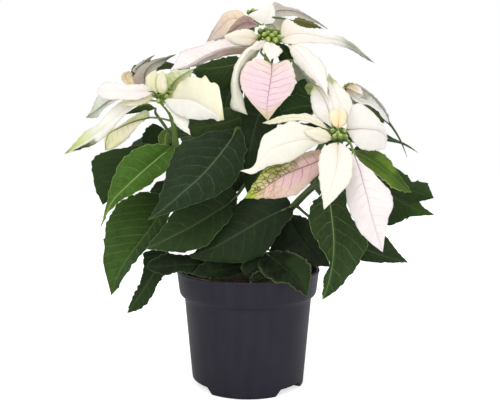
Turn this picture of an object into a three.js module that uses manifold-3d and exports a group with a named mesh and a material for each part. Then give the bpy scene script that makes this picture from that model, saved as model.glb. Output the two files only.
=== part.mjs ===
// Potted poinsettia with cream and pink bracts in a round nursery pot.
// Units are millimetres. +Z is up. The origin is on the pot's axis, at the level of its feet.
// Every bract and leaf is a thin curved blade given by three curves: its midrib and its two margins.
import * as THREE from 'three';
import * as BufferGeometryUtils from 'three/addons/utils/BufferGeometryUtils.js';
import Module from 'manifold-3d';

// ---- driving dimensions -------------------------------------------------------------------------
const POT_HEIGHT = 104.3;
const RIM_RADIUS = 65.2;          // outer radius of the lip
const BAND_LOW_RADIUS = 62.9;     // the rim band narrows downwards to this
const BAND_BOTTOM = 80.5;         // lower edge of the rim band
const BODY_TOP_RADIUS = 57.9;     // body radius just under the band
const BASE_RADIUS = 50.9;         // body radius at the floor
const WALL = 1.6;
const FOOT_HEIGHT = 5.5;          // the feet stand this far under the pot's floor
const FOOT_RING_INNER = 44.5;
// feet round the base: start and end angle in degrees, 0 is the front (-Y), positive towards +X
const FEET = [[-41, 31], [64, 100], [124, 166], [192, 262]];
const SLOT_COUNT = 6;             // narrow drain slots in the floor
const SLOT_LENGTH = 16;
const SLOT_WIDTH = 3.4;
const SLOT_RADIUS = 30;           // distance of a slot's middle from the axis
const SOIL_TOP = 91.8;            // soil level at the wall
const SOIL_MOUND = 2.2;           // the soil rises this much to the middle
const GAP = 0.3;                  // clearance between neighbouring pieces
const BLADE_THICKNESS = 0.9;
const STALK_SIDES = 4;
const POT_SEGMENTS = 36;
const STEM_SIDES = 7;

const LOOKS = {
  pot: [0x38363c, 0.42], soil: [0x32281f, 0.95], stem: [0x6f9030, 0.6], cyathia: [0x7c9a35, 0.55],
  bract: [0xfbf8ec, 0.6], bract_pink: [0xf8eeee, 0.6], bract_cream: [0xf8f2cd, 0.6], heart: [0xeecbcd, 0.6],
  veined: [0xf5e4e6, 0.6], mottled: [0xd9b3a6, 0.6], under: [0xb5aaa2, 0.7], lime: [0xebf0be, 0.6],
  leaf: [0x304024, 0.5], leaf_mid: [0x3c5626, 0.5], leaf_bright: [0x4c7428, 0.5], olive: [0x5a6428, 0.6],
};

// ---- stems: points from the base up, radius at each point ----------------------------------------
const STEMS = [
  ['stem_main', [[0.6,4,72], [0,4,92.9], [0.9,6,108.4], [1.8,6,124.3], [3.7,6,142.8], [6.4,5,166], [9.1,4,193.4], [11.7,3,220.6], [14.3,1,251.8], [15.9,-3,280.6], [17.3,-7.5,302.6]], [5.6, 5.2, 4.9, 4.4, 4, 3.6, 3.3, 3, 2.8, 2.6, 2.4], 9],
  ['stem_left', [[1.8,3,126.6], [-9.1,-2,137.5], [-23.4,-5,153.4], [-38.4,-8,170.8], [-51.4,-11,188.9], [-60.6,-15,205.8], [-63.3,-17,219], [-64.3,-19,233.7], [-67.5,-20,244.9], [-75.5,-20,255.8]], [3.6, 3.5, 3.4, 3.3, 3.2, 3.1, 3, 2.8, 2.6, 2.9], 6],
  ['stem_right', [[3.6,0,131.7], [17.8,-14,143.2], [33.5,-32,159], [47.6,-47,175.7], [58.7,-60,189], [67.6,-72,204.5], [71.2,-80,215.7], [70.2,-84.4,220.3]], [3.6, 3.4, 3.2, 3, 2.9, 2.8, 2.6, 2.4], 5],
  ['stem_rear', [[6.5,12,144.8], [19,28,152.4], [40.7,44,172], [62.9,56,200.6], [81,62,230], [93.1,66,251.7], [97.6,67.8,267.1]], [3.4, 3.2, 3, 2.9, 2.8, 2.6, 2.4], 7],
  ['stem_back', [[4.6,12,152.3], [3.8,28,167.6], [0,44,201.1], [-2,56,239.7], [0,64,279], [3,69,313.5], [4.8,71.8,338.4]], [3.4, 3.2, 3, 2.9, 2.8, 2.6, 2.4], 8],
];

// ---- shoots: the woody part of a side twig, joined to its own leaves ------------------------------
const SHOOTS = [
  ['twig_inner', [[9.6,9,187.7], [12.8,11,204.1], [16.5,12,222.3], [19.2,13,242.4], [20.5,12,264], [20.7,9,288.8]], [2.2, 2.1, 2, 1.9, 1.7, 1.5]],
  ['twig_low', [[9,13,74], [9,14,92], [8,16,112], [7,19,134]], [2.4, 2.3, 2.1, 1.8]],
  ['twig_far_right', [[64.9,56,200.6], [75.7,48,204.8], [87.7,36,204.2], [98.9,22,200], [105,13,196.7]], [1.9, 1.8, 1.7, 1.6, 1.5]],
  ['twig_back_left', [[1.7,37,186.3], [-15.3,43,201.3], [-25.3,54,224.3], [-34.3,61,250.3], [-42.3,63,278.3]], [2.4, 2.3, 2.1, 1.9, 1.7]],
  ['twig_back_right', [[23.3,31.2,156.3], [20.3,48.2,169.3], [26.3,62.2,192.3], [35.3,73.2,218.3], [41.3,79.2,244.3]], [2.4, 2.3, 2.1, 1.9, 1.7]],
];

// ---- flower heads: receptacle, cyathia (small green flowers) ---------------------------------------
const HEADS = [
  ['flower_top', [17.5,-8,305.2], 3.2, 2.75, [[9.6,-9,310.2], [14.3,-13,310.9], [20.3,-14,309.9], [26.5,-11,309.1], [11,-4,315.7], [15.9,-1,317.4], [20.7,-3,316.4], [25.9,-4,315.7], [29,-5,312.7], [17.4,-9,312.8], [23.1,-9,312.3], [17.2,-19,306.3], [23.2,-19,305.6]]],
  ['flower_back', [4.9,72,340.5], 2.8, 2.40, [[0.8,69,345.1], [4.9,68,346.3], [8.9,70,345.5], [3,75,345.8], [6.9,76,346]]],
  ['flower_right', [69.9,-86,222], 3, 2.70, [[65.5,-88,227], [69.9,-85,228.5], [73.5,-87,226.9], [66.4,-92,223.1], [70.1,-93,223.4], [74.1,-89,222.8], [68.7,-92,225.4], [72.2,-86,225.8]]],
  ['flower_left', [-76.9,-20,257.7], 3, 2.35, [[-72.3,-22,261.2], [-68.7,-19,264.6], [-66.5,-21,260.3], [-70.4,-24,257.4], [-73.7,-16,265.4], [-76.8,-24,254.1], [-68.6,-20,261.2]]],
  ['flower_rear', [98.1,68,269], 2.6, 2.10, [[96.7,67,273.3], [94.5,65,270.5], [100,68,274.6], [103.4,71,275]]],
];

// ---- blades ---------------------------------------------------------------------------------------
// [name, node, look, top side, rows, columns, midrib, left margin, right margin, stalk, stalk radius]
// The margins start and end on the midrib's ends, and list only the points between them.
const BLADES = [
  ['bract_top_heart', 'bract_top_heart', 'heart', -1, 5, 1,
    [[19.3,-46,283.2], [19.4,-52.5,280.1], [18.9,-58.4,274], [17.6,-63.6,265.6], [16.1,-68.2,256.6], [15.1,-72.1,248.6], [14.9,-75.4,241.5], [15.6,-78,236]],
    [[11.4,-51.5,286.1], [0,-55.4,284.2], [-5.6,-59.2,274.7], [-5.8,-63.2,264.1], [-0.8,-67.7,254.7], [7.1,-72.8,245.5]],
    [[25.2,-51.9,283.8], [33.1,-55.5,284.6], [37.4,-58.8,274.7], [37.3,-62.3,263.3], [31.4,-66.7,254.8], [22.9,-72.3,245.9]],
    [[17.5,-8,305.2], [11.1,-22,296.6], [14.2,-36,290], [19.3,-46,283.2]], 1.1],
  ['bract_top_front_left', 'bract_top_front_left', 'bract', -1, 6, 1,
    [[17.4,-12,307.2], [8.5,-22.2,301.2], [0.8,-31.3,295.1], [-4.2,-39.2,288], [-7.8,-46,280.3], [-9.8,-51.7,271.3], [-9.7,-56.3,260.6], [-7.4,-59.7,250], [-0.4,-62,241.1]],
    [[7.7,-20.4,303.5], [-1.3,-27.8,297.6], [-7.1,-34.4,290.1], [-11.2,-40.6,281.7], [-13.8,-45.1,271.1], [-14.3,-47.1,257.9], [-13.7,-48.8,247.2]],
    [[10.3,-20.1,298.5], [3.8,-26.7,291.9], [-1.3,-33.4,284.9], [-5,-40.7,278.4], [-7,-46.8,270.1], [-5.7,-50,259.7], [-3.4,-54,250.2]],
    [[17.5,-8,305.2], [17.4,-10,305.7], [17.4,-12,307.2]], 0.9],
  ['bract_top_front_right', 'bract_top_front_right', 'bract', -1, 6, 1,
    [[34.8,-12,304.7], [39.3,-23.1,299.4], [44.5,-33.1,292.8], [49.7,-42,284.4], [54.8,-49.8,274.7], [59.9,-56.4,264.5], [64.2,-62,254.6]],
    [[35.5,-21.8,297.5], [38.4,-30.9,288.9], [44.1,-39.7,279.7], [51.7,-48.3,271.2], [59.6,-55.8,262.6]],
    [[46.3,-19.6,301.1], [53.3,-28.8,294.9], [61,-36.6,286.6], [64.7,-44.9,277.6], [64.6,-54.2,265.5]],
    [[17.5,-8,305.2], [29.7,-9,306.3], [34.8,-12,304.7]], 1],
  ['bract_top_front_small', 'flower_top', 'bract_cream', -1, 4, 1,
    [[19,-14,306.1], [19.5,-25.8,301.6], [20,-36,296.6], [19.3,-44.8,291.4], [17.5,-52,285.8]],
    [[14.1,-24,303.9], [12.2,-33.6,298.1], [14.4,-43.3,291.6]],
    [[24.3,-24.3,301.3], [28.9,-33.4,296.1], [24.8,-43,289.6]],
    [[17.5,-8,305.2], [18.3,-11,304.9], [19,-14,306.1]], 0.9],
  ['bract_top_left_small', 'flower_top', 'bract_cream', -1, 4, 1,
    [[8.7,-10,307.5], [4.3,-16.3,307.5], [-2.6,-21.7,307.7], [-9.3,-26.1,307.8], [-15.2,-29.5,307.7], [-20.6,-32,307.4]],
    [[6.5,-13,313], [-0.9,-17.1,315.8], [-9.4,-22.8,313.8], [-16.1,-27.8,310.7]],
    [[3.4,-17.4,302.3], [-3.4,-22.1,301.1], [-11,-25.7,302.3], [-16,-28.9,304.9]],
    [[17.5,-8,305.2], [13.1,-9,305.2], [8.7,-10,307.5]], 0.9],
  ['bract_top_left_long', 'bract_top_left_long', 'bract_pink', -1, 6, 1,
    [[8.7,-10,302.4], [-0.9,-18.7,300.8], [-12.7,-26.3,299.4], [-25.2,-33,296.1], [-36.6,-38.7,290.5], [-47.1,-43.5,283.8], [-55.8,-47.2,280.2], [-63.7,-50,277.5]],
    [[-1.7,-15.3,305.9], [-14.5,-20.9,308.1], [-30.5,-27.1,303.9], [-43.7,-31.8,298.3], [-55.8,-33.6,294.8], [-58.5,-40.8,287.8]],
    [[0,-9.7,296], [-13.8,-16.8,294.3], [-26.5,-22.4,290.2], [-38.1,-29.4,285.3], [-47.5,-38.6,281.1], [-56,-45.2,279]],
    [[17.5,-8,305.2], [8.7,-10,302.4]], 1.2],
  ['bract_top_rear_left', 'bract_top_rear_left', 'bract_pink', -1, 5, 1,
    [[5.9,64,331.1], [-2.9,61.6,335.4], [-11.6,60.2,337.6], [-19.4,60,336.1], [-27.2,60.9,329.1], [-34.2,62.9,321.8], [-40.7,66,316]],
    [[-1,65.2,340.8], [-9.8,65.5,345.9], [-21.5,65.5,344.7], [-29.8,64.9,335], [-36.2,65,324.5]],
    [[-1,56.8,327.1], [-9.6,53,324.6], [-17.3,52.5,322.7], [-25.1,55,318.8], [-33.1,60.2,317.1]],
    [[4.9,72,340.5], [2,65,338.9], [5.9,64,331.1]], 0.9],
  ['bract_top_rear_left_small', 'flower_back', 'bract_cream', 1, 4, 1,
    [[9.8,63,330.4], [1,58.4,333], [-5.8,54,331.4], [-13.4,49.9,326], [-20.9,46,320.3]],
    [[2.9,60.4,338.1], [-4.8,57.1,339.6], [-14.4,51.8,331]],
    [[2.9,55.8,327.9], [-5.8,51.2,325.3], [-14.3,48.2,322.5]],
    [[4.9,72,340.5], [8.8,65,337.9], [9.8,63,330.4]], 0.9],
  ['bract_top_sail', 'bract_top_sail', 'bract_cream', 1, 4, 1,
    [[14.6,62,331.7], [16.8,62.5,336.6], [19.1,64,342.1], [21.2,66.5,348.2], [23.2,70,354.8]],
    [[7.3,63,335.7], [-0.2,65,342.1], [11.7,67,347.5]],
    [[25.3,62.9,334.4], [26.7,64.4,342.1], [25.2,66.7,349.7]],
    [[4.9,72,340.5], [9.8,67,334.1], [14.6,62,331.7]], 0.9],
  ['bract_top_rear_right', 'bract_top_rear_right', 'under', -1, 5, 1,
    [[21.9,76,334.9], [27.1,83.6,346.9], [37.4,88.9,349.8], [48.7,92,349.1], [59,92.9,345.4], [70.1,91.6,339.1], [80.9,88,331.5]],
    [[25.2,88.6,357.7], [37.5,91.1,354.7], [49.8,93.6,352.5], [61.1,94,346.5], [71.7,92.3,339.5]],
    [[29.9,79.6,340.4], [40.2,85.4,344.3], [50.6,89.2,344.3], [59.8,90.5,341.2], [70.5,90.5,337.2]],
    [[4.9,72,340.5], [13.4,74,335.5], [21.9,76,334.9]], 0.9],
  ['leaf_top_olive', 'flower_back', 'olive', -1, 4, 1,
    [[42.8,62,336], [48.8,63.7,336.3], [56.8,66,334.7], [64.9,68.7,332.6], [74.1,72,329.8]],
    [[48.9,65.1,339.3], [57.9,67.3,337.3], [66,69.7,334.3]],
    [[47.7,61.8,332.1], [55.6,63.4,329.2], [64.8,67.3,329.5]],
    [[4.9,72,340.5], [23.4,64,339.2], [34.1,63,338.1], [42.8,62,336]], 1.3],
  ['bract_top_right', 'bract_top_right', 'bract', 1, 6, 1,
    [[28,-8,308.2], [32.2,-11.2,310.3], [38.1,-13.5,312.1], [46.6,-15.1,312.6], [56.9,-15.9,310.9], [68.2,-15.9,308.4], [79.5,-15.1,305.9], [90.2,-13.5,301], [101.1,-11.2,293.6], [111.4,-8,287.5]],
    [[29.4,-5.5,317.6], [35.1,-4.8,323.9], [44.3,-10.8,319.2], [55.4,-13.6,316.4], [66.5,-15.4,310.5], [77.6,-15.8,310.5], [88.9,-15.8,305], [100.9,-12.4,295.6]],
    [[31.6,-14.9,303.6], [37.9,-17.9,303], [47.3,-18,304], [57.8,-16.8,303.9], [69.1,-15.3,303.9], [80.7,-13,301.8], [91.6,-10.3,298], [101.4,-9.4,292.1]],
    [[17.5,-8,305.2], [22.7,-8,305.4], [28,-8,308.2]], 0.9],
  ['bract_right_long_left', 'bract_right_long_left', 'bract', -1, 6, 1,
    [[65.6,-86,221.6], [59.2,-95,220.9], [50.8,-102.9,221], [42,-109.8,221.9], [32.8,-115.5,220.5], [23.9,-120.2,218], [16.5,-123.8,215], [10.4,-126.3,208.7], [3.6,-127.7,201.2], [-5.7,-128,199.5]],
    [[59.4,-93.1,228.5], [51,-100.4,230.9], [42.2,-107,232], [32.3,-111.3,235.3], [21.8,-116.2,230.6], [11.6,-120,225.2], [7.8,-123.7,215], [4.3,-126.8,203.3]],
    [[57.7,-94.9,219], [50.2,-102.7,217.1], [42.9,-108.9,212.9], [34.5,-113.8,207.5], [25.5,-117.9,204.2], [16.6,-121.3,203.2], [10.1,-124.2,200.3], [3.2,-126.5,197.2]],
    [[69.9,-86,222], [67.8,-86,221.3], [65.6,-86,221.6]], 0.9],
  ['bract_right_edge_on', 'bract_right_edge_on', 'bract', -1, 5, 1,
    [[64.5,-82,228.9], [56.5,-83.6,233.5], [47.9,-84.2,237], [37.9,-84,238.7], [27.9,-82.9,238], [18.7,-80.9,235.5], [11,-78,234.4]],
    [[56.9,-79.9,235.9], [48.5,-77.7,241.2], [38.2,-79.7,241.5], [28.1,-79,240.6], [18.8,-77.8,237.5]],
    [[55.5,-86,231.6], [46.9,-87,234.8], [36.9,-87.2,236.1], [27.7,-86.7,234.8], [18.6,-83.2,233.5]],
    [[69.9,-86,222], [67.2,-84,224.3], [64.5,-82,228.9]], 0.9],
  ['bract_right_up_left', 'bract_right_up_left', 'lime', 1, 5, 1,
    [[65.8,-84,230.4], [65.1,-75.9,236.8], [64.6,-66.9,243.3], [63.2,-56.9,250.9], [60.5,-45.9,258.8], [55.2,-34,266.5]],
    [[60.2,-74.8,234.8], [53.3,-64.6,241.4], [51.5,-54.5,250.2], [52.1,-44.2,259.7]],
    [[68.4,-75,237.6], [68.7,-65.5,245.7], [67.4,-55.3,254.2], [62.5,-44.6,262.9]],
    [[69.9,-86,222], [67.8,-85,225.1], [65.8,-84,230.4]], 0.9],
  ['bract_right_up', 'bract_right_up', 'bract', 1, 6, 1,
    [[71.5,-82,230.5], [72.8,-74.2,236], [74.3,-65.6,243.4], [73.9,-56,252.5], [71.9,-45.6,260.8], [69.8,-34.2,269.5], [69.1,-22,278]],
    [[66.8,-72.3,236.9], [65.1,-62.6,245], [65.7,-53.4,254.3], [66.5,-43.7,263.8], [66.6,-33,272.1]],
    [[79.4,-72.3,236.1], [82.7,-63.1,245], [85.3,-52.7,252.7], [80,-43.2,262.6], [72.1,-33.2,272]],
    [[69.9,-86,222], [70.7,-84,225.1], [71.5,-82,230.5]], 0.9],
  ['bract_right_centre_small', 'flower_right', 'bract_cream', 1, 4, 1,
    [[69.1,-88,229.6], [69.7,-86.7,234.2], [70.3,-84,238.5], [70.8,-79.7,242.5], [71.9,-74,246.5]],
    [[64.4,-85.7,233.9], [62.5,-82.4,239.7], [65.5,-78.6,244.8]],
    [[75.2,-85.7,233.5], [77.5,-82.6,239.3], [76.1,-78.6,244.6]],
    [[69.9,-86,222], [69.5,-87,224.9], [69.1,-88,229.6]], 0.9],
  ['bract_right_side', 'bract_right_side', 'bract_pink', 1, 4, 1,
    [[75.9,-84,228.9], [79.7,-89.6,229.4], [84.5,-92.9,229.8], [90.4,-94,229.7], [97.4,-92.9,229], [103.1,-89.6,226.9], [108.2,-84,222.4]],
    [[77.7,-86.3,240], [81.3,-87.3,248.3], [89.5,-88.7,247.4], [98.2,-89.8,239.5], [104.8,-88.3,230.8]],
    [[78.4,-90.7,223.5], [81.8,-94.4,217.9], [87.5,-94.8,213.9], [96.3,-92.5,213.3], [104.7,-88.3,214.7]],
    [[69.9,-86,222], [72.9,-85,224.3], [75.9,-84,228.9]], 0.9],
  ['bract_right_down', 'bract_right_down', 'bract', -1, 6, 1,
    [[68.7,-92,219.7], [66.4,-110,216.2], [64.3,-124.7,210], [62.1,-136,202.7], [59.1,-144,194.8], [55.9,-148.7,185.4], [52.1,-150,174]],
    [[60,-107.9,218.2], [53.1,-121,213.9], [49.9,-132.1,205.3], [49.4,-141,195.3], [50.6,-147,183.9]],
    [[70.6,-108.7,218], [73.9,-121.7,213.2], [74.4,-132.5,203.6], [70.9,-140.6,192.4], [62.3,-146.7,183.6]],
    [[69.9,-86,222], [69.3,-89,220.1], [68.7,-92,219.7]], 0.9],
  ['bract_right_pink_veined', 'bract_right_pink_veined', 'veined', -1, 6, 1,
    [[79.8,-98,212.3], [80,-108.7,207.3], [81.7,-117.2,199.6], [83.3,-123.6,190.6], [85.7,-127.9,180.1], [88.3,-130,168.1], [92.5,-130.1,154.4], [97.3,-128,140.7]],
    [[76,-108,208.1], [74.3,-115.8,198.8], [70.9,-120.8,186.7], [72.3,-124.3,174.7], [77.6,-126.5,160.8], [86.2,-127.7,149.6]],
    [[82.7,-108.2,206.6], [88.1,-116.1,200.7], [96.5,-120.9,191.8], [103.3,-123.8,183.3], [104.4,-125.6,174.1], [99.7,-127.7,158.4]],
    [[69.9,-86,222], [77.3,-91,219.7], [79.8,-98,212.3]], 1.1],
  ['bract_right_mottled', 'bract_right_mottled', 'mottled', -1, 6, 1,
    [[64.4,-78,209.4], [56.5,-85.9,205.8], [46.7,-92.5,202.2], [36.4,-97.8,198.6], [27.1,-101.8,194.7], [18,-104.5,189.2], [9,-105.9,183.3], [-3,-106,177.8]],
    [[57.4,-84.4,213.5], [46,-90.5,212.5], [34.2,-95.7,209.2], [21.9,-99.5,205.1], [11.3,-102.2,198.5], [4.5,-104.4,189.2]],
    [[55.6,-84.5,196], [48.5,-90.6,189.4], [38.2,-95.2,180.8], [27.3,-99.3,177.6], [17.3,-102.8,177.3], [7.5,-105,177.5]],
    [[69.9,-86,222], [66.8,-90,215.5], [64.4,-78,209.4]], 1.2],
  ['bract_left_large', 'bract_left_large', 'bract_cream', 1, 6, 1,
    [[-73.4,-20,256.4], [-64.3,-32.1,255.9], [-54.8,-42.8,255.3], [-45.8,-52,253.5], [-37.1,-59.7,249.2], [-28.7,-65.9,243.7], [-23,-70.7,238.9], [-18.9,-74,236.8]],
    [[-63.7,-29.6,261], [-58.2,-37.7,266.7], [-49.2,-44.2,272.8], [-36.7,-51.5,270.5], [-25,-57.3,266.1], [-21.2,-64.8,253.7]],
    [[-67.9,-31.4,249.6], [-60.2,-40.7,242.5], [-49.4,-49,238.5], [-37.4,-57.2,237.2], [-28,-64.7,238.1], [-22.6,-70.2,236.5]],
    null, 1.3],
  ['bract_left_drooping', 'bract_left_drooping', 'bract', 1, 4, 1,
    [[-73.5,-20,254.3], [-68.2,-28.6,249.2], [-62.4,-35.4,242.7], [-56.9,-40.2,236.7], [-52.1,-43,230.5], [-47.9,-44,224.7]],
    [[-64.1,-27.1,252.3], [-54.2,-32.7,245.3], [-50,-37.9,238.9], [-48.9,-42,230.9]],
    [[-71,-27.8,249.3], [-65,-34.6,242.7], [-60.8,-38.7,233.8], [-53.9,-42.2,228.4]],
    [[-76.9,-20,257.7], [-75.2,-20,255.5], [-73.5,-20,254.3]], 0.9],
  ['bract_left_mottled_up', 'flower_left', 'under', -1, 4, 1,
    [[-70,-12,262.5], [-68.1,-1,268.9], [-64.1,8,274.9], [-58.4,15,280], [-50.2,20,285.8]],
    [[-74.5,0.4,272.1], [-72.8,10,280.5], [-63,16.2,284]],
    [[-64.8,0.5,262.4], [-59.4,9.2,271.2], [-53,16.2,277.4]],
    [[-76.9,-20,257.7], [-73.4,-16,258.7], [-70,-12,262.5]], 0.9],
  ['bract_left_curl_a', 'flower_left', 'bract_cream', 1, 4, 1,
    [[-79.5,-20,257.7], [-82.3,-20.7,263.7], [-83.8,-20,269.7], [-83.2,-17.8,275.9], [-80.1,-14,281.7]],
    [[-87.2,-19.7,262], [-88.8,-19,268.9], [-87.6,-16.9,276.4]],
    [[-77.7,-19.8,262.9], [-77.9,-18.8,269.8], [-78.6,-16.8,276.8]],
    [[-76.9,-20,257.7], [-78.2,-20,257.4], [-79.5,-20,257.7]], 0.9],
  ['bract_left_curl_b', 'flower_left', 'bract_cream', 1, 4, 1,
    [[-73.5,-23,258.4], [-74.2,-26.6,264.1], [-74.3,-28,269.5], [-74,-27.1,274.2], [-73,-24,279.3]],
    [[-78,-25.5,263.4], [-78.8,-26.7,270], [-77.6,-26,275.7]],
    [[-68.9,-24.9,262.6], [-68.1,-26,268.4], [-69.4,-25.7,275.2]],
    [[-76.9,-20,257.7], [-75.2,-21.5,257.5], [-73.5,-23,258.4]], 0.9],
  ['bract_left_grey_arch', 'bract_left_grey_arch', 'under', -1, 5, 1,
    [[-84.3,-10,262.6], [-91.7,5.1,270.7], [-94.3,17.1,279.7], [-90.8,26,287.8], [-84.1,31.8,293], [-76,34.4,296.6], [-67.5,34,300.4]],
    [[-101.2,8,267.4], [-105.8,20.5,278.2], [-100.6,28.8,288.1], [-90.9,33.8,294.3], [-78.9,35.3,297.8]],
    [[-86.5,6.7,270.8], [-89,18.8,279], [-84.6,28,286], [-78.7,33.5,292.3], [-72.8,35.4,297.3]],
    [[-76.9,-20,257.7], [-80.6,-15,258.6], [-84.3,-10,262.6]], 0.9],
  ['bract_left_grey_sliver', 'flower_left', 'under', -1, 4, 1,
    [[-103.6,30,281.8], [-104.7,34.2,285.9], [-101,38,290.4], [-95.8,41.2,295.4], [-88.5,44,301.1]],
    [[-109.3,36,285.6], [-104.5,39.4,291.5], [-97.3,41.9,296.3]],
    [[-102.1,35.4,285], [-97.9,39.4,289.6], [-94,42,295]],
    [[-76.9,-20,257.7], [-92.4,10,271.1], [-103.6,30,281.8]], 0.9],
  ['bract_left_peach_tip', 'flower_left', 'bract_cream', 1, 4, 1,
    [[-98.8,4,265.3], [-104.2,7.5,269.1], [-109.2,8,274], [-110,5.5,278.3], [-105.9,0,281.8]],
    [[-108.3,5.2,270], [-113.5,5.6,274.3], [-112.4,3.9,279.9]],
    [[-102.6,5.8,272.1], [-103.6,5,276.9], [-103.6,2.4,280.2]],
    [[-76.9,-20,257.7], [-88.1,-8,262.8], [-98.8,4,265.3]], 0.8],
  ['bract_left_wide', 'bract_left_wide', 'bract_pink', -1, 5, 1,
    [[-80.9,-22,261.9], [-87.1,-32.2,261.7], [-95.1,-40.2,261.2], [-104,-46,261.2], [-112.4,-49.6,261.4], [-118.6,-50.9,260.9], [-124.2,-50,260.1]],
    [[-86.8,-27.8,267.4], [-96.2,-35.5,267.5], [-106.4,-41.3,267.3], [-115.1,-43.6,269.1], [-121,-46.8,266]],
    [[-85.1,-34.5,257.4], [-92.9,-43.8,254], [-102.6,-49.5,254], [-111.8,-53.2,254], [-119.4,-53.6,255.4]],
    [[-76.9,-20,257.7], [-78.9,-21,259.1], [-80.9,-22,261.9]], 0.9],
  ['bract_left_grey_droop', 'bract_left_grey_droop', 'under', 1, 4, 1,
    [[-106.7,-22,258.5], [-113.9,-16.4,257.1], [-122,-10.8,254.8], [-129.9,-5.2,250.2], [-137.4,0.4,245.6], [-146.5,6,240.7]],
    [[-120.5,-13.2,262.4], [-130.6,-6.7,261.5], [-136.2,-2.3,254.8], [-140.9,1.8,247]],
    [[-116.9,-14.5,253.3], [-121.9,-9.4,251.4], [-128.9,-3.9,247.4], [-136.2,2.5,240.7]],
    [[-76.9,-20,257.7], [-92.7,-24,258.4], [-106.7,-22,258.5]], 1],
  ['bract_left_long_lime', 'bract_left_long_lime', 'lime', -1, 7, 1,
    [[-79.3,-22,254.2], [-86.1,-27.8,254.5], [-94.9,-31.8,252.6], [-104,-33.8,247.1], [-113.4,-34,239.4], [-123.2,-32.3,231.2], [-134.4,-28.8,223.8], [-146.1,-23.3,216.5], [-160.9,-16,208.5]],
    [[-87.1,-26.5,258.8], [-95.9,-30.5,256.9], [-106.7,-31.8,253.6], [-117.1,-31.8,246.2], [-127.7,-30.8,234.1], [-138.1,-26.9,229.2], [-149,-22.1,219.6]],
    [[-86.2,-27.6,252.1], [-94.1,-31.5,250.1], [-102.1,-33.5,244.1], [-109.9,-33.5,235.7], [-119.6,-31.6,225.6], [-130.5,-28,217.7], [-143.3,-22.9,213.2]],
    [[-76.9,-20,257.7], [-78.1,-21,255.4], [-79.3,-22,254.2]], 0.9],
  ['bract_left_under_pink', 'bract_left_under_pink', 'under', 1, 5, 1,
    [[-84.3,-24,240.1], [-88.7,-29.4,239.2], [-94.8,-34.1,237.2], [-101.7,-38.2,233.9], [-108.7,-41.6,230.2], [-115.3,-44.4,226.2], [-117.7,-46.5,220.1], [-118.4,-48,212.3]],
    [[-86.3,-27.2,246.1], [-92.5,-32.1,243.6], [-99.8,-36.6,238.8], [-107.5,-40.7,232.9], [-114.7,-43.8,228.2], [-119.2,-45.9,221.8]],
    [[-88.4,-28.8,237.4], [-92.9,-32.9,233.5], [-96.9,-35.8,227.8], [-101.9,-38.2,221.5], [-108.7,-40.7,216], [-115.4,-44.2,212.8]],
    [[-65.1,-19,236.7], [-71.1,-20,238.4], [-77.7,-22,239.7], [-84.3,-24,240.1]], 1.1],
  ['bract_rear_small', 'flower_rear', 'bract_cream', -1, 4, 1,
    [[96.8,66,271.3], [99.2,61.7,269.8], [102.5,58,267.9], [106.9,54.8,265.3], [111.4,52,263.2]],
    [[99.3,63.1,274.2], [104.7,59.9,274.2], [110.5,56.4,269.7]],
    [[97.8,62.2,265.2], [101.8,58.8,260.2], [108.1,55.2,260.5]],
    [[98.1,68,269], [97.5,67,269.8], [96.8,66,271.3]], 0.9],
  ['bract_rear_long', 'bract_rear_long', 'under', -1, 5, 1,
    [[100.3,70,273.5], [108.3,76.4,272.5], [117.2,81.1,269.3], [125.9,84,263.5], [134.4,85.1,254.5], [140.5,84.4,245.9], [143.7,82,238.7]],
    [[107.4,77.7,276.6], [117.3,82,272.4], [127.5,84.7,265.3], [137.1,85.9,255.5], [142.7,85.1,245.9]],
    [[103.9,72.7,263.9], [114.6,76.8,258.6], [124.5,81.6,257.4], [132.1,83.2,250.1], [138.3,83,242.8]],
    [[98.1,68,269], [99.2,69,270.6], [100.3,70,273.5]], 0.9],
  ['bract_rear_pale', 'bract_rear_pale', 'bract', -1, 5, 1,
    [[99.8,66,269.4], [103.6,58.2,262.1], [109.6,52.2,257.4], [116.6,48,255.8], [123.9,45.6,250.9], [130.2,44.9,244.2], [135.8,46,236.6]],
    [[103.6,61.2,265.2], [112,55.3,260], [118.9,50.2,257], [127.4,48.5,251.5], [133.1,47.3,244.3]],
    [[101.8,55.8,260], [108.2,49.6,254.9], [115.1,44.5,252.3], [122.2,40.7,246], [128.5,41,240.3]],
    null, 1.3],
  ['bract_rear_thin', 'bract_rear_thin', 'olive', -1, 6, 1,
    [[101.4,70,267.7], [108.7,64.4,255.6], [119.7,59.8,252], [128.9,56,245], [138.3,53.1,235.4], [147.9,51.1,220.2], [154.8,50,203.8]],
    [[112.5,69.7,257.3], [122.5,64.4,254.3], [131.6,59.5,246.2], [139.7,55,236.1], [148.9,52.3,220.5]],
    [[107.8,58.5,251.6], [116.4,51.7,247], [126.5,49.9,241.3], [136.9,51.1,234.6], [147,49.9,219.9]],
    [[98.1,68,269], [99.8,69,267.8], [101.4,70,267.7]], 0.9],
  ['leaf_left_bright', 'leaf_left_bright', 'leaf_bright', -1, 7, 1,
    [[-65.2,-16,215], [-72.3,-33.6,209], [-81.4,-48.5,200.3], [-90.3,-60.8,191.5], [-98.4,-70.5,183.2], [-106,-77.6,174.7], [-111.6,-82.1,163.6], [-116.4,-84,150.8]],
    [[-76,-30.8,217.6], [-89.4,-43.5,215.1], [-101.6,-55.2,206.7], [-107.8,-66.7,192.6], [-110.6,-75.9,178.5], [-112.8,-81.4,165.5]],
    [[-61.4,-32.4,208.9], [-64.6,-46.1,198.9], [-76.4,-58.2,188.4], [-87.7,-68,180.1], [-100,-76,173.9], [-109.7,-81.5,163.9]],
    [[-63.4,-16,220.7], [-63.8,-17,217.7], [-65.2,-16,215]], 1.6],
  ['leaf_far_left', 'leaf_far_left', 'leaf', -1, 6, 1,
    [[-73.8,0,209.8], [-85.3,11.6,208.6], [-97.8,20.9,203.8], [-110.3,28,196], [-122.7,32.9,185.3], [-133,35.6,172.7], [-139.6,36,158.2]],
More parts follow.
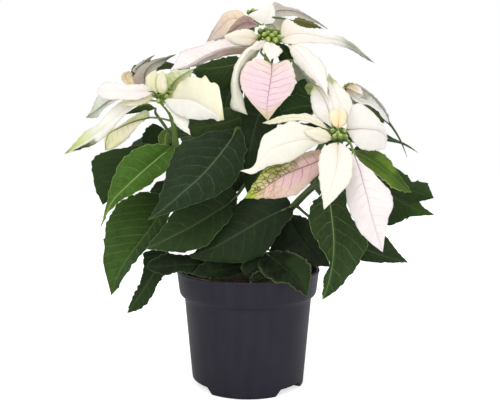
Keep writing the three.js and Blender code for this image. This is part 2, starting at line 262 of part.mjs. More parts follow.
    [[-90,13.5,217.3], [-109.3,24,214.4], [-134.7,33.4,209.5], [-148.9,38.7,200.3], [-147.5,38.5,177.3]],
    [[-90.5,14.5,194.8], [-100.5,24.6,184.9], [-113.3,32.2,174.9], [-125.7,36.5,166.8], [-135.7,37.9,160.9]],
    [[-63.3,-14,213.7], [-68.6,-6,211.8], [-73.8,0,209.8]], 1.6],
  ['leaf_left_upper_dark', 'leaf_left_upper_dark', 'leaf', 1, 5, 1,
    [[-69.3,8,204.2], [-76.5,23,210.2], [-83.5,34,218.5], [-88.6,41,227.9], [-91.3,44,236.3]],
    [[-95.7,26.8,212.9], [-101,37.5,223.2], [-96.4,42.7,232.2]],
    [[-65.5,25.4,214.8], [-74.2,36.4,225.6], [-83.9,42.4,233.2]],
    [[-62.6,-12,210.1], [-66.6,0,206.3], [-69.3,8,204.2]], 1.4],
  ['leaf_left_small', 'leaf_left_upper_dark', 'leaf_bright', -1, 4, 1,
    [[-66.2,-10,232.1], [-71.1,-1.5,229.5], [-74.5,4,224.6], [-75.4,6.5,219.7], [-75.2,6,214.2]],
    [[-76.2,-0.5,229.1], [-81.1,5.3,223.7], [-80.5,7.6,217.4]],
    [[-68.6,-0.8,227.3], [-68.8,5.3,221.9], [-71.4,7.4,217.4]],
    [[-66.2,-1,207], [-66.9,-8,219.8], [-66.2,-10,232.1]], 1],
  ['leaf_centre_large', 'leaf_centre_large', 'leaf', -1, 7, 1,
    [[-8.6,-26,231.1], [-14.2,-43.3,221.3], [-22,-58.8,210.5], [-31,-72.3,199.3], [-40.2,-84,189.9], [-48.7,-93.8,182.7], [-57.4,-101.8,175], [-65.4,-107.8,168.5], [-74.3,-112,162.2]],
    [[-22.6,-40,228.8], [-42.7,-52.9,223.6], [-57,-66,215.5], [-62.8,-79.1,200], [-65.5,-90.3,186.3], [-67.7,-99.3,174.4], [-71.4,-106.1,167.5]],
    [[-3.4,-39.9,224.2], [-2.1,-52.8,211.1], [-5.6,-64.7,196.9], [-14.3,-76,184], [-31,-88.1,175.6], [-47.2,-98.4,170.6], [-62.3,-106.5,165.7]],
    [[8.1,0,211.6], [0,-12,225.1], [-8.6,-26,231.1]], 1.8],
  ['leaf_left_lower', 'leaf_left_lower', 'leaf_mid', -1, 7, 1,
    [[-68.4,-20,168.4], [-75.5,-33.3,158.4], [-82.6,-44.7,147], [-90.6,-54,135.7], [-98.2,-61.5,125.3], [-104.3,-66.9,115.1], [-107.9,-70.4,105.5], [-110.8,-72,95.5]],
    [[-82.7,-29.5,176.2], [-95,-38.5,175], [-108.9,-46.7,167.5], [-116.4,-54.8,153], [-117.6,-61.8,136.9], [-117,-67.2,118.9]],
    [[-67.2,-31.6,157.4], [-72,-42.5,145.8], [-82.2,-52.2,132.9], [-91.1,-60,123.3], [-98.9,-65.7,112.8], [-104.9,-69.6,102.5]],
    [[-51.7,-8,186.9], [-59.2,-14,179.3], [-68.4,-20,168.4]], 1.7],
  ['leaf_centre_mid', 'leaf_centre_mid', 'leaf', -1, 7, 1,
    [[-8.7,-22,173.8], [-18,-34.7,165.5], [-28.5,-45.9,159.9], [-38.8,-55.7,154.3], [-48.9,-64,149.2], [-59.6,-70.8,144.5], [-70.2,-76.1,139.6], [-81.5,-80,135]],
    [[-19.8,-30.3,182.7], [-36.3,-40.8,178.4], [-48.2,-50.2,173.8], [-58.2,-58.9,166.7], [-66.7,-67.8,153.8], [-75.2,-74.6,143]],
    [[-10.2,-35.9,163.9], [-15.5,-47.9,154.6], [-25.1,-57.9,144.2], [-35.8,-66.4,134.4], [-52.3,-72.4,131.3], [-68.6,-76.8,132.9]],
    [[3.6,2,188.1], [-1.8,-10,182.6], [-8.7,-22,173.8]], 1.7],
  ['leaf_centre_low', 'leaf_centre_low', 'leaf', -1, 6, 1,
    [[36.3,-42,165.4], [24.3,-46.3,160.3], [11.7,-49.6,154.4], [-0.8,-52.1,147.6], [-13.3,-53.7,140.3], [-25.8,-54.3,133.2], [-37.4,-54.1,128.2], [-49.6,-53,123.6]],
    [[24.4,-43.3,174.8], [6.8,-39.9,174.7], [-8.5,-37.8,167.5], [-22.1,-40.5,154.1], [-32.8,-46.7,138.8], [-42.7,-49.8,129.5]],
    [[34.5,-45.1,154.7], [26.8,-47.8,144], [17.6,-49.6,130.3], [5,-51.1,121.9], [-12.5,-52.4,118.7], [-33.4,-53.2,120.2]],
    [[57.9,-60,187.7], [51.1,-63,183.1], [43.5,-57,175.2], [36.3,-42,165.4]], 1.7],
  ['leaf_low_left', 'leaf_low_left', 'leaf', -1, 5, 1,
    [[-71.8,-10,122.3], [-75.3,-18.2,114.8], [-80.7,-24.9,107.1], [-86.3,-30,98.4], [-92,-33.6,89.5], [-98.3,-35.6,80.7], [-104.7,-36,71.4]],
    [[-87.2,-15.6,120.6], [-91.4,-22.7,110.3], [-93.7,-28.5,98.7], [-97.9,-32.4,90.1], [-102.3,-34.8,80.1]],
    [[-68.4,-16.8,112.7], [-73.1,-23.2,103.2], [-79.3,-28.4,94.5], [-85.4,-31.6,82.4], [-94.7,-34.1,74.1]],
    [[-21.8,0,146.4], [-36.2,-4,136.9], [-54,-8,128.4], [-71.8,-10,122.3]], 1.5],
  ['leaf_rim_left', 'leaf_rim_left', 'leaf', -1, 5, 1,
    [[-31.1,-34,115.9], [-38.1,-45.6,116.8], [-47.4,-54.9,117.8], [-57.5,-62,118.7], [-66.8,-66.9,118.8], [-75.4,-69.6,118.5], [-82.6,-70,118.4]],
    [[-38.2,-43,122.8], [-48.5,-51,126.8], [-60.3,-57.7,128.4], [-70.5,-62.9,127.6], [-78.9,-67.1,123.4]],
    [[-37.2,-46.3,113.5], [-46.6,-55.7,109.9], [-57.6,-62,113], [-67.8,-66.1,110.8], [-78.4,-68.7,115.1]],
    [[-1.8,3,122], [-10.7,-12,120.9], [-21,-26,118], [-31.1,-34,115.9]], 1.5],
  ['leaf_right_front', 'leaf_right_front', 'leaf_mid', -1, 6, 1,
    [[64.6,-66,180.9], [64.9,-77.8,171.5], [65.2,-88,161.6], [65.4,-96.8,151.8], [65.1,-104,142.1], [63.7,-109.8,132.5], [61.8,-114,122.7], [59,-116.8,112.7], [55.1,-118,103.2]],
    [[53.3,-74.7,173.2], [47.5,-83.4,163.4], [49.4,-92.6,150.5], [55.9,-101.5,139.1], [61.3,-108.6,128.4], [57.2,-112.8,120.9], [55.5,-115.8,111.7]],
    [[77.3,-73.2,180.6], [78.7,-83.9,165], [87.6,-90.4,151.3], [91.5,-96.5,142.5], [85.8,-103.4,130.2], [77.1,-109.6,120.6], [66,-114.6,109.6]],
    [[66.3,-70,203.6], [64.3,-74,192.7], [64.6,-66,180.9]], 1.7],
  ['leaf_right_low', 'leaf_right_low', 'leaf', 1, 5, 1,
    [[79.6,-30,139.8], [88.7,-39,133.3], [99,-44.6,129.1], [109.7,-46.6,125.1], [121.9,-45,121], [136.9,-40,116.6]],
    [[91.5,-36.6,145], [103.5,-41.4,144], [115.5,-43.2,140.8], [125.9,-43.4,128]],
    [[87.5,-36.8,121.7], [98.7,-42.5,118.2], [110.1,-45.1,117.5], [122.9,-44.3,117.2]],
    [[42.1,-32,164.3], [54,-34,154.2], [67.2,-32,145.3], [79.6,-30,139.8]], 1.5],
  ['leaf_far_right', 'twig_far_right', 'leaf', 1, 4, 1,
    [[112.6,4,193.4], [123.4,3,187.1], [133.8,0.2,181.4], [143.6,-4.6,176.8], [152.8,-11.4,173.8], [163,-20,170]],
    [[125.7,6.7,199.2], [137.5,3.9,193.4], [147.7,-2,184.7], [158.7,-8.3,182.3]],
    [[123,4.8,178.4], [132.3,2.5,169.9], [143.6,-2.1,163.9], [154.2,-9.9,166.3]],
    [[103.4,15,197.5], [108,9,195.9], [112.6,4,193.4]], 1.5],
  ['leaf_far_right_low', 'twig_far_right', 'leaf_mid', 1, 4, 1,
    [[113.1,6,184.2], [122.2,5.3,177], [130.9,2.3,170.3], [139.8,-2.9,164.5], [149.8,-10.3,159.4], [163.9,-20,155.1]],
    [[126,6.6,182.3], [138.4,4.4,177.5], [151.1,-0.4,170.6], [155.9,-9.1,161.9]],
    [[120.3,8.1,162.9], [127,7.6,143.5], [138.3,0.7,146.3], [145.9,-8.7,152.2]],
    [[95.8,26,201.2], [104.3,14,192.9], [113.1,6,184.2]], 1.5],
  ['leaf_right_bright', 'leaf_right_bright', 'leaf_bright', 1, 5, 1,
    [[83.9,-74,212.8], [90.5,-67.6,209.5], [99.7,-61.6,204.9], [109.8,-56,198.5], [120.1,-50.9,190.9], [129.6,-46.2,182.6], [138.2,-42,176.7]],
    [[92.4,-65.8,212.7], [105.2,-57.2,212.1], [115.9,-51.5,205.8], [124.3,-48.1,194.9], [132.4,-44.7,184.2]],
    [[90.8,-68.5,204.7], [98.8,-62.5,197.2], [109.5,-56.5,189.5], [119,-50.7,182.1], [129.8,-45.8,177.9]],
    [[70.9,-76,213.3], [77.2,-76,214.1], [83.9,-74,212.8]], 1.5],
  ['leaf_right_inner', 'twig_low', 'leaf', 1, 4, 1,
    [[35.6,-12,155.1], [39.6,-19.9,145.4], [45.3,-26.9,135.8], [52.7,-32.9,127.1], [60.8,-37.9,119.3], [70.3,-42,113.3]],
    [[48.5,-17.5,153.5], [55.9,-23.7,147.2], [58.8,-30.6,136.4], [66.5,-36.6,122.9]],
    [[25.6,-18.4,139.8], [21,-24.3,126.5], [31.3,-30.5,117], [51.6,-36.8,113.4]],
    [[7.2,18.5,130.7], [17,6,146], [26,-4,158], [35.6,-12,155.1]], 1.4],
  ['leaf_rim_right', 'leaf_rim_right', 'leaf_mid', 1, 5, 1,
    [[13.7,-38,125.4], [22.5,-54.5,121.5], [30.1,-67.1,117.2], [37.3,-75.9,111.6], [43,-80.9,104.6], [47.4,-82,96.8]],
    [[30,-52.4,128.7], [42.5,-64,126.6], [50.4,-72.7,120.8], [49.6,-79.4,107.5]],
    [[8.4,-51.3,114.1], [18.5,-64,106.6], [31,-74.3,106], [39.9,-80,101.1]],
    [[2.7,2,118.4], [8,-16,122.5], [13.7,-38,125.4]], 1.4],
  ['leaf_rim_small', 'twig_low', 'leaf', -1, 4, 1,
    [[20.4,-42,114], [15.2,-49.1,111.1], [10,-54,108.7], [5,-56.6,106.7], [0.8,-57,104.7]],
    [[16,-48.6,113.6], [8.4,-53.2,112.4], [3.3,-56,109.1]],
    [[18.5,-48.7,108.5], [11.7,-53.6,105.2], [5.4,-56.4,104.1]],
    [[8.7,14.7,99], [15,1,108], [17,-20,109], [20.4,-42,114]], 1],
  ['leaf_rim_centre', 'twig_low', 'leaf', -1, 4, 1,
    [[20.8,-32,122.6], [14.5,-40,119.7], [8.5,-46,116.5], [2.5,-50,112.6], [-2.1,-52,107.9]],
    [[12,-39.1,123.4], [0,-44.1,120.4], [-5.9,-48.3,114.4]],
    [[21.4,-39.3,116.5], [15.3,-45.1,110.7], [5.9,-49.4,107.8]],
    [[8.1,15.7,109.2], [16,3,121], [20,-14,122], [20.8,-32,122.6]], 1.1],
  ['leaf_top_left_dark', 'leaf_top_left_dark', 'leaf', -1, 4, 1,
    [[-4.5,4,290.1], [-12.5,2.6,287.7], [-21.4,1,285.8], [-31.1,-1,284.3], [-39.8,-3.4,283.2], [-48.8,-6,282.2]],
    [[-10.7,4.9,295.5], [-21.4,3.3,294], [-32.9,0.9,290.6], [-42.5,-2,286.8]],
    [[-11.7,6.2,276.1], [-22.5,6.6,267.3], [-34.1,3.3,270.6], [-44.5,-0.7,275.7]],
    [[16.1,2,281.1], [6.3,3,286.4], [-4.5,4,290.1]], 1.4],
  ['leaf_upper_inner', 'twig_inner', 'leaf', -1, 4, 1,
    [[-7.2,8,276.3], [-13.6,8.2,269.2], [-18.1,8.2,259.3], [-20.4,7.8,249.4], [-21.7,7,239.5], [-23.6,6,229.6]],
    [[-18.1,9.6,274.6], [-27.2,10.6,267.5], [-30,10.1,256.7], [-29.1,8.7,244.1]],
    [[-4.5,10.3,263.9], [-6.4,10.8,253.1], [-10,10.1,244.1], [-15.4,8.5,235.9]],
    [[20.5,12,262.2], [6.3,10,270.2], [-7.2,8,276.3]], 1.4],
  ['leaf_upper_left', 'leaf_upper_left', 'leaf_mid', -1, 5, 1,
    [[1.8,-4,244.5], [-7,-10.4,240.8], [-15.7,-15.8,237.2], [-25.1,-20,234.6], [-35.4,-23.1,232.8], [-44.7,-25.1,231.9], [-52.1,-26,232.8]],
    [[-3.5,-7.7,249.2], [-14.9,-12.3,249.1], [-27,-16.4,246.7], [-39,-19.6,244], [-49.6,-22.1,241]],
    [[-0.9,-8.2,231.2], [-12.3,-13.7,227.7], [-25.3,-17.8,223.8], [-38.2,-20.7,221.2], [-48.4,-23.3,223.8]],
    [[13.5,4,240.3], [8.1,0,244.7], [1.8,-4,244.5]], 1.5],
  ['leaf_inner_dark', 'leaf_inner_dark', 'leaf', -1, 5, 1,
    [[17.4,-14,258.9], [12.1,-21.8,248.2], [6.8,-27.8,234.4], [3.4,-31.8,220.8], [1.3,-33.8,207.3], [0,-34,193.2]],
    [[5.2,-20.1,257.7], [-5.1,-24.9,249], [-6,-29.9,229.3], [-4.3,-33,208.1]],
    [[28.6,-19.4,248.3], [24.1,-25.1,231.1], [12.8,-29.9,212.3], [6,-32.4,198.7]],
    [[14.3,2,252.7], [18.6,-6,258.5], [17.4,-14,258.9]], 1.5],
  ['leaf_inner_right_a', 'twig_inner', 'leaf', 1, 4, 1,
    [[62,-6,252.4], [56.1,-1.7,257], [51,2,262.5], [46.8,5.3,268.1], [45.1,8,273.2]],
    [[53.6,-0.7,252.6], [43.2,4,256.4], [38.8,7,264.6]],
    [[61.6,-0.4,261.5], [57.4,3.6,267.9], [51.3,6.6,273]],
    [[19.6,12.5,246], [35.1,4,247.5], [50.8,-2,250.8], [62,-6,252.4]], 1.1],
  ['leaf_inner_right_b', 'twig_inner', 'leaf', -1, 4, 1,
    [[60.7,-19,248.4], [52.3,-14.9,250.3], [43,-12,249.5], [32.5,-10.4,246.1], [20.7,-10,240.4]],
    [[53.3,-13.8,255.5], [41.3,-10.5,257], [29.1,-9,251.8]],
    [[56.1,-13.2,242.5], [45.8,-10.4,242.2], [33.5,-9.5,241.7]],
    [[18.8,13,236], [36,3,235.8], [51.8,-12,240.8], [60.7,-19,248.4]], 1.3],
  ['leaf_top_right_grey', 'twig_inner', 'under', -1, 4, 1,
    [[39.2,2,291.6], [43.9,5.3,285.8], [49.6,8,278.9], [55.3,10.3,273.8], [61.8,12,269.4]],
    [[47.6,6,285.4], [54.6,9,279.5], [60.8,11.3,273.4]],
    [[40.5,6.3,281.9], [44.8,9.7,272.4], [54.5,11.1,269.8]],
    [[20.8,9.5,285.3], [29.5,4,290.1], [39.2,2,291.6]], 1.2],
  ['leaf_right_grey', 'twig_inner', 'under', 1, 4, 1,
    [[73.3,-22,251.7], [67.7,-17,257.1], [61.2,-12,262.5], [55.6,-7,265.9], [50.2,-2,267.5]],
    [[68.7,-16,262.3], [61.3,-10.9,268.2], [53.8,-6,270.8]],
    [[67.9,-16,251.9], [60.6,-10.6,255.7], [53,-5.9,261.2]],
    [[19.6,12,253.2], [42.9,12,247.8], [65.8,-4,244.5], [73.3,-22,251.7]], 1.2],
  ['leaf_top_inner', 'twig_inner', 'leaf', 1, 4, 1,
    [[25.2,10,308.5], [29.9,12.2,304.3], [33.6,14,299.6], [36.9,15.3,294.9], [39.2,16,290]],
    [[34.4,13.2,306.2], [40,15.3,301.1], [41.5,16.2,295]],
    [[26.3,13.1,302.6], [26.9,15.6,295.8], [31.9,16.6,290.5]],
    [[20.8,9,287], [23.5,10,299.6], [25.2,10,308.5]], 1.2],
  ['leaf_inner_low', 'twig_inner', 'leaf', -1, 4, 1,
    [[6.4,12,204.1], [0.9,11.8,196.7], [-5.5,11.4,189.4], [-12.9,10.6,181.6], [-20.2,9.4,175.2], [-29.3,8,169.4]],
    [[-1.8,13.1,202.2], [-10.1,12.8,194.8], [-17.5,11.9,186.6], [-24.8,10.5,177.9]],
    [[10.1,13.3,193], [4.2,13,183.8], [-3.7,12.1,176.9], [-14.7,10.4,171.9]],
    [[12.8,11,204.1], [10.1,13,205.9], [6.4,12,204.1]], 1.3],
  ['leaf_back_10', 'twig_low', 'leaf', 1, 5, 1,
    [[3.6,46.2,121.7], [1.8,59.1,120.6], [0,71.9,118.2], [-1.8,84.3,114.2], [-3.4,96.2,108.8], [-5,107.2,101.8], [-6.4,117.2,93.3], [-7.6,125.9,83.5]],
    [[-18.5,60.1,124.2], [-29.3,73.8,122.7], [-32.5,86.9,118.2], [-29.8,98.7,111.4], [-23.9,109.2,103], [-16.2,118.3,93.6]],
    [[21.1,65.7,124.2], [27.6,81.8,122.7], [27.1,95.3,118.2], [21.3,105.9,111.4], [12.7,114.4,103], [2.8,121,93.6]],
    [[7.8,16.8,117.5], [5.7,31.5,121.4], [3.6,46.2,121.7]], 1.5],
  ['leaf_back_11', 'twig_low', 'leaf', 1, 5, 1,
    [[33.8,38.3,130], [44.2,46.3,129.4], [54.4,54.4,127.6], [64.5,62.2,124.3], [74.1,69.7,119.5], [83.2,76.8,113.2], [91.6,83.4,105.4], [99,89.2,96.3]],
    [[35,63.8,133.1], [41.7,79.7,132.2], [51.5,89.1,128.4], [63.3,93,122.3], [75.6,93.6,114.7], [87.7,92.2,105.9]],
    [[58.9,33.3,133.1], [75.9,35.9,132.2], [87.4,43.1,128.4], [94.1,53.6,122.3], [97.7,65.4,114.7], [99.2,77.5,105.9]],
    [[7.5,17.6,124.1], [20.6,28,129.1], [33.8,38.3,130]], 1.5],
  ['leaf_back_12', 'twig_low', 'leaf', 1, 5, 1,
    [[-26.7,38.1,139], [-38.1,44.7,138.9], [-49.4,51.2,137.3], [-60.5,57.6,134.3], [-71.1,63.8,129.7], [-81.2,69.5,123.5], [-90.4,74.9,115.7], [-98.6,79.6,106.6]],
    [[-50.7,29.6,142.6], [-68,29.9,142.1], [-80.5,35.5,138.5], [-88.6,45,132.6], [-93.9,56.3,125], [-97.1,68,116.2]],
    [[-31.4,63.2,142.6], [-40.2,78,142.1], [-51.4,86,138.5], [-63.7,88.3,132.6], [-76,87.2,125], [-87.8,84.1,116.2]],
    [[7.2,18.5,130.7], [-9.8,28.3,137.3], [-26.7,38.1,139]], 1.5],
  ['leaf_rear_dark', 'twig_far_right', 'leaf', 1, 4, 1,
    [[109.5,0,228.6], [116.7,0,225.5], [123.9,0,222.8], [131.2,0,220.2], [138.4,0,217.8], [145.7,0,214.2], [153.3,0,209.1]],
    [[116.9,1.5,228.5], [124.2,1.7,226.2], [131.3,0.9,222.1], [138.5,0.6,219], [145.8,0.4,215]],
    [[115.9,-1.8,222], [123.7,-1.5,219.7], [131,-0.9,218.4], [138.3,-0.6,216.7], [145.6,-0.4,213.3]],
    [[84.3,39,204.9], [93.6,38,214.6], [103.6,36,223.2], [109.5,0,228.6]], 1.2],
  ['leaf_back_1', 'twig_back_left', 'leaf', 1, 5, 1,
    [[-49.1,61.1,225.6], [-62.5,66,224.9], [-75.6,70.8,222.1], [-88.2,75.4,217], [-99.7,79.5,209.6], [-109.7,83.2,200.1], [-117.7,86.1,188.7], [-123.4,88.2,175.7]],
    [[-73.5,47.4,228.8], [-92.2,44.3,226.7], [-106.3,47.8,220.6], [-115.6,56.1,211.4], [-121.2,66.4,200.4], [-123.7,77.4,188.3]],
    [[-58.9,87.4,228.8], [-71.3,101.7,226.7], [-84.3,108.1,220.6], [-96.8,107.7,211.4], [-107.7,103.4,200.4], [-116.7,96.6,188.3]],
    [[-23.3,51.8,219.7], [-36.2,56.4,224.3], [-49.1,61.1,225.6]], 1.5],
  ['leaf_back_3', 'twig_back_left', 'leaf', 1, 5, 1,
    [[-57.3,71.6,288.3], [-67.3,77.4,291.6], [-77.6,83.3,293.3], [-88,89.3,293.1], [-98.2,95.2,291], [-108,100.9,286.9], [-117,106,280.8], [-124.8,110.6,272.9]],
    [[-77.8,63.3,295.7], [-93.4,63.6,298.6], [-105.3,69,298], [-113.6,78.2,294.4], [-119.3,88.8,288.7], [-123,99.8,281.4]],
    [[-60.4,93.5,295.7], [-68.4,106.9,298.6], [-79,114.4,298], [-91.1,117,294.4], [-103.2,116.7,288.7], [-114.6,114.4,281.4]],
    [[-42.3,63,278.3], [-49.8,67.3,284.5], [-57.3,71.6,288.3]], 1.5],
  ['leaf_back_8', 'twig_back_left', 'leaf', 1, 5, 1,
    [[-59.5,55,264.8], [-71.1,51.9,266.1], [-82.6,48.8,265.6], [-94,45.8,263.4], [-104.9,42.9,259.2], [-114.9,40.2,253.2], [-123.8,37.8,245.5], [-131.1,35.9,236.1]],
    [[-69.2,34.4,269.7], [-80.6,23.5,270.2], [-92.6,19,267.4], [-104.2,19.8,261.8], [-114.7,23.6,254.4], [-123.7,29.2,245.7]],
    [[-78.2,68.1,269.7], [-93.6,71.8,270.2], [-106.2,69.7,267.4], [-115.8,63.2,261.8], [-123,54.7,254.4], [-128,45.4,245.7]],
    [[-35.9,61.4,255.9], [-47.7,58.2,261.9], [-59.5,55,264.8]], 1.5],
  ['leaf_back_9', 'twig_back_left', 'leaf', 1, 5, 1,
    [[-39.7,77.7,288.4], [-37.8,88.8,292.4], [-35.7,100.4,294.6], [-33.6,112.2,294.8], [-31.6,123.9,292.9], [-29.6,135,288.9], [-27.8,145.1,282.6], [-26.3,153.8,274.5]],
    [[-54,93.5,296.4], [-58.8,108,299.9], [-57.7,121,299.7], [-52.1,132.1,296.3], [-44.3,141.3,290.6], [-35.4,148.5,283.2]],
    [[-20.9,87.6,296.4], [-11.4,99.6,299.9], [-8,112.3,299.7], [-9.5,124.6,296.3], [-13.7,135.9,290.6], [-19.5,145.7,283.2]],
    [[-42.3,63,278.3], [-41,70.3,284.4], [-39.7,77.7,288.4]], 1.5],
  ['leaf_back_4', 'twig_back_right', 'leaf', 1, 5, 1,
    [[39.3,82.6,201], [46.5,94.3,201.2], [53.7,105.8,199.4], [60.7,116.9,195.2], [67.1,127.1,188.7], [72.7,136.1,180], [77.2,143.4,169.3], [80.5,148.7,157.1]],
    [[31.4,107.8,205.1], [32.5,126,204], [38.8,138.7,198.9], [48.6,146.2,190.7], [59.5,150,180.5], [70.4,150.6,169.1]],
    [[65.4,86.6,205.1], [81.2,95.6,204], [89.9,106.8,198.9], [92.3,118.9,190.7], [90.9,130.4,180.5], [86.7,140.4,169.1]],
    [[27,63.1,194.4], [33.2,72.9,199.1], [39.3,82.6,201]], 1.5],
  ['leaf_back_5', 'twig_back_right', 'leaf', 1, 5, 1,
    [[60.3,80,226.8], [72.8,83.6,228], [85.4,87.2,227.3], [97.8,90.8,224.4], [109.4,94.1,219.2], [119.9,97.1,211.9], [128.8,99.7,202.6], [135.7,101.6,191.6]],
    [[70.5,102.4,231.9], [83,114.5,232.1], [95.9,119.5,228.4], [108.3,118.9,221.6], [119.3,114.9,212.8], [128.5,109,202.6]],
    [[80.9,66.4,231.9], [97.8,62.8,232.1], [111.4,65.4,228.4], [121.6,72.5,221.6], [128.9,81.7,212.8], [133.5,91.7,202.6]],
    [[35,72.8,217.2], [47.6,76.4,223.7], [60.3,80,226.8]], 1.5],
  ['leaf_back_6', 'twig_back_right', 'leaf', 1, 4, 1,
    [[38.5,91.8,251.2], [36.9,100.8,254.4], [35.3,110.2,256.2], [33.6,119.8,256.4], [31.9,129.2,254.8], [30.4,138.2,251.5], [28.9,146.4,246.5], [27.7,153.4,239.9]],
    [[21.4,99.7,258.1], [12.9,109.4,261], [9.9,119.8,260.8], [11.6,129.9,257.9], [15.7,139,253.1], [21.2,147,247]],
    [[51.9,105.1,258.1], [56.6,117.2,261], [55.9,127.9,260.8], [50.9,136.8,257.9], [43.9,144,253.1], [35.9,149.5,247]],
    [[40.8,78.7,242.2], [39.7,85.3,247.6], [38.5,91.8,251.2]], 1.5],
  ['leaf_back_7', 'twig_back_right', 'leaf', 1, 4, 1,
    [[51.9,87.6,235.5], [60,94.4,235.1], [68,101.1,233], [75.5,107.4,229.2], [82.5,113.3,223.8], [88.5,118.3,216.7], [93.3,122.4,208.2], [96.8,125.3,198.7]],
    [[52.3,108.2,237.9], [57.3,121.2,236.3], [64.7,128.8,231.8], [73.5,131.8,225.1], [82.1,131.7,216.9], [90,129.3,208]],
    [[72.2,84.4,237.9], [85.9,87.1,236.3], [94.7,93.1,231.8], [99.1,101.2,225.1], [100.5,109.7,216.9], [99.6,117.9,208]],
    [[38.4,76.3,231.8], [45.2,82,234.8], [51.9,87.6,235.5]], 1.5],
  ['bract_back_a', 'flower_back', 'bract', 1, 4, 1,
    [[9.2,78.1,341.1], [14.1,85,342.2], [19,92.1,342], [23.8,99,340.4], [28.4,105.5,337.3], [32.6,111.5,332.8], [36.2,116.6,326.9], [39,120.6,319.9]],
    [[9.1,89.8,343.6], [11,100.2,344.1], [14.5,109,342.4], [19.8,115.1,338.7], [25.9,119.2,333.4], [32.5,120.9,327]],
    [[20.2,82,343.6], [29.4,87.3,344.1], [36.4,93.6,342.4], [40.4,100.7,338.7], [42.1,107.8,333.4], [41.5,114.6,327]],
    [[4.9,72,340.5], [7.1,75,340.1], [9.2,78.1,341.1]], 1.5],
  ['bract_back_b', 'flower_back', 'bract', 1, 4, 1,
    [[3.7,79,341.9], [2,88.5,344.1], [0.3,98.4,344.9], [-1.4,108.2,343.9], [-3.1,117.6,341.1], [-4.6,126.4,336.5], [-6,134,330.2], [-7.1,140.2,322.4]],
    [[-5.8,88.2,345.9], [-12.7,98.2,347.5], [-17,108.5,346.5], [-17.8,118.3,342.9], [-16.3,127.2,337.4], [-12.4,134.5,330.3]],
    [[9.5,90.9,345.9], [12.6,102.7,347.5], [13.1,113.8,346.5], [10.5,123.3,342.9], [6,131.1,337.4], [-0.1,136.7,330.3]],
    [[4.9,72,340.5], [4.3,75.5,340.5], [3.7,79,341.9]], 1.5],
  ['bract_back_c', 'flower_back', 'bract_pink', 1, 4, 1,
    [[-0.8,77.2,340.1], [-6.6,82.4,339.9], [-12.2,87.4,338.6], [-17.6,92.3,336], [-22.6,96.8,332.1], [-26.9,100.6,327], [-30.3,103.7,320.9], [-32.7,105.9,313.9]],
    [[-11.6,78.4,341.1], [-20.8,81.1,340.2], [-28.1,85,337.5], [-32.5,90.1,332.9], [-34.8,95.4,327.2], [-34.7,100.8,320.7]],
    [[-3.2,87.8,341.1], [-6.9,96.7,340.2], [-11.4,103.5,337.5], [-16.9,107.4,332.9], [-22.5,109.1,327.2], [-27.9,108.4,320.7]],
    [[4.9,72,340.5], [2.1,74.6,339.6], [-0.8,77.2,340.1]], 1.5],
  ['bract_rear_a', 'flower_rear', 'bract', 1, 4, 1,
    [[101.8,74.9,268.2], [105.4,81.7,267.8], [109,88.4,266.1], [112.3,94.6,263], [115.3,100.2,258.6], [117.8,104.9,253], [119.6,108.4,246.4], [120.8,110.6,239.1]],
    [[100.4,85.7,268.9], [100.8,95.3,267.5], [102.7,103.1,264.2], [106.4,108.3,259.2], [110.8,111.3,252.9], [115.8,111.9,246.1]],
    [[111.6,79.8,268.9], [119.3,85.5,267.5], [124.7,91.4,264.2], [127,97.4,259.2], [127,102.7,252.9], [124.7,107.2,246.1]],
    [[98.1,68,269], [100,71.5,267.9], [101.8,74.9,268.2]], 1.5],
  ['bract_rear_b', 'flower_rear', 'bract_pink', 1, 4, 1,
    [[97.1,75.3,269.5], [95.9,84.1,270.6], [94.7,92.8,270.2], [93.5,101.4,268.3], [92.3,109.4,264.8], [91.3,116.6,259.7], [90.5,122.6,253.3], [89.9,127.1,245.6]],
    [[88.5,84.2,272.1], [82.4,93.4,272.4], [78.8,102.5,270.4], [78.6,110.8,266.1], [80.4,117.8,260.2], [84.5,123.3,253.2]],
    [[102.9,86.2,272.1], [106.3,96.7,272.4], [107.2,106.5,270.4], [105.2,114.5,266.1], [101.5,120.8,260.2], [96.1,124.9,253.2]],
    [[98.1,68,269], [97.6,71.7,268.5], [97.1,75.3,269.5]], 1.5],
  ['bract_rear_c', 'flower_rear', 'bract', 1, 4, 1,
    [[92.5,72.8,269.5], [86.6,77.7,270.6], [80.7,82.6,270.6], [74.9,87.5,269.4], [69.3,92.2,267], [64,96.6,263.4], [59.4,100.5,258.6], [55.5,103.8,252.8]],
    [[81.9,73.5,271.9], [72.6,75.8,272.6], [64.9,79.7,271.4], [59.7,85,268.4], [56.4,91,264.1], [55.1,97.5,258.8]],
    [[89.9,83.1,271.9], [86,91.8,272.6], [80.9,98.7,271.4], [74.7,102.9,268.4], [68.2,105.2,264.1], [61.7,105.2,258.8]],
    [[98.1,68,269], [95.3,70.4,268.5], [92.5,72.8,269.5]], 1.5],
  ['leaf_left_inner', 'leaf_left_inner', 'leaf', -1, 4, 1,
    [[-57.2,-16,183], [-64.5,-14.2,180.2], [-71.8,-12,178.3], [-80.2,-9.2,176.7], [-88.2,-6,174.7]],
    [[-64.5,-13.1,185.9], [-72.8,-10.7,184.9], [-81.2,-7.9,183.3]],
    [[-63.8,-12.6,172.1], [-72.1,-10.2,169.2], [-81.4,-7.6,168.5]],
    [[-52.3,-11,188.9], [-53.7,-15,186.5], [-57.2,-16,183]], 1.3],
  ['leaf_inner_mid', 'twig_inner', 'leaf', -1, 4, 1,
    [[15.8,-16,203.2], [11.3,-22,195.6], [7.3,-27,188.1], [3.9,-31,180.6], [0.9,-34,171]],
    [[5.2,-19.7,205.1], [-2.6,-24.4,196.6], [-4.3,-28.9,186.9]],
    [[20.9,-20.1,193.8], [17.3,-24.8,183.6], [10.3,-29.4,176.2]],
    [[12.8,11,204.1], [18.3,5,207.9], [18.5,-6,207.3], [15.8,-16,203.2]], 1.2],
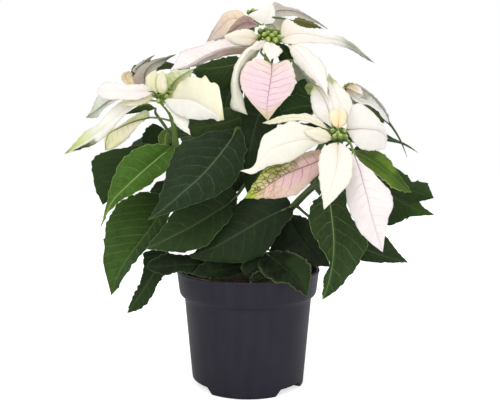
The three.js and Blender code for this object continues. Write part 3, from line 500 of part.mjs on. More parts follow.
  ['leaf_rim_mid', 'twig_low', 'leaf', -1, 4, 1,
    [[3.6,-14,111.3], [-6.1,-27.9,111.3], [-16.3,-39.3,111.3], [-27,-48.1,111.3], [-37.5,-54.3,111.3], [-46.4,-58,110.7]],
    [[-6.1,-26.2,119.8], [-18.9,-37.2,120.9], [-30.4,-46.2,119.9], [-40.1,-53,117]],
    [[-4.4,-29.5,106.7], [-15.4,-41.5,104.4], [-28.6,-50.1,105.2], [-39.1,-55.7,107.4]],
    [[7.6,17.2,120.8], [14.5,2,117], [11,-9,117], [3.6,-14,111.3]], 1.2],
  ['bract_right_inner_cream', 'flower_right', 'bract_cream', -1, 4, 1,
    [[64.9,-92,222.4], [58.6,-100,223.5], [52.7,-106,225], [47.1,-110,226.5], [41.1,-112,227.5]],
    [[58.7,-99,228.4], [52,-105,230.2], [45.7,-109.4,229.3]],
    [[58,-99.1,219.2], [51.4,-105.1,220.6], [45,-109.3,223.9]],
    [[69.9,-86,222], [67.4,-89,221.2], [64.9,-92,222.4]], 0.9],
  ['bract_top_front_tiny', 'flower_top', 'bract_cream', -1, 4, 1,
    [[16.3,-20,305.3], [11.3,-32.9,301.2], [6.6,-42.2,297.6], [0.8,-48,294.4]],
    [[11.8,-32.1,304], [5.4,-41.4,300.3]],
    [[12.4,-31.8,298.1], [6.6,-41.3,294.6]],
    [[17.5,-8,305.2], [16.9,-14,303.8], [16.3,-20,305.3]], 0.9],
  ['bract_left_mid_cream', 'flower_left', 'bract_cream', -1, 4, 1,
    [[-80.3,-20,259], [-86.5,-30.8,257.2], [-93,-38,255.1], [-99.9,-41.8,252.8], [-107.4,-42,250.8]],
    [[-86.6,-30,261], [-93.1,-37.1,259.7], [-100.8,-41,256.6]],
    [[-85.5,-32.6,252.4], [-91.9,-40.2,249.6], [-99.7,-43.2,249.1]],
    [[-76.9,-20,257.7], [-78.6,-20,257.9], [-80.3,-20,259]], 0.9],
  ['leaf_back_2', 'twig_back_left', 'leaf', 1, 5, 1,
    [[-38.7,79.7,246.6], [-43.8,92.3,248.2], [-48.9,105,247.7], [-53.9,117.4,244.7], [-58.6,129.1,239.2], [-62.9,139.5,231.4], [-66.4,148.2,221.3], [-69,154.7,209.5]],
    [[-62.9,87.8,252.3], [-76.6,99.4,252.6], [-83.3,112.4,248.8], [-84,125.3,241.6], [-81.2,137,232.2], [-75.9,146.9,221.2]],
    [[-27,102.3,252.3], [-25.1,120.2,252.6], [-29.3,134.2,248.8], [-37.8,144,241.6], [-48,150.4,232.2], [-58.6,153.9,221.2]],
    [[-29.7,57.3,236.8], [-34.2,68.5,243.2], [-38.7,79.7,246.6]], 1.5],
  ['leaf_side_right', 'twig_far_right', 'leaf', -1, 4, 1,
    [[96.2,16,196.5], [99.5,6.8,187.8], [102,-0.8,178.3], [103.9,-6.8,168.9], [105.1,-11.2,159.5], [105.6,-14,149.1]],
    [[88,9.2,187.7], [86.3,2.5,175.3], [89.2,-3.6,164.1], [96.6,-9.2,154.8]],
    [[112.7,9.4,187.7], [119.9,2.7,176.2], [119.8,-3.7,165], [113.5,-9.4,155.7]],
    [[97.6,23.7,200.5], [96.9,19.8,201.5], [96.2,16,196.5]], 1.3],
  ['leaf_side_rear', 'twig_far_right', 'leaf', 1, 4, 1,
    [[98.4,44,204], [106.5,52.2,206.1], [113.5,59,206.9], [120.4,64.6,205.8], [127.2,69,202.2], [132.9,72,196]],
    [[105.7,54.5,213.9], [113.8,61.8,216.2], [120.7,66.9,213.2], [128.4,70.6,207.6]],
    [[106.3,50.5,197.9], [113.2,56.6,194.7], [120.1,62,192.5], [127,67,192.2]],
    [[78.1,45.6,204.7], [88.3,44.8,206.3], [98.4,44,204]], 1.2],
  ['leaf_left_wedge', 'leaf_left_upper_dark', 'olive', -1, 4, 1,
    [[-80.5,-13,248.1], [-86.3,-15.1,249], [-93,-17,248.1], [-99.8,-18.6,245.8], [-106.5,-20,242.9]],
    [[-86.4,-14.5,252.3], [-93.1,-16.3,251.4], [-99.8,-18.2,247.7]],
    [[-86.5,-14.5,245.8], [-93.2,-16.3,244.8], [-99.9,-18.2,243.7]],
    [[-66.5,-8,220.7], [-73.8,-9,233.4], [-81.3,-11,244.3], [-80.5,-13,248.1]], 1.8],
  ['leaf_rear_green', 'flower_rear', 'leaf_bright', 1, 4, 1,
    [[103.4,70,266.7], [112.8,72.1,258.4], [122.1,73,252.5], [130.1,72.6,245.5], [136.6,71,236.6]],
    [[113.9,72.6,260.6], [124.2,73.9,256.5], [133.3,73.4,247.7]],
    [[112,72.8,255.4], [120.3,73.9,248.3], [129,73.7,240.5]],
    null, 1.3],
];

// ---- helpers --------------------------------------------------------------------------------------
const wasm = await Module();
wasm.setup();

const v3 = (p) => new THREE.Vector3(p[0], p[1], p[2]);

// uniform Catmull-Rom curve through the points, t from 0 to 1
function curveAt(points, t) {
  const n = points.length;
  const x = Math.min(Math.max(t, 0), 1) * (n - 1);
  const i = Math.min(Math.floor(x), n - 2);
  const u = x - i;
  const p1 = points[i];
  const p2 = points[i + 1];
  const p0 = i > 0 ? points[i - 1] : p1.clone().multiplyScalar(2).sub(p2);
  const p3 = i + 2 < n ? points[i + 2] : p2.clone().multiplyScalar(2).sub(p1);
  const out = new THREE.Vector3();
  for (const k of ['x', 'y', 'z']) {
    out[k] = 0.5 * (2 * p1[k] + (p2[k] - p0[k]) * u + (2 * p0[k] - 5 * p1[k] + 4 * p2[k] - p3[k]) * u * u
      + (3 * p1[k] - p0[k] - 3 * p2[k] + p3[k]) * u * u * u);
  }
  return out;
}

function geometryFrom(points, triangles) {
  const g = new THREE.BufferGeometry();
  g.setAttribute('position', new THREE.Float32BufferAttribute(points.flatMap((p) => [p.x, p.y, p.z]), 3));
  g.setIndex(triangles.flat());
  return g;
}

function signedVolume(g) {
  const p = g.getAttribute('position');
  const ix = g.getIndex();
  let v = 0;
  const a = new THREE.Vector3(); const b = new THREE.Vector3(); const c = new THREE.Vector3();
  for (let i = 0; i < ix.count; i += 3) {
    a.fromBufferAttribute(p, ix.getX(i)); b.fromBufferAttribute(p, ix.getX(i + 1)); c.fromBufferAttribute(p, ix.getX(i + 2));
    v += a.dot(b.cross(c)) / 6;
  }
  return v;
}

// closed mesh -> solid, turned so that its faces point out
function solid(geometry) {
  let g = geometry.clone();
  g.deleteAttribute('normal');
  g.deleteAttribute('uv');
  g = BufferGeometryUtils.mergeVertices(g, 1e-4);
  if (signedVolume(g) < 0) {
    const ix = g.getIndex();
    for (let i = 0; i < ix.count; i += 3) { const t = ix.getX(i + 1); ix.setX(i + 1, ix.getX(i + 2)); ix.setX(i + 2, t); }
  }
  return new wasm.Manifold(new wasm.Mesh({
    numProp: 3,
    vertProperties: new Float32Array(g.getAttribute('position').array),
    triVerts: new Uint32Array(g.getIndex().array),
  }));
}

// solid -> geometry of its largest connected piece; triangles are connected through shared edges
function geometryOf(body) {
  const m = body.getMesh();
  let g = new THREE.BufferGeometry();
  g.setAttribute('position', new THREE.Float32BufferAttribute(Float32Array.from(m.vertProperties), 3));
  g.setIndex(Array.from(m.triVerts));
  g = BufferGeometryUtils.mergeVertices(g, 1e-3);
  const all = Array.from(g.getIndex().array);
  const kept = [];
  for (let i = 0; i < all.length; i += 3) {
    const [a, b, c] = [all[i], all[i + 1], all[i + 2]];
    if (a !== b && b !== c && c !== a) kept.push(a, b, c);
  }
  g.setIndex(kept);
  const ix = g.getIndex();
  const count = ix.count / 3;
  const root = Array.from({ length: count }, (_, i) => i);
  const find = (i) => { while (root[i] !== i) { root[i] = root[root[i]]; i = root[i]; } return i; };
  const edges = new Map();
  for (let t = 0; t < count; t++) {
    for (let k = 0; k < 3; k++) {
      const a = ix.getX(3 * t + k); const b = ix.getX(3 * t + ((k + 1) % 3));
      const key = `${Math.min(a, b)},${Math.max(a, b)}`;
      if (!edges.has(key)) edges.set(key, []);
      edges.get(key).push(t);
    }
  }
  for (const pair of edges.values()) if (pair.length === 2) root[find(pair[0])] = find(pair[1]);
  const groups = new Map();
  for (let t = 0; t < count; t++) {
    const k = find(t);
    if (!groups.has(k)) groups.set(k, []);
    groups.get(k).push(ix.getX(3 * t), ix.getX(3 * t + 1), ix.getX(3 * t + 2));
  }
  let best = null; let bestVolume = -1;
  for (const list of groups.values()) {
    const part = new THREE.BufferGeometry();
    part.setAttribute('position', g.getAttribute('position'));
    part.setIndex(list);
    const v = signedVolume(part);
    part.setIndex(list);
    if (v > bestVolume) { bestVolume = v; best = part; }
  }
  const out = best.toNonIndexed();
  const merged = BufferGeometryUtils.mergeVertices(out, 1e-5);
  merged.computeVertexNormals();
  return merged;
}

// round rod along a curve, closed at both ends; grow makes it larger all round
function rod(points, radii, sides, steps, grow = 0) {
  const pts = points.map(v3);
  const centres = [];
  for (let i = 0; i <= steps; i++) centres.push(curveAt(pts, i / steps));
  if (grow > 0) {
    centres[0].add(centres[0].clone().sub(centres[1]).setLength(grow));
    centres[steps].add(centres[steps].clone().sub(centres[steps - 1]).setLength(grow));
  }
  const ring = [];
  const tris = [];
  let side = null;
  for (let i = 0; i <= steps; i++) {
    const dir = centres[Math.min(i + 1, steps)].clone().sub(centres[Math.max(i - 1, 0)]).normalize();
    if (!side) side = Math.abs(dir.z) > 0.9 ? new THREE.Vector3(1, 0, 0) : new THREE.Vector3(0, 0, 1);
    side.addScaledVector(dir, -side.dot(dir)).normalize();
    const other = dir.clone().cross(side);
    const f = (i / steps) * (radii.length - 1);
    const k = Math.min(Math.floor(f), radii.length - 2);
    const r = radii.length > 1 ? radii[k] + (radii[k + 1] - radii[k]) * (f - k) : radii[0];
    for (let j = 0; j < sides; j++) {
      const a = (2 * Math.PI * j) / sides;
      ring.push(centres[i].clone().addScaledVector(side, Math.cos(a) * (r + grow)).addScaledVector(other, Math.sin(a) * (r + grow)));
    }
  }
  for (let i = 0; i < steps; i++) {
    for (let j = 0; j < sides; j++) {
      const a = i * sides + j; const b = i * sides + ((j + 1) % sides);
      tris.push([a, b, b + sides], [a, b + sides, a + sides]);
    }
  }
  for (let j = 1; j < sides - 1; j++) {
    tris.push([0, j + 1, j]);
    const o = steps * sides;
    tris.push([o, o + j, o + j + 1]);
  }
  return solid(geometryFrom(ring, tris));
}

function ball(centre, radius, around, along) {
  const g = new THREE.SphereGeometry(radius, around, along);
  g.rotateX(Math.PI / 2);
  g.translate(centre[0], centre[1], centre[2]);
  return solid(g);
}

// a cyathium: a short stalk that swells into a small bud, as one rod of changing radius
function bud(from, centre, radius, grow = 0) {
  const a = v3(from); const c = v3(centre);
  const dir = c.clone().sub(a).normalize();
  const at = [a, c.clone().addScaledVector(dir, -radius), c.clone(), c.clone().addScaledVector(dir, radius)];
  return rod(at.map((p) => [p.x, p.y, p.z]), [0.8, 1.1, radius, 0.9], 4, 3, grow);
}

// thin curved blade; rows run from base to tip, columns from margin to margin
function blade(b, grow = 0) {
  const [, , , side, rows, cols, mid, left, right] = b;
  const M = mid.map(v3);
  const ends = (list) => [M[0], ...list.map(v3), M[M.length - 1]];
  const A = ends(left);
  const B = ends(right);
  const half = BLADE_THICKNESS / 2 + grow;
  const pts = [];
  const index = [];
  const tip = curveAt(M, 1);
  const base = curveAt(M, 0);
  if (grow > 0) {
    tip.add(tip.clone().sub(curveAt(M, 0.95)).setLength(grow));
    base.add(base.clone().sub(curveAt(M, 0.05)).setLength(grow));
  }
  pts.push(base);
  for (let i = 1; i < rows - 1; i++) {
    const t = i / (rows - 1);
    const m = curveAt(M, t); const a = curveAt(A, t); const c = curveAt(B, t);
    const dir = curveAt(M, Math.min(t + 0.02, 1)).sub(curveAt(M, Math.max(t - 0.02, 0)));
    const normal = dir.cross(a.clone().sub(c)).normalize().multiplyScalar(side);
    index[i] = pts.length;
    for (let j = -cols; j <= cols; j++) {
      const s = Math.abs(j) / cols;
      const e = j < 0 ? c.clone() : a.clone();
      if (grow > 0) e.add(e.clone().sub(m).setLength(grow));
      const width = e.distanceTo(m);
      pts.push(m.clone().lerp(e, s).addScaledVector(normal, 0.06 * width * 4 * s * (1 - s)));
    }
  }
  const last = pts.length;
  pts.push(tip);
  const per = 2 * cols + 1;
  const top = [];
  for (let j = 0; j < per - 1; j++) {
    top.push([0, index[1] + j, index[1] + j + 1]);
    top.push([last, index[rows - 2] + j + 1, index[rows - 2] + j]);
  }
  for (let i = 1; i < rows - 2; i++) {
    for (let j = 0; j < per - 1; j++) {
      const a = index[i] + j; const c = index[i + 1] + j;
      if ((j < cols)) top.push([a, c, a + 1], [a + 1, c, c + 1]);
      else top.push([a, c, c + 1], [a, c + 1, a + 1]);
    }
  }
  const normals = pts.map(() => new THREE.Vector3());
  for (const [a, b2, c] of top) {
    const n = pts[b2].clone().sub(pts[a]).cross(pts[c].clone().sub(pts[a]));
    normals[a].add(n); normals[b2].add(n); normals[c].add(n);
  }
  const all = [];
  pts.forEach((p, i) => all.push(p.clone().addScaledVector(normals[i].normalize(), half)));
  pts.forEach((p, i) => all.push(p.clone().addScaledVector(normals[i], -half)));
  const n = pts.length;
  const tris = top.map((t) => t.slice());
  for (const [a, b2, c] of top) tris.push([a + n, c + n, b2 + n]);
  const edge = new Set(top.flatMap(([a, b2, c]) => [`${a},${b2}`, `${b2},${c}`, `${c},${a}`]));
  for (const k of edge) {
    const [a, b2] = k.split(',').map(Number);
    if (!edge.has(`${b2},${a}`)) tris.push([b2, a, a + n], [b2, a + n, b2 + n]);
  }
  return solid(geometryFrom(all, tris));
}

// the stalk runs a little way on under the midrib
function stalk(b, grow = 0) {
  const mid = b[6].map(v3);
  const inside = curveAt(mid, 0.09);
  const points = [...b[9], [inside.x, inside.y, inside.z]];
  return rod(points, [b[10]], STALK_SIDES, Math.max(2, points.length - 1), grow);
}

const lathe = (profile, segments) => new THREE.LatheGeometry(profile.map(([r, z]) => new THREE.Vector2(r, z)), segments).rotateX(Math.PI / 2);

// ---- pot ------------------------------------------------------------------------------------------
const bodyInner = BODY_TOP_RADIUS - WALL;
const bandInner = RIM_RADIUS - 2.4;
const INNER_WALL = [[BASE_RADIUS - WALL + 0.5, FOOT_HEIGHT + WALL], [bodyInner, BAND_BOTTOM - 1.5], [BAND_LOW_RADIUS - WALL, BAND_BOTTOM + 3.4], [bandInner, POT_HEIGHT]];
function potSolid() {
  const profile = [
    [0, FOOT_HEIGHT], [FOOT_RING_INNER, FOOT_HEIGHT], [FOOT_RING_INNER + 0.8, 0], [BASE_RADIUS, 0], [BODY_TOP_RADIUS, BAND_BOTTOM - 1.2], [BAND_LOW_RADIUS - 2.2, BAND_BOTTOM],
    [BAND_LOW_RADIUS, BAND_BOTTOM + 2.8], [RIM_RADIUS - 0.6, POT_HEIGHT - 2.2],
    [RIM_RADIUS, POT_HEIGHT - 1.4], [RIM_RADIUS, POT_HEIGHT], [bandInner, POT_HEIGHT],
    [BAND_LOW_RADIUS - WALL, BAND_BOTTOM + 3.4], [bodyInner, BAND_BOTTOM - 1.5],
    [BASE_RADIUS - WALL + 0.5, FOOT_HEIGHT + WALL], [0, FOOT_HEIGHT + WALL],
  ];
  let pot = solid(lathe(profile, POT_SEGMENTS));
  // notches between the feet
  for (let k = 0; k < FEET.length; k++) {
    const from = FEET[k][1];
    let to = FEET[(k + 1) % FEET.length][0];
    if (to < from) to += 360;
    const shape = new THREE.Shape();
    const at = (deg, r) => { const a = THREE.MathUtils.degToRad(deg - 90); return [r * Math.cos(a), r * Math.sin(a)]; };
    const steps = Math.max(2, Math.round((to - from) / 12));
    for (let i = 0; i <= steps; i++) {
      const [x, y] = at(from + ((to - from) * i) / steps, 70);
      if (i === 0) shape.moveTo(x, y); else shape.lineTo(x, y);
    }
    for (let i = steps; i >= 0; i--) shape.lineTo(...at(from + ((to - from) * i) / steps, 40));
    const wedge = new THREE.ExtrudeGeometry(shape, { depth: FOOT_HEIGHT + 1, bevelEnabled: false });
    wedge.translate(0, 0, -1);
    pot = pot.subtract(solid(wedge));
  }
  // drain slots
  for (let k = 0; k < SLOT_COUNT; k++) {
    const slot = new THREE.BoxGeometry(SLOT_LENGTH, SLOT_WIDTH, 6);
    slot.translate(SLOT_RADIUS, 0, FOOT_HEIGHT + WALL / 2);
    slot.rotateZ((2 * Math.PI * (k + 0.5)) / SLOT_COUNT);
    pot = pot.subtract(solid(slot));
  }
  return pot;
}
// room that nothing else may enter: the pot's wall with its clearance
function potKeep() {
  const g = GAP;
  const profile = [
    [0, -1], [RIM_RADIUS, -1], [BODY_TOP_RADIUS + g, BAND_BOTTOM - 1.5 - g], [BAND_LOW_RADIUS + g, BAND_BOTTOM - g], [RIM_RADIUS + g, POT_HEIGHT - 3],
    [RIM_RADIUS + g, POT_HEIGHT + g], [bandInner - g, POT_HEIGHT + g], [BAND_LOW_RADIUS - WALL - g, BAND_BOTTOM + 3.4],
    [bodyInner - g, BAND_BOTTOM - 1.5], [BASE_RADIUS - WALL + 0.2, FOOT_HEIGHT + WALL + g], [0, FOOT_HEIGHT + WALL + g],
  ];
  return solid(lathe(profile, POT_SEGMENTS));
}

// ---- soil -----------------------------------------------------------------------------------------
function soilProfile(grow) {
  const inset = 0.4 - grow;
  const top = SOIL_TOP + grow;
  return [
    [0, INNER_WALL[0][1] + 0.4 - grow], [INNER_WALL[0][0] - inset, INNER_WALL[0][1] + 0.4 - grow],
    [INNER_WALL[1][0] - inset, INNER_WALL[1][1]], [INNER_WALL[2][0] - inset, INNER_WALL[2][1]],
    [INNER_WALL[2][0] + 0.4 - inset, top - 1.2], [INNER_WALL[2][0] - 0.8, top],
    [32, top + 0.6 * SOIL_MOUND], [0, top + SOIL_MOUND],
  ];
}

// ---- assemble -------------------------------------------------------------------------------------
// Pieces are made in order, and each one is cut back to leave GAP to those before it.
const order = [];
const pieces = new Map();
function piece(name, look) {
  if (!pieces.has(name)) { pieces.set(name, { name, look, body: null, keep: null }); order.push(name); }
  return pieces.get(name);
}
function addTo(p, body, keep) {
  p.body = p.body ? p.body.add(body) : body;
  p.keep = p.keep ? p.keep.add(keep) : keep;
}

const pot = piece('pot', 'pot');
pot.body = potSolid();
pot.keep = potKeep();

for (const [name, points, radii, steps] of STEMS) {
  addTo(piece(name, 'stem'), rod(points, radii, STEM_SIDES, steps), rod(points, radii, STEM_SIDES, steps, GAP));
}
for (const [node, centre, radius, small, cyathia] of HEADS) {
  const p = piece(node, 'cyathia');
  addTo(p, ball(centre, radius, 7, 5), ball(centre, radius + GAP, 7, 5));
  for (const c of cyathia) {
    addTo(p, bud(centre, c, small), bud(centre, c, small, GAP));
  }
}
for (const [node, points, radii] of SHOOTS) {
  addTo(piece(node, 'leaf'), rod(points, radii, 5, points.length - 1), rod(points, radii, 5, points.length - 1, GAP));
}
for (const b of BLADES) {
  const p = piece(b[1], b[2]);
  addTo(p, blade(b), blade(b, GAP));
  if (b[9]) addTo(p, stalk(b), stalk(b, GAP));
}

// soil fills the pot round the buried stems
const soil = piece('soil', 'soil');
soil.body = solid(lathe(soilProfile(0), POT_SEGMENTS));
soil.keep = solid(lathe(soilProfile(GAP), POT_SEGMENTS));

function boxesMeet(a, b) {
  for (let k = 0; k < 3; k++) if (a.min[k] > b.max[k] || b.min[k] > a.max[k]) return false;
  return true;
}

const group = new THREE.Group();
// soil gives way to the stems, every leaf gives way to the soil
const sequence = ['pot', ...order.filter((n) => n.startsWith('stem_')), 'soil', ...order.filter((n) => n !== 'pot' && n !== 'soil' && !n.startsWith('stem_'))];
const buried = ['twig_low'];
const done = [];
for (const name of sequence) {
  const p = pieces.get(name);
  let body = p.body;
  const box = body.boundingBox();
  const earlier = name === 'soil' ? [...done, ...buried] : done;
  for (const other of earlier) {
    if (buried.includes(name) && other === 'soil') continue;
    const o = pieces.get(other);
    if (boxesMeet(box, o.keep.boundingBox())) body = body.subtract(o.keep);
  }
  const geometry = geometryOf(body);
  const [colour, roughness] = LOOKS[p.look];
  const mesh = new THREE.Mesh(geometry, new THREE.MeshStandardMaterial({ color: colour, roughness, metalness: 0, name }));
  mesh.name = name;
  group.add(mesh);
  done.push(name);
}

export default group;
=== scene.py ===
import bpy
import math
import zlib
import numpy as np
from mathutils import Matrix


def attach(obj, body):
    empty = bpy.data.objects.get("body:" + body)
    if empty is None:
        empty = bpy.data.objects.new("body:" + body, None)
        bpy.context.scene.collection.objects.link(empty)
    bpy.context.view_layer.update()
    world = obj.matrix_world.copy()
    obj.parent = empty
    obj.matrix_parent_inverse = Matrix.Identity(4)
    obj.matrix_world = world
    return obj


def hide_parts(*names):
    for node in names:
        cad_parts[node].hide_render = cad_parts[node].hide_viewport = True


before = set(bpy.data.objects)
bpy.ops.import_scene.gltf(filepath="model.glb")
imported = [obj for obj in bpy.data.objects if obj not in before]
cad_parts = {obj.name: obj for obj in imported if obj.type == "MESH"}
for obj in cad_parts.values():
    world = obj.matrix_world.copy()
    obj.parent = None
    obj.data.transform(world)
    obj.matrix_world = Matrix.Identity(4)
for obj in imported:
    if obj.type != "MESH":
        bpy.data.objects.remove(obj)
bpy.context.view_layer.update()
MM = 0.001

# ---------------------------------------------------------------------------------------------
# The plant's own numbers, in millimetres, the same as those the solids were made from.
# ---------------------------------------------------------------------------------------------
POT_HEIGHT = 104.3
RIM_RADIUS = 65.2
BAND_LOW_RADIUS = 62.9
BAND_BOTTOM = 80.5
BODY_TOP_RADIUS = 57.9
BASE_RADIUS = 50.9
WALL = 1.6
FOOT_HEIGHT = 5.5
SOIL_TOP = 91.8
SOIL_MOUND = 2.2

# name, points, radii
STEMS = [
    ('stem_main', [(0.6,4,72), (0,4,92.9), (0.9,6,108.4), (1.8,6,124.3), (3.7,6,142.8), (6.4,5,166), (9.1,4,193.4), (11.7,3,220.6), (14.3,1,251.8), (15.9,-3,280.6), (17.3,-7.5,302.6)], [5.6, 5.2, 4.9, 4.4, 4, 3.6, 3.3, 3, 2.8, 2.6, 2.4]),
    ('stem_left', [(1.8,3,126.6), (-9.1,-2,137.5), (-23.4,-5,153.4), (-38.4,-8,170.8), (-51.4,-11,188.9), (-60.6,-15,205.8), (-63.3,-17,219), (-64.3,-19,233.7), (-67.5,-20,244.9), (-75.5,-20,255.8)], [3.6, 3.5, 3.4, 3.3, 3.2, 3.1, 3, 2.8, 2.6, 2.9]),
    ('stem_right', [(3.6,0,131.7), (17.8,-14,143.2), (33.5,-32,159), (47.6,-47,175.7), (58.7,-60,189), (67.6,-72,204.5), (71.2,-80,215.7), (70.2,-84.4,220.3)], [3.6, 3.4, 3.2, 3, 2.9, 2.8, 2.6, 2.4]),
    ('stem_rear', [(6.5,12,144.8), (19,28,152.4), (40.7,44,172), (62.9,56,200.6), (81,62,230), (93.1,66,251.7), (97.6,67.8,267.1)], [3.4, 3.2, 3, 2.9, 2.8, 2.6, 2.4]),
    ('stem_back', [(4.6,12,152.3), (3.8,28,167.6), (0,44,201.1), (-2,56,239.7), (0,64,279), (3,69,313.5), (4.8,71.8,338.4)], [3.4, 3.2, 3, 2.9, 2.8, 2.6, 2.4]),
]
# node, points, radii
SHOOTS = [
    ('twig_inner', [(9.6,9,187.7), (12.8,11,204.1), (16.5,12,222.3), (19.2,13,242.4), (20.5,12,264), (20.7,9,288.8)], [2.2, 2.1, 2, 1.9, 1.7, 1.5]),
    ('twig_low', [(9,13,74), (9,14,92), (8,16,112), (7,19,134)], [2.4, 2.3, 2.1, 1.8]),
    ('twig_far_right', [(64.9,56,200.6), (75.7,48,204.8), (87.7,36,204.2), (98.9,22,200), (105,13,196.7)], [1.9, 1.8, 1.7, 1.6, 1.5]),
    ('twig_back_left', [(1.7,37,186.3), (-15.3,43,201.3), (-25.3,54,224.3), (-34.3,61,250.3), (-42.3,63,278.3)], [2.4, 2.3, 2.1, 1.9, 1.7]),
    ('twig_back_right', [(23.3,31.2,156.3), (20.3,48.2,169.3), (26.3,62.2,192.3), (35.3,73.2,218.3), (41.3,79.2,244.3)], [2.4, 2.3, 2.1, 1.9, 1.7]),
]
# node, receptacle centre, receptacle radius, cyathium radius, cyathia centres
HEADS = [
    ('flower_top', (17.5,-8,305.2), 3.2, 2.75, [(9.6,-9,310.2), (14.3,-13,310.9), (20.3,-14,309.9), (26.5,-11,309.1), (11,-4,315.7), (15.9,-1,317.4), (20.7,-3,316.4), (25.9,-4,315.7), (29,-5,312.7), (17.4,-9,312.8), (23.1,-9,312.3), (17.2,-19,306.3), (23.2,-19,305.6)]),
    ('flower_back', (4.9,72,340.5), 2.8, 2.40, [(0.8,69,345.1), (4.9,68,346.3), (8.9,70,345.5), (3,75,345.8), (6.9,76,346)]),
    ('flower_right', (69.9,-86,222), 3, 2.70, [(65.5,-88,227), (69.9,-85,228.5), (73.5,-87,226.9), (66.4,-92,223.1), (70.1,-93,223.4), (74.1,-89,222.8), (68.7,-92,225.4), (72.2,-86,225.8)]),
    ('flower_left', (-76.9,-20,257.7), 3, 2.35, [(-72.3,-22,261.2), (-68.7,-19,264.6), (-66.5,-21,260.3), (-70.4,-24,257.4), (-73.7,-16,265.4), (-76.8,-24,254.1), (-68.6,-20,261.2)]),
    ('flower_rear', (98.1,68,269), 2.6, 2.10, [(96.7,67,273.3), (94.5,65,270.5), (100,68,274.6), (103.4,71,275)]),
]
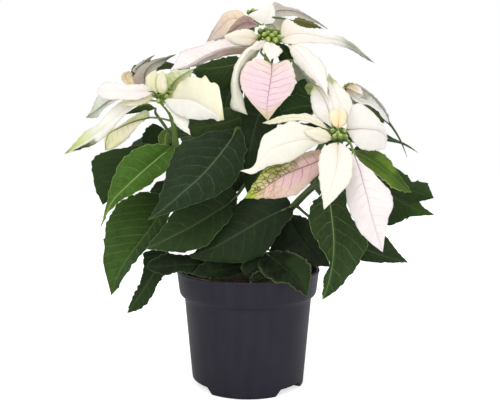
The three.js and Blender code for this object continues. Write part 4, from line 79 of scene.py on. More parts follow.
# name, node, look, side, midrib, left margin, right margin, leaf stalk, stalk radius
BLADES = [
    ('bract_top_heart', 'bract_top_heart', 'heart', -1,
     [(19.3,-46,283.2), (19.4,-52.5,280.1), (18.9,-58.4,274), (17.6,-63.6,265.6), (16.1,-68.2,256.6), (15.1,-72.1,248.6), (14.9,-75.4,241.5), (15.6,-78,236)],
     [(11.4,-51.5,286.1), (0,-55.4,284.2), (-5.6,-59.2,274.7), (-5.8,-63.2,264.1), (-0.8,-67.7,254.7), (7.1,-72.8,245.5)],
     [(25.2,-51.9,283.8), (33.1,-55.5,284.6), (37.4,-58.8,274.7), (37.3,-62.3,263.3), (31.4,-66.7,254.8), (22.9,-72.3,245.9)],
     [(17.5,-8,305.2), (11.1,-22,296.6), (14.2,-36,290), (19.3,-46,283.2)], 1.1),
    ('bract_top_front_left', 'bract_top_front_left', 'bract', -1,
     [(17.4,-12,307.2), (8.5,-22.2,301.2), (0.8,-31.3,295.1), (-4.2,-39.2,288), (-7.8,-46,280.3), (-9.8,-51.7,271.3), (-9.7,-56.3,260.6), (-7.4,-59.7,250), (-0.4,-62,241.1)],
     [(7.7,-20.4,303.5), (-1.3,-27.8,297.6), (-7.1,-34.4,290.1), (-11.2,-40.6,281.7), (-13.8,-45.1,271.1), (-14.3,-47.1,257.9), (-13.7,-48.8,247.2)],
     [(10.3,-20.1,298.5), (3.8,-26.7,291.9), (-1.3,-33.4,284.9), (-5,-40.7,278.4), (-7,-46.8,270.1), (-5.7,-50,259.7), (-3.4,-54,250.2)],
     [(17.5,-8,305.2), (17.4,-10,305.7), (17.4,-12,307.2)], 0.9),
    ('bract_top_front_right', 'bract_top_front_right', 'bract', -1,
     [(34.8,-12,304.7), (39.3,-23.1,299.4), (44.5,-33.1,292.8), (49.7,-42,284.4), (54.8,-49.8,274.7), (59.9,-56.4,264.5), (64.2,-62,254.6)],
     [(35.5,-21.8,297.5), (38.4,-30.9,288.9), (44.1,-39.7,279.7), (51.7,-48.3,271.2), (59.6,-55.8,262.6)],
     [(46.3,-19.6,301.1), (53.3,-28.8,294.9), (61,-36.6,286.6), (64.7,-44.9,277.6), (64.6,-54.2,265.5)],
     [(17.5,-8,305.2), (29.7,-9,306.3), (34.8,-12,304.7)], 1),
    ('bract_top_front_small', 'flower_top', 'bract_s', -1,
     [(19,-14,306.1), (19.5,-25.8,301.6), (20,-36,296.6), (19.3,-44.8,291.4), (17.5,-52,285.8)],
     [(14.1,-24,303.9), (12.2,-33.6,298.1), (14.4,-43.3,291.6)],
     [(24.3,-24.3,301.3), (28.9,-33.4,296.1), (24.8,-43,289.6)],
     [(17.5,-8,305.2), (18.3,-11,304.9), (19,-14,306.1)], 0.9),
    ('bract_top_left_small', 'flower_top', 'bract_s', -1,
     [(8.7,-10,307.5), (4.3,-16.3,307.5), (-2.6,-21.7,307.7), (-9.3,-26.1,307.8), (-15.2,-29.5,307.7), (-20.6,-32,307.4)],
     [(6.5,-13,313), (-0.9,-17.1,315.8), (-9.4,-22.8,313.8), (-16.1,-27.8,310.7)],
     [(3.4,-17.4,302.3), (-3.4,-22.1,301.1), (-11,-25.7,302.3), (-16,-28.9,304.9)],
     [(17.5,-8,305.2), (13.1,-9,305.2), (8.7,-10,307.5)], 0.9),
    ('bract_top_left_long', 'bract_top_left_long', 'bract_pink', -1,
     [(8.7,-10,302.4), (-0.9,-18.7,300.8), (-12.7,-26.3,299.4), (-25.2,-33,296.1), (-36.6,-38.7,290.5), (-47.1,-43.5,283.8), (-55.8,-47.2,280.2), (-63.7,-50,277.5)],
     [(-1.7,-15.3,305.9), (-14.5,-20.9,308.1), (-30.5,-27.1,303.9), (-43.7,-31.8,298.3), (-55.8,-33.6,294.8), (-58.5,-40.8,287.8)],
     [(0,-9.7,296), (-13.8,-16.8,294.3), (-26.5,-22.4,290.2), (-38.1,-29.4,285.3), (-47.5,-38.6,281.1), (-56,-45.2,279)],
     [(17.5,-8,305.2), (8.7,-10,302.4)], 1.2),
    ('bract_top_rear_left', 'bract_top_rear_left', 'bract_pink', -1,
     [(5.9,64,331.1), (-2.9,61.6,335.4), (-11.6,60.2,337.6), (-19.4,60,336.1), (-27.2,60.9,329.1), (-34.2,62.9,321.8), (-40.7,66,316)],
     [(-1,65.2,340.8), (-9.8,65.5,345.9), (-21.5,65.5,344.7), (-29.8,64.9,335), (-36.2,65,324.5)],
     [(-1,56.8,327.1), (-9.6,53,324.6), (-17.3,52.5,322.7), (-25.1,55,318.8), (-33.1,60.2,317.1)],
     [(4.9,72,340.5), (2,65,338.9), (5.9,64,331.1)], 0.9),
    ('bract_top_rear_left_small', 'flower_back', 'bract_s', 1,
     [(9.8,63,330.4), (1,58.4,333), (-5.8,54,331.4), (-13.4,49.9,326), (-20.9,46,320.3)],
     [(2.9,60.4,338.1), (-4.8,57.1,339.6), (-14.4,51.8,331)],
     [(2.9,55.8,327.9), (-5.8,51.2,325.3), (-14.3,48.2,322.5)],
     [(4.9,72,340.5), (8.8,65,337.9), (9.8,63,330.4)], 0.9),
    ('bract_top_sail', 'bract_top_sail', 'bract_s', 1,
     [(14.6,62,331.7), (16.8,62.5,336.6), (19.1,64,342.1), (21.2,66.5,348.2), (23.2,70,354.8)],
     [(7.3,63,335.7), (-0.2,65,342.1), (11.7,67,347.5)],
     [(25.3,62.9,334.4), (26.7,64.4,342.1), (25.2,66.7,349.7)],
     [(4.9,72,340.5), (9.8,67,334.1), (14.6,62,331.7)], 0.9),
    ('bract_top_rear_right', 'bract_top_rear_right', 'bract_under', -1,
     [(21.9,76,334.9), (27.1,83.6,346.9), (37.4,88.9,349.8), (48.7,92,349.1), (59,92.9,345.4), (70.1,91.6,339.1), (80.9,88,331.5)],
     [(25.2,88.6,357.7), (37.5,91.1,354.7), (49.8,93.6,352.5), (61.1,94,346.5), (71.7,92.3,339.5)],
     [(29.9,79.6,340.4), (40.2,85.4,344.3), (50.6,89.2,344.3), (59.8,90.5,341.2), (70.5,90.5,337.2)],
     [(4.9,72,340.5), (13.4,74,335.5), (21.9,76,334.9)], 0.9),
    ('leaf_top_olive', 'flower_back', 'olive', -1,
     [(42.8,62,336), (48.8,63.7,336.3), (56.8,66,334.7), (64.9,68.7,332.6), (74.1,72,329.8)],
     [(48.9,65.1,339.3), (57.9,67.3,337.3), (66,69.7,334.3)],
     [(47.7,61.8,332.1), (55.6,63.4,329.2), (64.8,67.3,329.5)],
     [(4.9,72,340.5), (23.4,64,339.2), (34.1,63,338.1), (42.8,62,336)], 1.3),
    ('bract_top_right', 'bract_top_right', 'bract_duo', 1,
     [(28,-8,308.2), (32.2,-11.2,310.3), (38.1,-13.5,312.1), (46.6,-15.1,312.6), (56.9,-15.9,310.9), (68.2,-15.9,308.4), (79.5,-15.1,305.9), (90.2,-13.5,301), (101.1,-11.2,293.6), (111.4,-8,287.5)],
     [(29.4,-5.5,317.6), (35.1,-4.8,323.9), (44.3,-10.8,319.2), (55.4,-13.6,316.4), (66.5,-15.4,310.5), (77.6,-15.8,310.5), (88.9,-15.8,305), (100.9,-12.4,295.6)],
     [(31.6,-14.9,303.6), (37.9,-17.9,303), (47.3,-18,304), (57.8,-16.8,303.9), (69.1,-15.3,303.9), (80.7,-13,301.8), (91.6,-10.3,298), (101.4,-9.4,292.1)],
     [(17.5,-8,305.2), (22.7,-8,305.4), (28,-8,308.2)], 0.9),
    ('bract_right_long_left', 'bract_right_long_left', 'bract', -1,
     [(65.6,-86,221.6), (59.2,-95,220.9), (50.8,-102.9,221), (42,-109.8,221.9), (32.8,-115.5,220.5), (23.9,-120.2,218), (16.5,-123.8,215), (10.4,-126.3,208.7), (3.6,-127.7,201.2), (-5.7,-128,199.5)],
     [(59.4,-93.1,228.5), (51,-100.4,230.9), (42.2,-107,232), (32.3,-111.3,235.3), (21.8,-116.2,230.6), (11.6,-120,225.2), (7.8,-123.7,215), (4.3,-126.8,203.3)],
     [(57.7,-94.9,219), (50.2,-102.7,217.1), (42.9,-108.9,212.9), (34.5,-113.8,207.5), (25.5,-117.9,204.2), (16.6,-121.3,203.2), (10.1,-124.2,200.3), (3.2,-126.5,197.2)],
     [(69.9,-86,222), (67.8,-86,221.3), (65.6,-86,221.6)], 0.9),
    ('bract_right_edge_on', 'bract_right_edge_on', 'bract', -1,
     [(64.5,-82,228.9), (56.5,-83.6,233.5), (47.9,-84.2,237), (37.9,-84,238.7), (27.9,-82.9,238), (18.7,-80.9,235.5), (11,-78,234.4)],
     [(56.9,-79.9,235.9), (48.5,-77.7,241.2), (38.2,-79.7,241.5), (28.1,-79,240.6), (18.8,-77.8,237.5)],
     [(55.5,-86,231.6), (46.9,-87,234.8), (36.9,-87.2,236.1), (27.7,-86.7,234.8), (18.6,-83.2,233.5)],
     [(69.9,-86,222), (67.2,-84,224.3), (64.5,-82,228.9)], 0.9),
    ('bract_right_up_left', 'bract_right_up_left', 'bract_lime', 1,
     [(65.8,-84,230.4), (65.1,-75.9,236.8), (64.6,-66.9,243.3), (63.2,-56.9,250.9), (60.5,-45.9,258.8), (55.2,-34,266.5)],
     [(60.2,-74.8,234.8), (53.3,-64.6,241.4), (51.5,-54.5,250.2), (52.1,-44.2,259.7)],
     [(68.4,-75,237.6), (68.7,-65.5,245.7), (67.4,-55.3,254.2), (62.5,-44.6,262.9)],
     [(69.9,-86,222), (67.8,-85,225.1), (65.8,-84,230.4)], 0.9),
    ('bract_right_up', 'bract_right_up', 'bract', 1,
     [(71.5,-82,230.5), (72.8,-74.2,236), (74.3,-65.6,243.4), (73.9,-56,252.5), (71.9,-45.6,260.8), (69.8,-34.2,269.5), (69.1,-22,278)],
     [(66.8,-72.3,236.9), (65.1,-62.6,245), (65.7,-53.4,254.3), (66.5,-43.7,263.8), (66.6,-33,272.1)],
     [(79.4,-72.3,236.1), (82.7,-63.1,245), (85.3,-52.7,252.7), (80,-43.2,262.6), (72.1,-33.2,272)],
     [(69.9,-86,222), (70.7,-84,225.1), (71.5,-82,230.5)], 0.9),
    ('bract_right_centre_small', 'flower_right', 'bract_s', 1,
     [(69.1,-88,229.6), (69.7,-86.7,234.2), (70.3,-84,238.5), (70.8,-79.7,242.5), (71.9,-74,246.5)],
     [(64.4,-85.7,233.9), (62.5,-82.4,239.7), (65.5,-78.6,244.8)],
     [(75.2,-85.7,233.5), (77.5,-82.6,239.3), (76.1,-78.6,244.6)],
     [(69.9,-86,222), (69.5,-87,224.9), (69.1,-88,229.6)], 0.9),
    ('bract_right_side', 'bract_right_side', 'bract_pink', 1,
     [(75.9,-84,228.9), (79.7,-89.6,229.4), (84.5,-92.9,229.8), (90.4,-94,229.7), (97.4,-92.9,229), (103.1,-89.6,226.9), (108.2,-84,222.4)],
     [(77.7,-86.3,240), (81.3,-87.3,248.3), (89.5,-88.7,247.4), (98.2,-89.8,239.5), (104.8,-88.3,230.8)],
     [(78.4,-90.7,223.5), (81.8,-94.4,217.9), (87.5,-94.8,213.9), (96.3,-92.5,213.3), (104.7,-88.3,214.7)],
     [(69.9,-86,222), (72.9,-85,224.3), (75.9,-84,228.9)], 0.9),
    ('bract_right_down', 'bract_right_down', 'bract', -1,
     [(68.7,-92,219.7), (66.4,-110,216.2), (64.3,-124.7,210), (62.1,-136,202.7), (59.1,-144,194.8), (55.9,-148.7,185.4), (52.1,-150,174)],
     [(60,-107.9,218.2), (53.1,-121,213.9), (49.9,-132.1,205.3), (49.4,-141,195.3), (50.6,-147,183.9)],
     [(70.6,-108.7,218), (73.9,-121.7,213.2), (74.4,-132.5,203.6), (70.9,-140.6,192.4), (62.3,-146.7,183.6)],
     [(69.9,-86,222), (69.3,-89,220.1), (68.7,-92,219.7)], 0.9),
    ('bract_right_pink_veined', 'bract_right_pink_veined', 'bract_veined', -1,
     [(79.8,-98,212.3), (80,-108.7,207.3), (81.7,-117.2,199.6), (83.3,-123.6,190.6), (85.7,-127.9,180.1), (88.3,-130,168.1), (92.5,-130.1,154.4), (97.3,-128,140.7)],
     [(76,-108,208.1), (74.3,-115.8,198.8), (70.9,-120.8,186.7), (72.3,-124.3,174.7), (77.6,-126.5,160.8), (86.2,-127.7,149.6)],
     [(82.7,-108.2,206.6), (88.1,-116.1,200.7), (96.5,-120.9,191.8), (103.3,-123.8,183.3), (104.4,-125.6,174.1), (99.7,-127.7,158.4)],
     [(69.9,-86,222), (77.3,-91,219.7), (79.8,-98,212.3)], 1.1),
    ('bract_right_mottled', 'bract_right_mottled', 'mottled', -1,
     [(64.4,-78,209.4), (56.5,-85.9,205.8), (46.7,-92.5,202.2), (36.4,-97.8,198.6), (27.1,-101.8,194.7), (18,-104.5,189.2), (9,-105.9,183.3), (-3,-106,177.8)],
     [(57.4,-84.4,213.5), (46,-90.5,212.5), (34.2,-95.7,209.2), (21.9,-99.5,205.1), (11.3,-102.2,198.5), (4.5,-104.4,189.2)],
     [(55.6,-84.5,196), (48.5,-90.6,189.4), (38.2,-95.2,180.8), (27.3,-99.3,177.6), (17.3,-102.8,177.3), (7.5,-105,177.5)],
     [(69.9,-86,222), (66.8,-90,215.5), (64.4,-78,209.4)], 1.2),
    ('bract_left_large', 'bract_left_large', 'bract_cream', 1,
     [(-73.4,-20,256.4), (-64.3,-32.1,255.9), (-54.8,-42.8,255.3), (-45.8,-52,253.5), (-37.1,-59.7,249.2), (-28.7,-65.9,243.7), (-23,-70.7,238.9), (-18.9,-74,236.8)],
     [(-63.7,-29.6,261), (-58.2,-37.7,266.7), (-49.2,-44.2,272.8), (-36.7,-51.5,270.5), (-25,-57.3,266.1), (-21.2,-64.8,253.7)],
     [(-67.9,-31.4,249.6), (-60.2,-40.7,242.5), (-49.4,-49,238.5), (-37.4,-57.2,237.2), (-28,-64.7,238.1), (-22.6,-70.2,236.5)],
     None, 1.3),
    ('bract_left_drooping', 'bract_left_drooping', 'bract', 1,
     [(-73.5,-20,254.3), (-68.2,-28.6,249.2), (-62.4,-35.4,242.7), (-56.9,-40.2,236.7), (-52.1,-43,230.5), (-47.9,-44,224.7)],
     [(-64.1,-27.1,252.3), (-54.2,-32.7,245.3), (-50,-37.9,238.9), (-48.9,-42,230.9)],
     [(-71,-27.8,249.3), (-65,-34.6,242.7), (-60.8,-38.7,233.8), (-53.9,-42.2,228.4)],
     [(-76.9,-20,257.7), (-75.2,-20,255.5), (-73.5,-20,254.3)], 0.9),
    ('bract_left_mottled_up', 'flower_left', 'bract_green', -1,
     [(-70,-12,262.5), (-68.1,-1,268.9), (-64.1,8,274.9), (-58.4,15,280), (-50.2,20,285.8)],
     [(-74.5,0.4,272.1), (-72.8,10,280.5), (-63,16.2,284)],
     [(-64.8,0.5,262.4), (-59.4,9.2,271.2), (-53,16.2,277.4)],
     [(-76.9,-20,257.7), (-73.4,-16,258.7), (-70,-12,262.5)], 0.9),
    ('bract_left_curl_a', 'flower_left', 'bract_s', 1,
     [(-79.5,-20,257.7), (-82.3,-20.7,263.7), (-83.8,-20,269.7), (-83.2,-17.8,275.9), (-80.1,-14,281.7)],
     [(-87.2,-19.7,262), (-88.8,-19,268.9), (-87.6,-16.9,276.4)],
     [(-77.7,-19.8,262.9), (-77.9,-18.8,269.8), (-78.6,-16.8,276.8)],
     [(-76.9,-20,257.7), (-78.2,-20,257.4), (-79.5,-20,257.7)], 0.9),
    ('bract_left_curl_b', 'flower_left', 'bract_s', 1,
     [(-73.5,-23,258.4), (-74.2,-26.6,264.1), (-74.3,-28,269.5), (-74,-27.1,274.2), (-73,-24,279.3)],
     [(-78,-25.5,263.4), (-78.8,-26.7,270), (-77.6,-26,275.7)],
     [(-68.9,-24.9,262.6), (-68.1,-26,268.4), (-69.4,-25.7,275.2)],
     [(-76.9,-20,257.7), (-75.2,-21.5,257.5), (-73.5,-23,258.4)], 0.9),
    ('bract_left_grey_arch', 'bract_left_grey_arch', 'bract_under', -1,
     [(-84.3,-10,262.6), (-91.7,5.1,270.7), (-94.3,17.1,279.7), (-90.8,26,287.8), (-84.1,31.8,293), (-76,34.4,296.6), (-67.5,34,300.4)],
     [(-101.2,8,267.4), (-105.8,20.5,278.2), (-100.6,28.8,288.1), (-90.9,33.8,294.3), (-78.9,35.3,297.8)],
     [(-86.5,6.7,270.8), (-89,18.8,279), (-84.6,28,286), (-78.7,33.5,292.3), (-72.8,35.4,297.3)],
     [(-76.9,-20,257.7), (-80.6,-15,258.6), (-84.3,-10,262.6)], 0.9),
    ('bract_left_grey_sliver', 'flower_left', 'bract_under', -1,
     [(-103.6,30,281.8), (-104.7,34.2,285.9), (-101,38,290.4), (-95.8,41.2,295.4), (-88.5,44,301.1)],
     [(-109.3,36,285.6), (-104.5,39.4,291.5), (-97.3,41.9,296.3)],
     [(-102.1,35.4,285), (-97.9,39.4,289.6), (-94,42,295)],
     [(-76.9,-20,257.7), (-92.4,10,271.1), (-103.6,30,281.8)], 0.9),
    ('bract_left_peach_tip', 'flower_left', 'peach', 1,
     [(-98.8,4,265.3), (-104.2,7.5,269.1), (-109.2,8,274), (-110,5.5,278.3), (-105.9,0,281.8)],
     [(-108.3,5.2,270), (-113.5,5.6,274.3), (-112.4,3.9,279.9)],
     [(-102.6,5.8,272.1), (-103.6,5,276.9), (-103.6,2.4,280.2)],
     [(-76.9,-20,257.7), (-88.1,-8,262.8), (-98.8,4,265.3)], 0.8),
    ('bract_left_wide', 'bract_left_wide', 'bract_pink', -1,
     [(-80.9,-22,261.9), (-87.1,-32.2,261.7), (-95.1,-40.2,261.2), (-104,-46,261.2), (-112.4,-49.6,261.4), (-118.6,-50.9,260.9), (-124.2,-50,260.1)],
     [(-86.8,-27.8,267.4), (-96.2,-35.5,267.5), (-106.4,-41.3,267.3), (-115.1,-43.6,269.1), (-121,-46.8,266)],
     [(-85.1,-34.5,257.4), (-92.9,-43.8,254), (-102.6,-49.5,254), (-111.8,-53.2,254), (-119.4,-53.6,255.4)],
     [(-76.9,-20,257.7), (-78.9,-21,259.1), (-80.9,-22,261.9)], 0.9),
    ('bract_left_grey_droop', 'bract_left_grey_droop', 'bract_under', 1,
     [(-106.7,-22,258.5), (-113.9,-16.4,257.1), (-122,-10.8,254.8), (-129.9,-5.2,250.2), (-137.4,0.4,245.6), (-146.5,6,240.7)],
     [(-120.5,-13.2,262.4), (-130.6,-6.7,261.5), (-136.2,-2.3,254.8), (-140.9,1.8,247)],
     [(-116.9,-14.5,253.3), (-121.9,-9.4,251.4), (-128.9,-3.9,247.4), (-136.2,2.5,240.7)],
     [(-76.9,-20,257.7), (-92.7,-24,258.4), (-106.7,-22,258.5)], 1),
    ('bract_left_long_lime', 'bract_left_long_lime', 'bract_tip_lime', -1,
     [(-79.3,-22,254.2), (-86.1,-27.8,254.5), (-94.9,-31.8,252.6), (-104,-33.8,247.1), (-113.4,-34,239.4), (-123.2,-32.3,231.2), (-134.4,-28.8,223.8), (-146.1,-23.3,216.5), (-160.9,-16,208.5)],
     [(-87.1,-26.5,258.8), (-95.9,-30.5,256.9), (-106.7,-31.8,253.6), (-117.1,-31.8,246.2), (-127.7,-30.8,234.1), (-138.1,-26.9,229.2), (-149,-22.1,219.6)],
     [(-86.2,-27.6,252.1), (-94.1,-31.5,250.1), (-102.1,-33.5,244.1), (-109.9,-33.5,235.7), (-119.6,-31.6,225.6), (-130.5,-28,217.7), (-143.3,-22.9,213.2)],
     [(-76.9,-20,257.7), (-78.1,-21,255.4), (-79.3,-22,254.2)], 0.9),
    ('bract_left_under_pink', 'bract_left_under_pink', 'bract_green', 1,
     [(-84.3,-24,240.1), (-88.7,-29.4,239.2), (-94.8,-34.1,237.2), (-101.7,-38.2,233.9), (-108.7,-41.6,230.2), (-115.3,-44.4,226.2), (-117.7,-46.5,220.1), (-118.4,-48,212.3)],
     [(-86.3,-27.2,246.1), (-92.5,-32.1,243.6), (-99.8,-36.6,238.8), (-107.5,-40.7,232.9), (-114.7,-43.8,228.2), (-119.2,-45.9,221.8)],
     [(-88.4,-28.8,237.4), (-92.9,-32.9,233.5), (-96.9,-35.8,227.8), (-101.9,-38.2,221.5), (-108.7,-40.7,216), (-115.4,-44.2,212.8)],
     [(-65.1,-19,236.7), (-71.1,-20,238.4), (-77.7,-22,239.7), (-84.3,-24,240.1)], 1.1),
    ('bract_rear_small', 'flower_rear', 'bract_s', -1,
     [(96.8,66,271.3), (99.2,61.7,269.8), (102.5,58,267.9), (106.9,54.8,265.3), (111.4,52,263.2)],
     [(99.3,63.1,274.2), (104.7,59.9,274.2), (110.5,56.4,269.7)],
     [(97.8,62.2,265.2), (101.8,58.8,260.2), (108.1,55.2,260.5)],
     [(98.1,68,269), (97.5,67,269.8), (96.8,66,271.3)], 0.9),
    ('bract_rear_long', 'bract_rear_long', 'bract_under', -1,
     [(100.3,70,273.5), (108.3,76.4,272.5), (117.2,81.1,269.3), (125.9,84,263.5), (134.4,85.1,254.5), (140.5,84.4,245.9), (143.7,82,238.7)],
     [(107.4,77.7,276.6), (117.3,82,272.4), (127.5,84.7,265.3), (137.1,85.9,255.5), (142.7,85.1,245.9)],
     [(103.9,72.7,263.9), (114.6,76.8,258.6), (124.5,81.6,257.4), (132.1,83.2,250.1), (138.3,83,242.8)],
     [(98.1,68,269), (99.2,69,270.6), (100.3,70,273.5)], 0.9),
    ('bract_rear_pale', 'bract_rear_pale', 'bract', -1,
     [(99.8,66,269.4), (103.6,58.2,262.1), (109.6,52.2,257.4), (116.6,48,255.8), (123.9,45.6,250.9), (130.2,44.9,244.2), (135.8,46,236.6)],
     [(103.6,61.2,265.2), (112,55.3,260), (118.9,50.2,257), (127.4,48.5,251.5), (133.1,47.3,244.3)],
     [(101.8,55.8,260), (108.2,49.6,254.9), (115.1,44.5,252.3), (122.2,40.7,246), (128.5,41,240.3)],
     None, 1.3),
    ('bract_rear_thin', 'bract_rear_thin', 'green_thin', -1,
     [(101.4,70,267.7), (108.7,64.4,255.6), (119.7,59.8,252), (128.9,56,245), (138.3,53.1,235.4), (147.9,51.1,220.2), (154.8,50,203.8)],
     [(112.5,69.7,257.3), (122.5,64.4,254.3), (131.6,59.5,246.2), (139.7,55,236.1), (148.9,52.3,220.5)],
     [(107.8,58.5,251.6), (116.4,51.7,247), (126.5,49.9,241.3), (136.9,51.1,234.6), (147,49.9,219.9)],
     [(98.1,68,269), (99.8,69,267.8), (101.4,70,267.7)], 0.9),
    ('leaf_left_bright', 'leaf_left_bright', 'leaf_bright', -1,
     [(-65.2,-16,215), (-72.3,-33.6,209), (-81.4,-48.5,200.3), (-90.3,-60.8,191.5), (-98.4,-70.5,183.2), (-106,-77.6,174.7), (-111.6,-82.1,163.6), (-116.4,-84,150.8)],
     [(-76,-30.8,217.6), (-89.4,-43.5,215.1), (-101.6,-55.2,206.7), (-107.8,-66.7,192.6), (-110.6,-75.9,178.5), (-112.8,-81.4,165.5)],
     [(-61.4,-32.4,208.9), (-64.6,-46.1,198.9), (-76.4,-58.2,188.4), (-87.7,-68,180.1), (-100,-76,173.9), (-109.7,-81.5,163.9)],
     [(-63.4,-16,220.7), (-63.8,-17,217.7), (-65.2,-16,215)], 1.6),
    ('leaf_far_left', 'leaf_far_left', 'leaf', -1,
     [(-73.8,0,209.8), (-85.3,11.6,208.6), (-97.8,20.9,203.8), (-110.3,28,196), (-122.7,32.9,185.3), (-133,35.6,172.7), (-139.6,36,158.2)],
     [(-90,13.5,217.3), (-109.3,24,214.4), (-134.7,33.4,209.5), (-148.9,38.7,200.3), (-147.5,38.5,177.3)],
     [(-90.5,14.5,194.8), (-100.5,24.6,184.9), (-113.3,32.2,174.9), (-125.7,36.5,166.8), (-135.7,37.9,160.9)],
     [(-63.3,-14,213.7), (-68.6,-6,211.8), (-73.8,0,209.8)], 1.6),
    ('leaf_left_upper_dark', 'leaf_left_upper_dark', 'leaf', 1,
     [(-69.3,8,204.2), (-76.5,23,210.2), (-83.5,34,218.5), (-88.6,41,227.9), (-91.3,44,236.3)],
     [(-95.7,26.8,212.9), (-101,37.5,223.2), (-96.4,42.7,232.2)],
     [(-65.5,25.4,214.8), (-74.2,36.4,225.6), (-83.9,42.4,233.2)],
     [(-62.6,-12,210.1), (-66.6,0,206.3), (-69.3,8,204.2)], 1.4),
    ('leaf_left_small', 'leaf_left_upper_dark', 'leaf_bright', -1,
     [(-66.2,-10,232.1), (-71.1,-1.5,229.5), (-74.5,4,224.6), (-75.4,6.5,219.7), (-75.2,6,214.2)],
     [(-76.2,-0.5,229.1), (-81.1,5.3,223.7), (-80.5,7.6,217.4)],
     [(-68.6,-0.8,227.3), (-68.8,5.3,221.9), (-71.4,7.4,217.4)],
     [(-66.2,-1,207), (-66.9,-8,219.8), (-66.2,-10,232.1)], 1),
    ('leaf_centre_large', 'leaf_centre_large', 'leaf', -1,
     [(-8.6,-26,231.1), (-14.2,-43.3,221.3), (-22,-58.8,210.5), (-31,-72.3,199.3), (-40.2,-84,189.9), (-48.7,-93.8,182.7), (-57.4,-101.8,175), (-65.4,-107.8,168.5), (-74.3,-112,162.2)],
     [(-22.6,-40,228.8), (-42.7,-52.9,223.6), (-57,-66,215.5), (-62.8,-79.1,200), (-65.5,-90.3,186.3), (-67.7,-99.3,174.4), (-71.4,-106.1,167.5)],
     [(-3.4,-39.9,224.2), (-2.1,-52.8,211.1), (-5.6,-64.7,196.9), (-14.3,-76,184), (-31,-88.1,175.6), (-47.2,-98.4,170.6), (-62.3,-106.5,165.7)],
     [(8.1,0,211.6), (0,-12,225.1), (-8.6,-26,231.1)], 1.8),
    ('leaf_left_lower', 'leaf_left_lower', 'leaf_mid', -1,
     [(-68.4,-20,168.4), (-75.5,-33.3,158.4), (-82.6,-44.7,147), (-90.6,-54,135.7), (-98.2,-61.5,125.3), (-104.3,-66.9,115.1), (-107.9,-70.4,105.5), (-110.8,-72,95.5)],
     [(-82.7,-29.5,176.2), (-95,-38.5,175), (-108.9,-46.7,167.5), (-116.4,-54.8,153), (-117.6,-61.8,136.9), (-117,-67.2,118.9)],
     [(-67.2,-31.6,157.4), (-72,-42.5,145.8), (-82.2,-52.2,132.9), (-91.1,-60,123.3), (-98.9,-65.7,112.8), (-104.9,-69.6,102.5)],
     [(-51.7,-8,186.9), (-59.2,-14,179.3), (-68.4,-20,168.4)], 1.7),
    ('leaf_centre_mid', 'leaf_centre_mid', 'leaf', -1,
     [(-8.7,-22,173.8), (-18,-34.7,165.5), (-28.5,-45.9,159.9), (-38.8,-55.7,154.3), (-48.9,-64,149.2), (-59.6,-70.8,144.5), (-70.2,-76.1,139.6), (-81.5,-80,135)],
     [(-19.8,-30.3,182.7), (-36.3,-40.8,178.4), (-48.2,-50.2,173.8), (-58.2,-58.9,166.7), (-66.7,-67.8,153.8), (-75.2,-74.6,143)],
     [(-10.2,-35.9,163.9), (-15.5,-47.9,154.6), (-25.1,-57.9,144.2), (-35.8,-66.4,134.4), (-52.3,-72.4,131.3), (-68.6,-76.8,132.9)],
     [(3.6,2,188.1), (-1.8,-10,182.6), (-8.7,-22,173.8)], 1.7),
    ('leaf_centre_low', 'leaf_centre_low', 'leaf', -1,
     [(36.3,-42,165.4), (24.3,-46.3,160.3), (11.7,-49.6,154.4), (-0.8,-52.1,147.6), (-13.3,-53.7,140.3), (-25.8,-54.3,133.2), (-37.4,-54.1,128.2), (-49.6,-53,123.6)],
     [(24.4,-43.3,174.8), (6.8,-39.9,174.7), (-8.5,-37.8,167.5), (-22.1,-40.5,154.1), (-32.8,-46.7,138.8), (-42.7,-49.8,129.5)],
     [(34.5,-45.1,154.7), (26.8,-47.8,144), (17.6,-49.6,130.3), (5,-51.1,121.9), (-12.5,-52.4,118.7), (-33.4,-53.2,120.2)],
     [(57.9,-60,187.7), (51.1,-63,183.1), (43.5,-57,175.2), (36.3,-42,165.4)], 1.7),
    ('leaf_low_left', 'leaf_low_left', 'leaf', -1,
     [(-71.8,-10,122.3), (-75.3,-18.2,114.8), (-80.7,-24.9,107.1), (-86.3,-30,98.4), (-92,-33.6,89.5), (-98.3,-35.6,80.7), (-104.7,-36,71.4)],
     [(-87.2,-15.6,120.6), (-91.4,-22.7,110.3), (-93.7,-28.5,98.7), (-97.9,-32.4,90.1), (-102.3,-34.8,80.1)],
     [(-68.4,-16.8,112.7), (-73.1,-23.2,103.2), (-79.3,-28.4,94.5), (-85.4,-31.6,82.4), (-94.7,-34.1,74.1)],
     [(-21.8,0,146.4), (-36.2,-4,136.9), (-54,-8,128.4), (-71.8,-10,122.3)], 1.5),
    ('leaf_rim_left', 'leaf_rim_left', 'leaf', -1,
     [(-31.1,-34,115.9), (-38.1,-45.6,116.8), (-47.4,-54.9,117.8), (-57.5,-62,118.7), (-66.8,-66.9,118.8), (-75.4,-69.6,118.5), (-82.6,-70,118.4)],
     [(-38.2,-43,122.8), (-48.5,-51,126.8), (-60.3,-57.7,128.4), (-70.5,-62.9,127.6), (-78.9,-67.1,123.4)],
     [(-37.2,-46.3,113.5), (-46.6,-55.7,109.9), (-57.6,-62,113), (-67.8,-66.1,110.8), (-78.4,-68.7,115.1)],
     [(-1.8,3,122), (-10.7,-12,120.9), (-21,-26,118), (-31.1,-34,115.9)], 1.5),
    ('leaf_right_front', 'leaf_right_front', 'leaf_mid', -1,
     [(64.6,-66,180.9), (64.9,-77.8,171.5), (65.2,-88,161.6), (65.4,-96.8,151.8), (65.1,-104,142.1), (63.7,-109.8,132.5), (61.8,-114,122.7), (59,-116.8,112.7), (55.1,-118,103.2)],
     [(53.3,-74.7,173.2), (47.5,-83.4,163.4), (49.4,-92.6,150.5), (55.9,-101.5,139.1), (61.3,-108.6,128.4), (57.2,-112.8,120.9), (55.5,-115.8,111.7)],
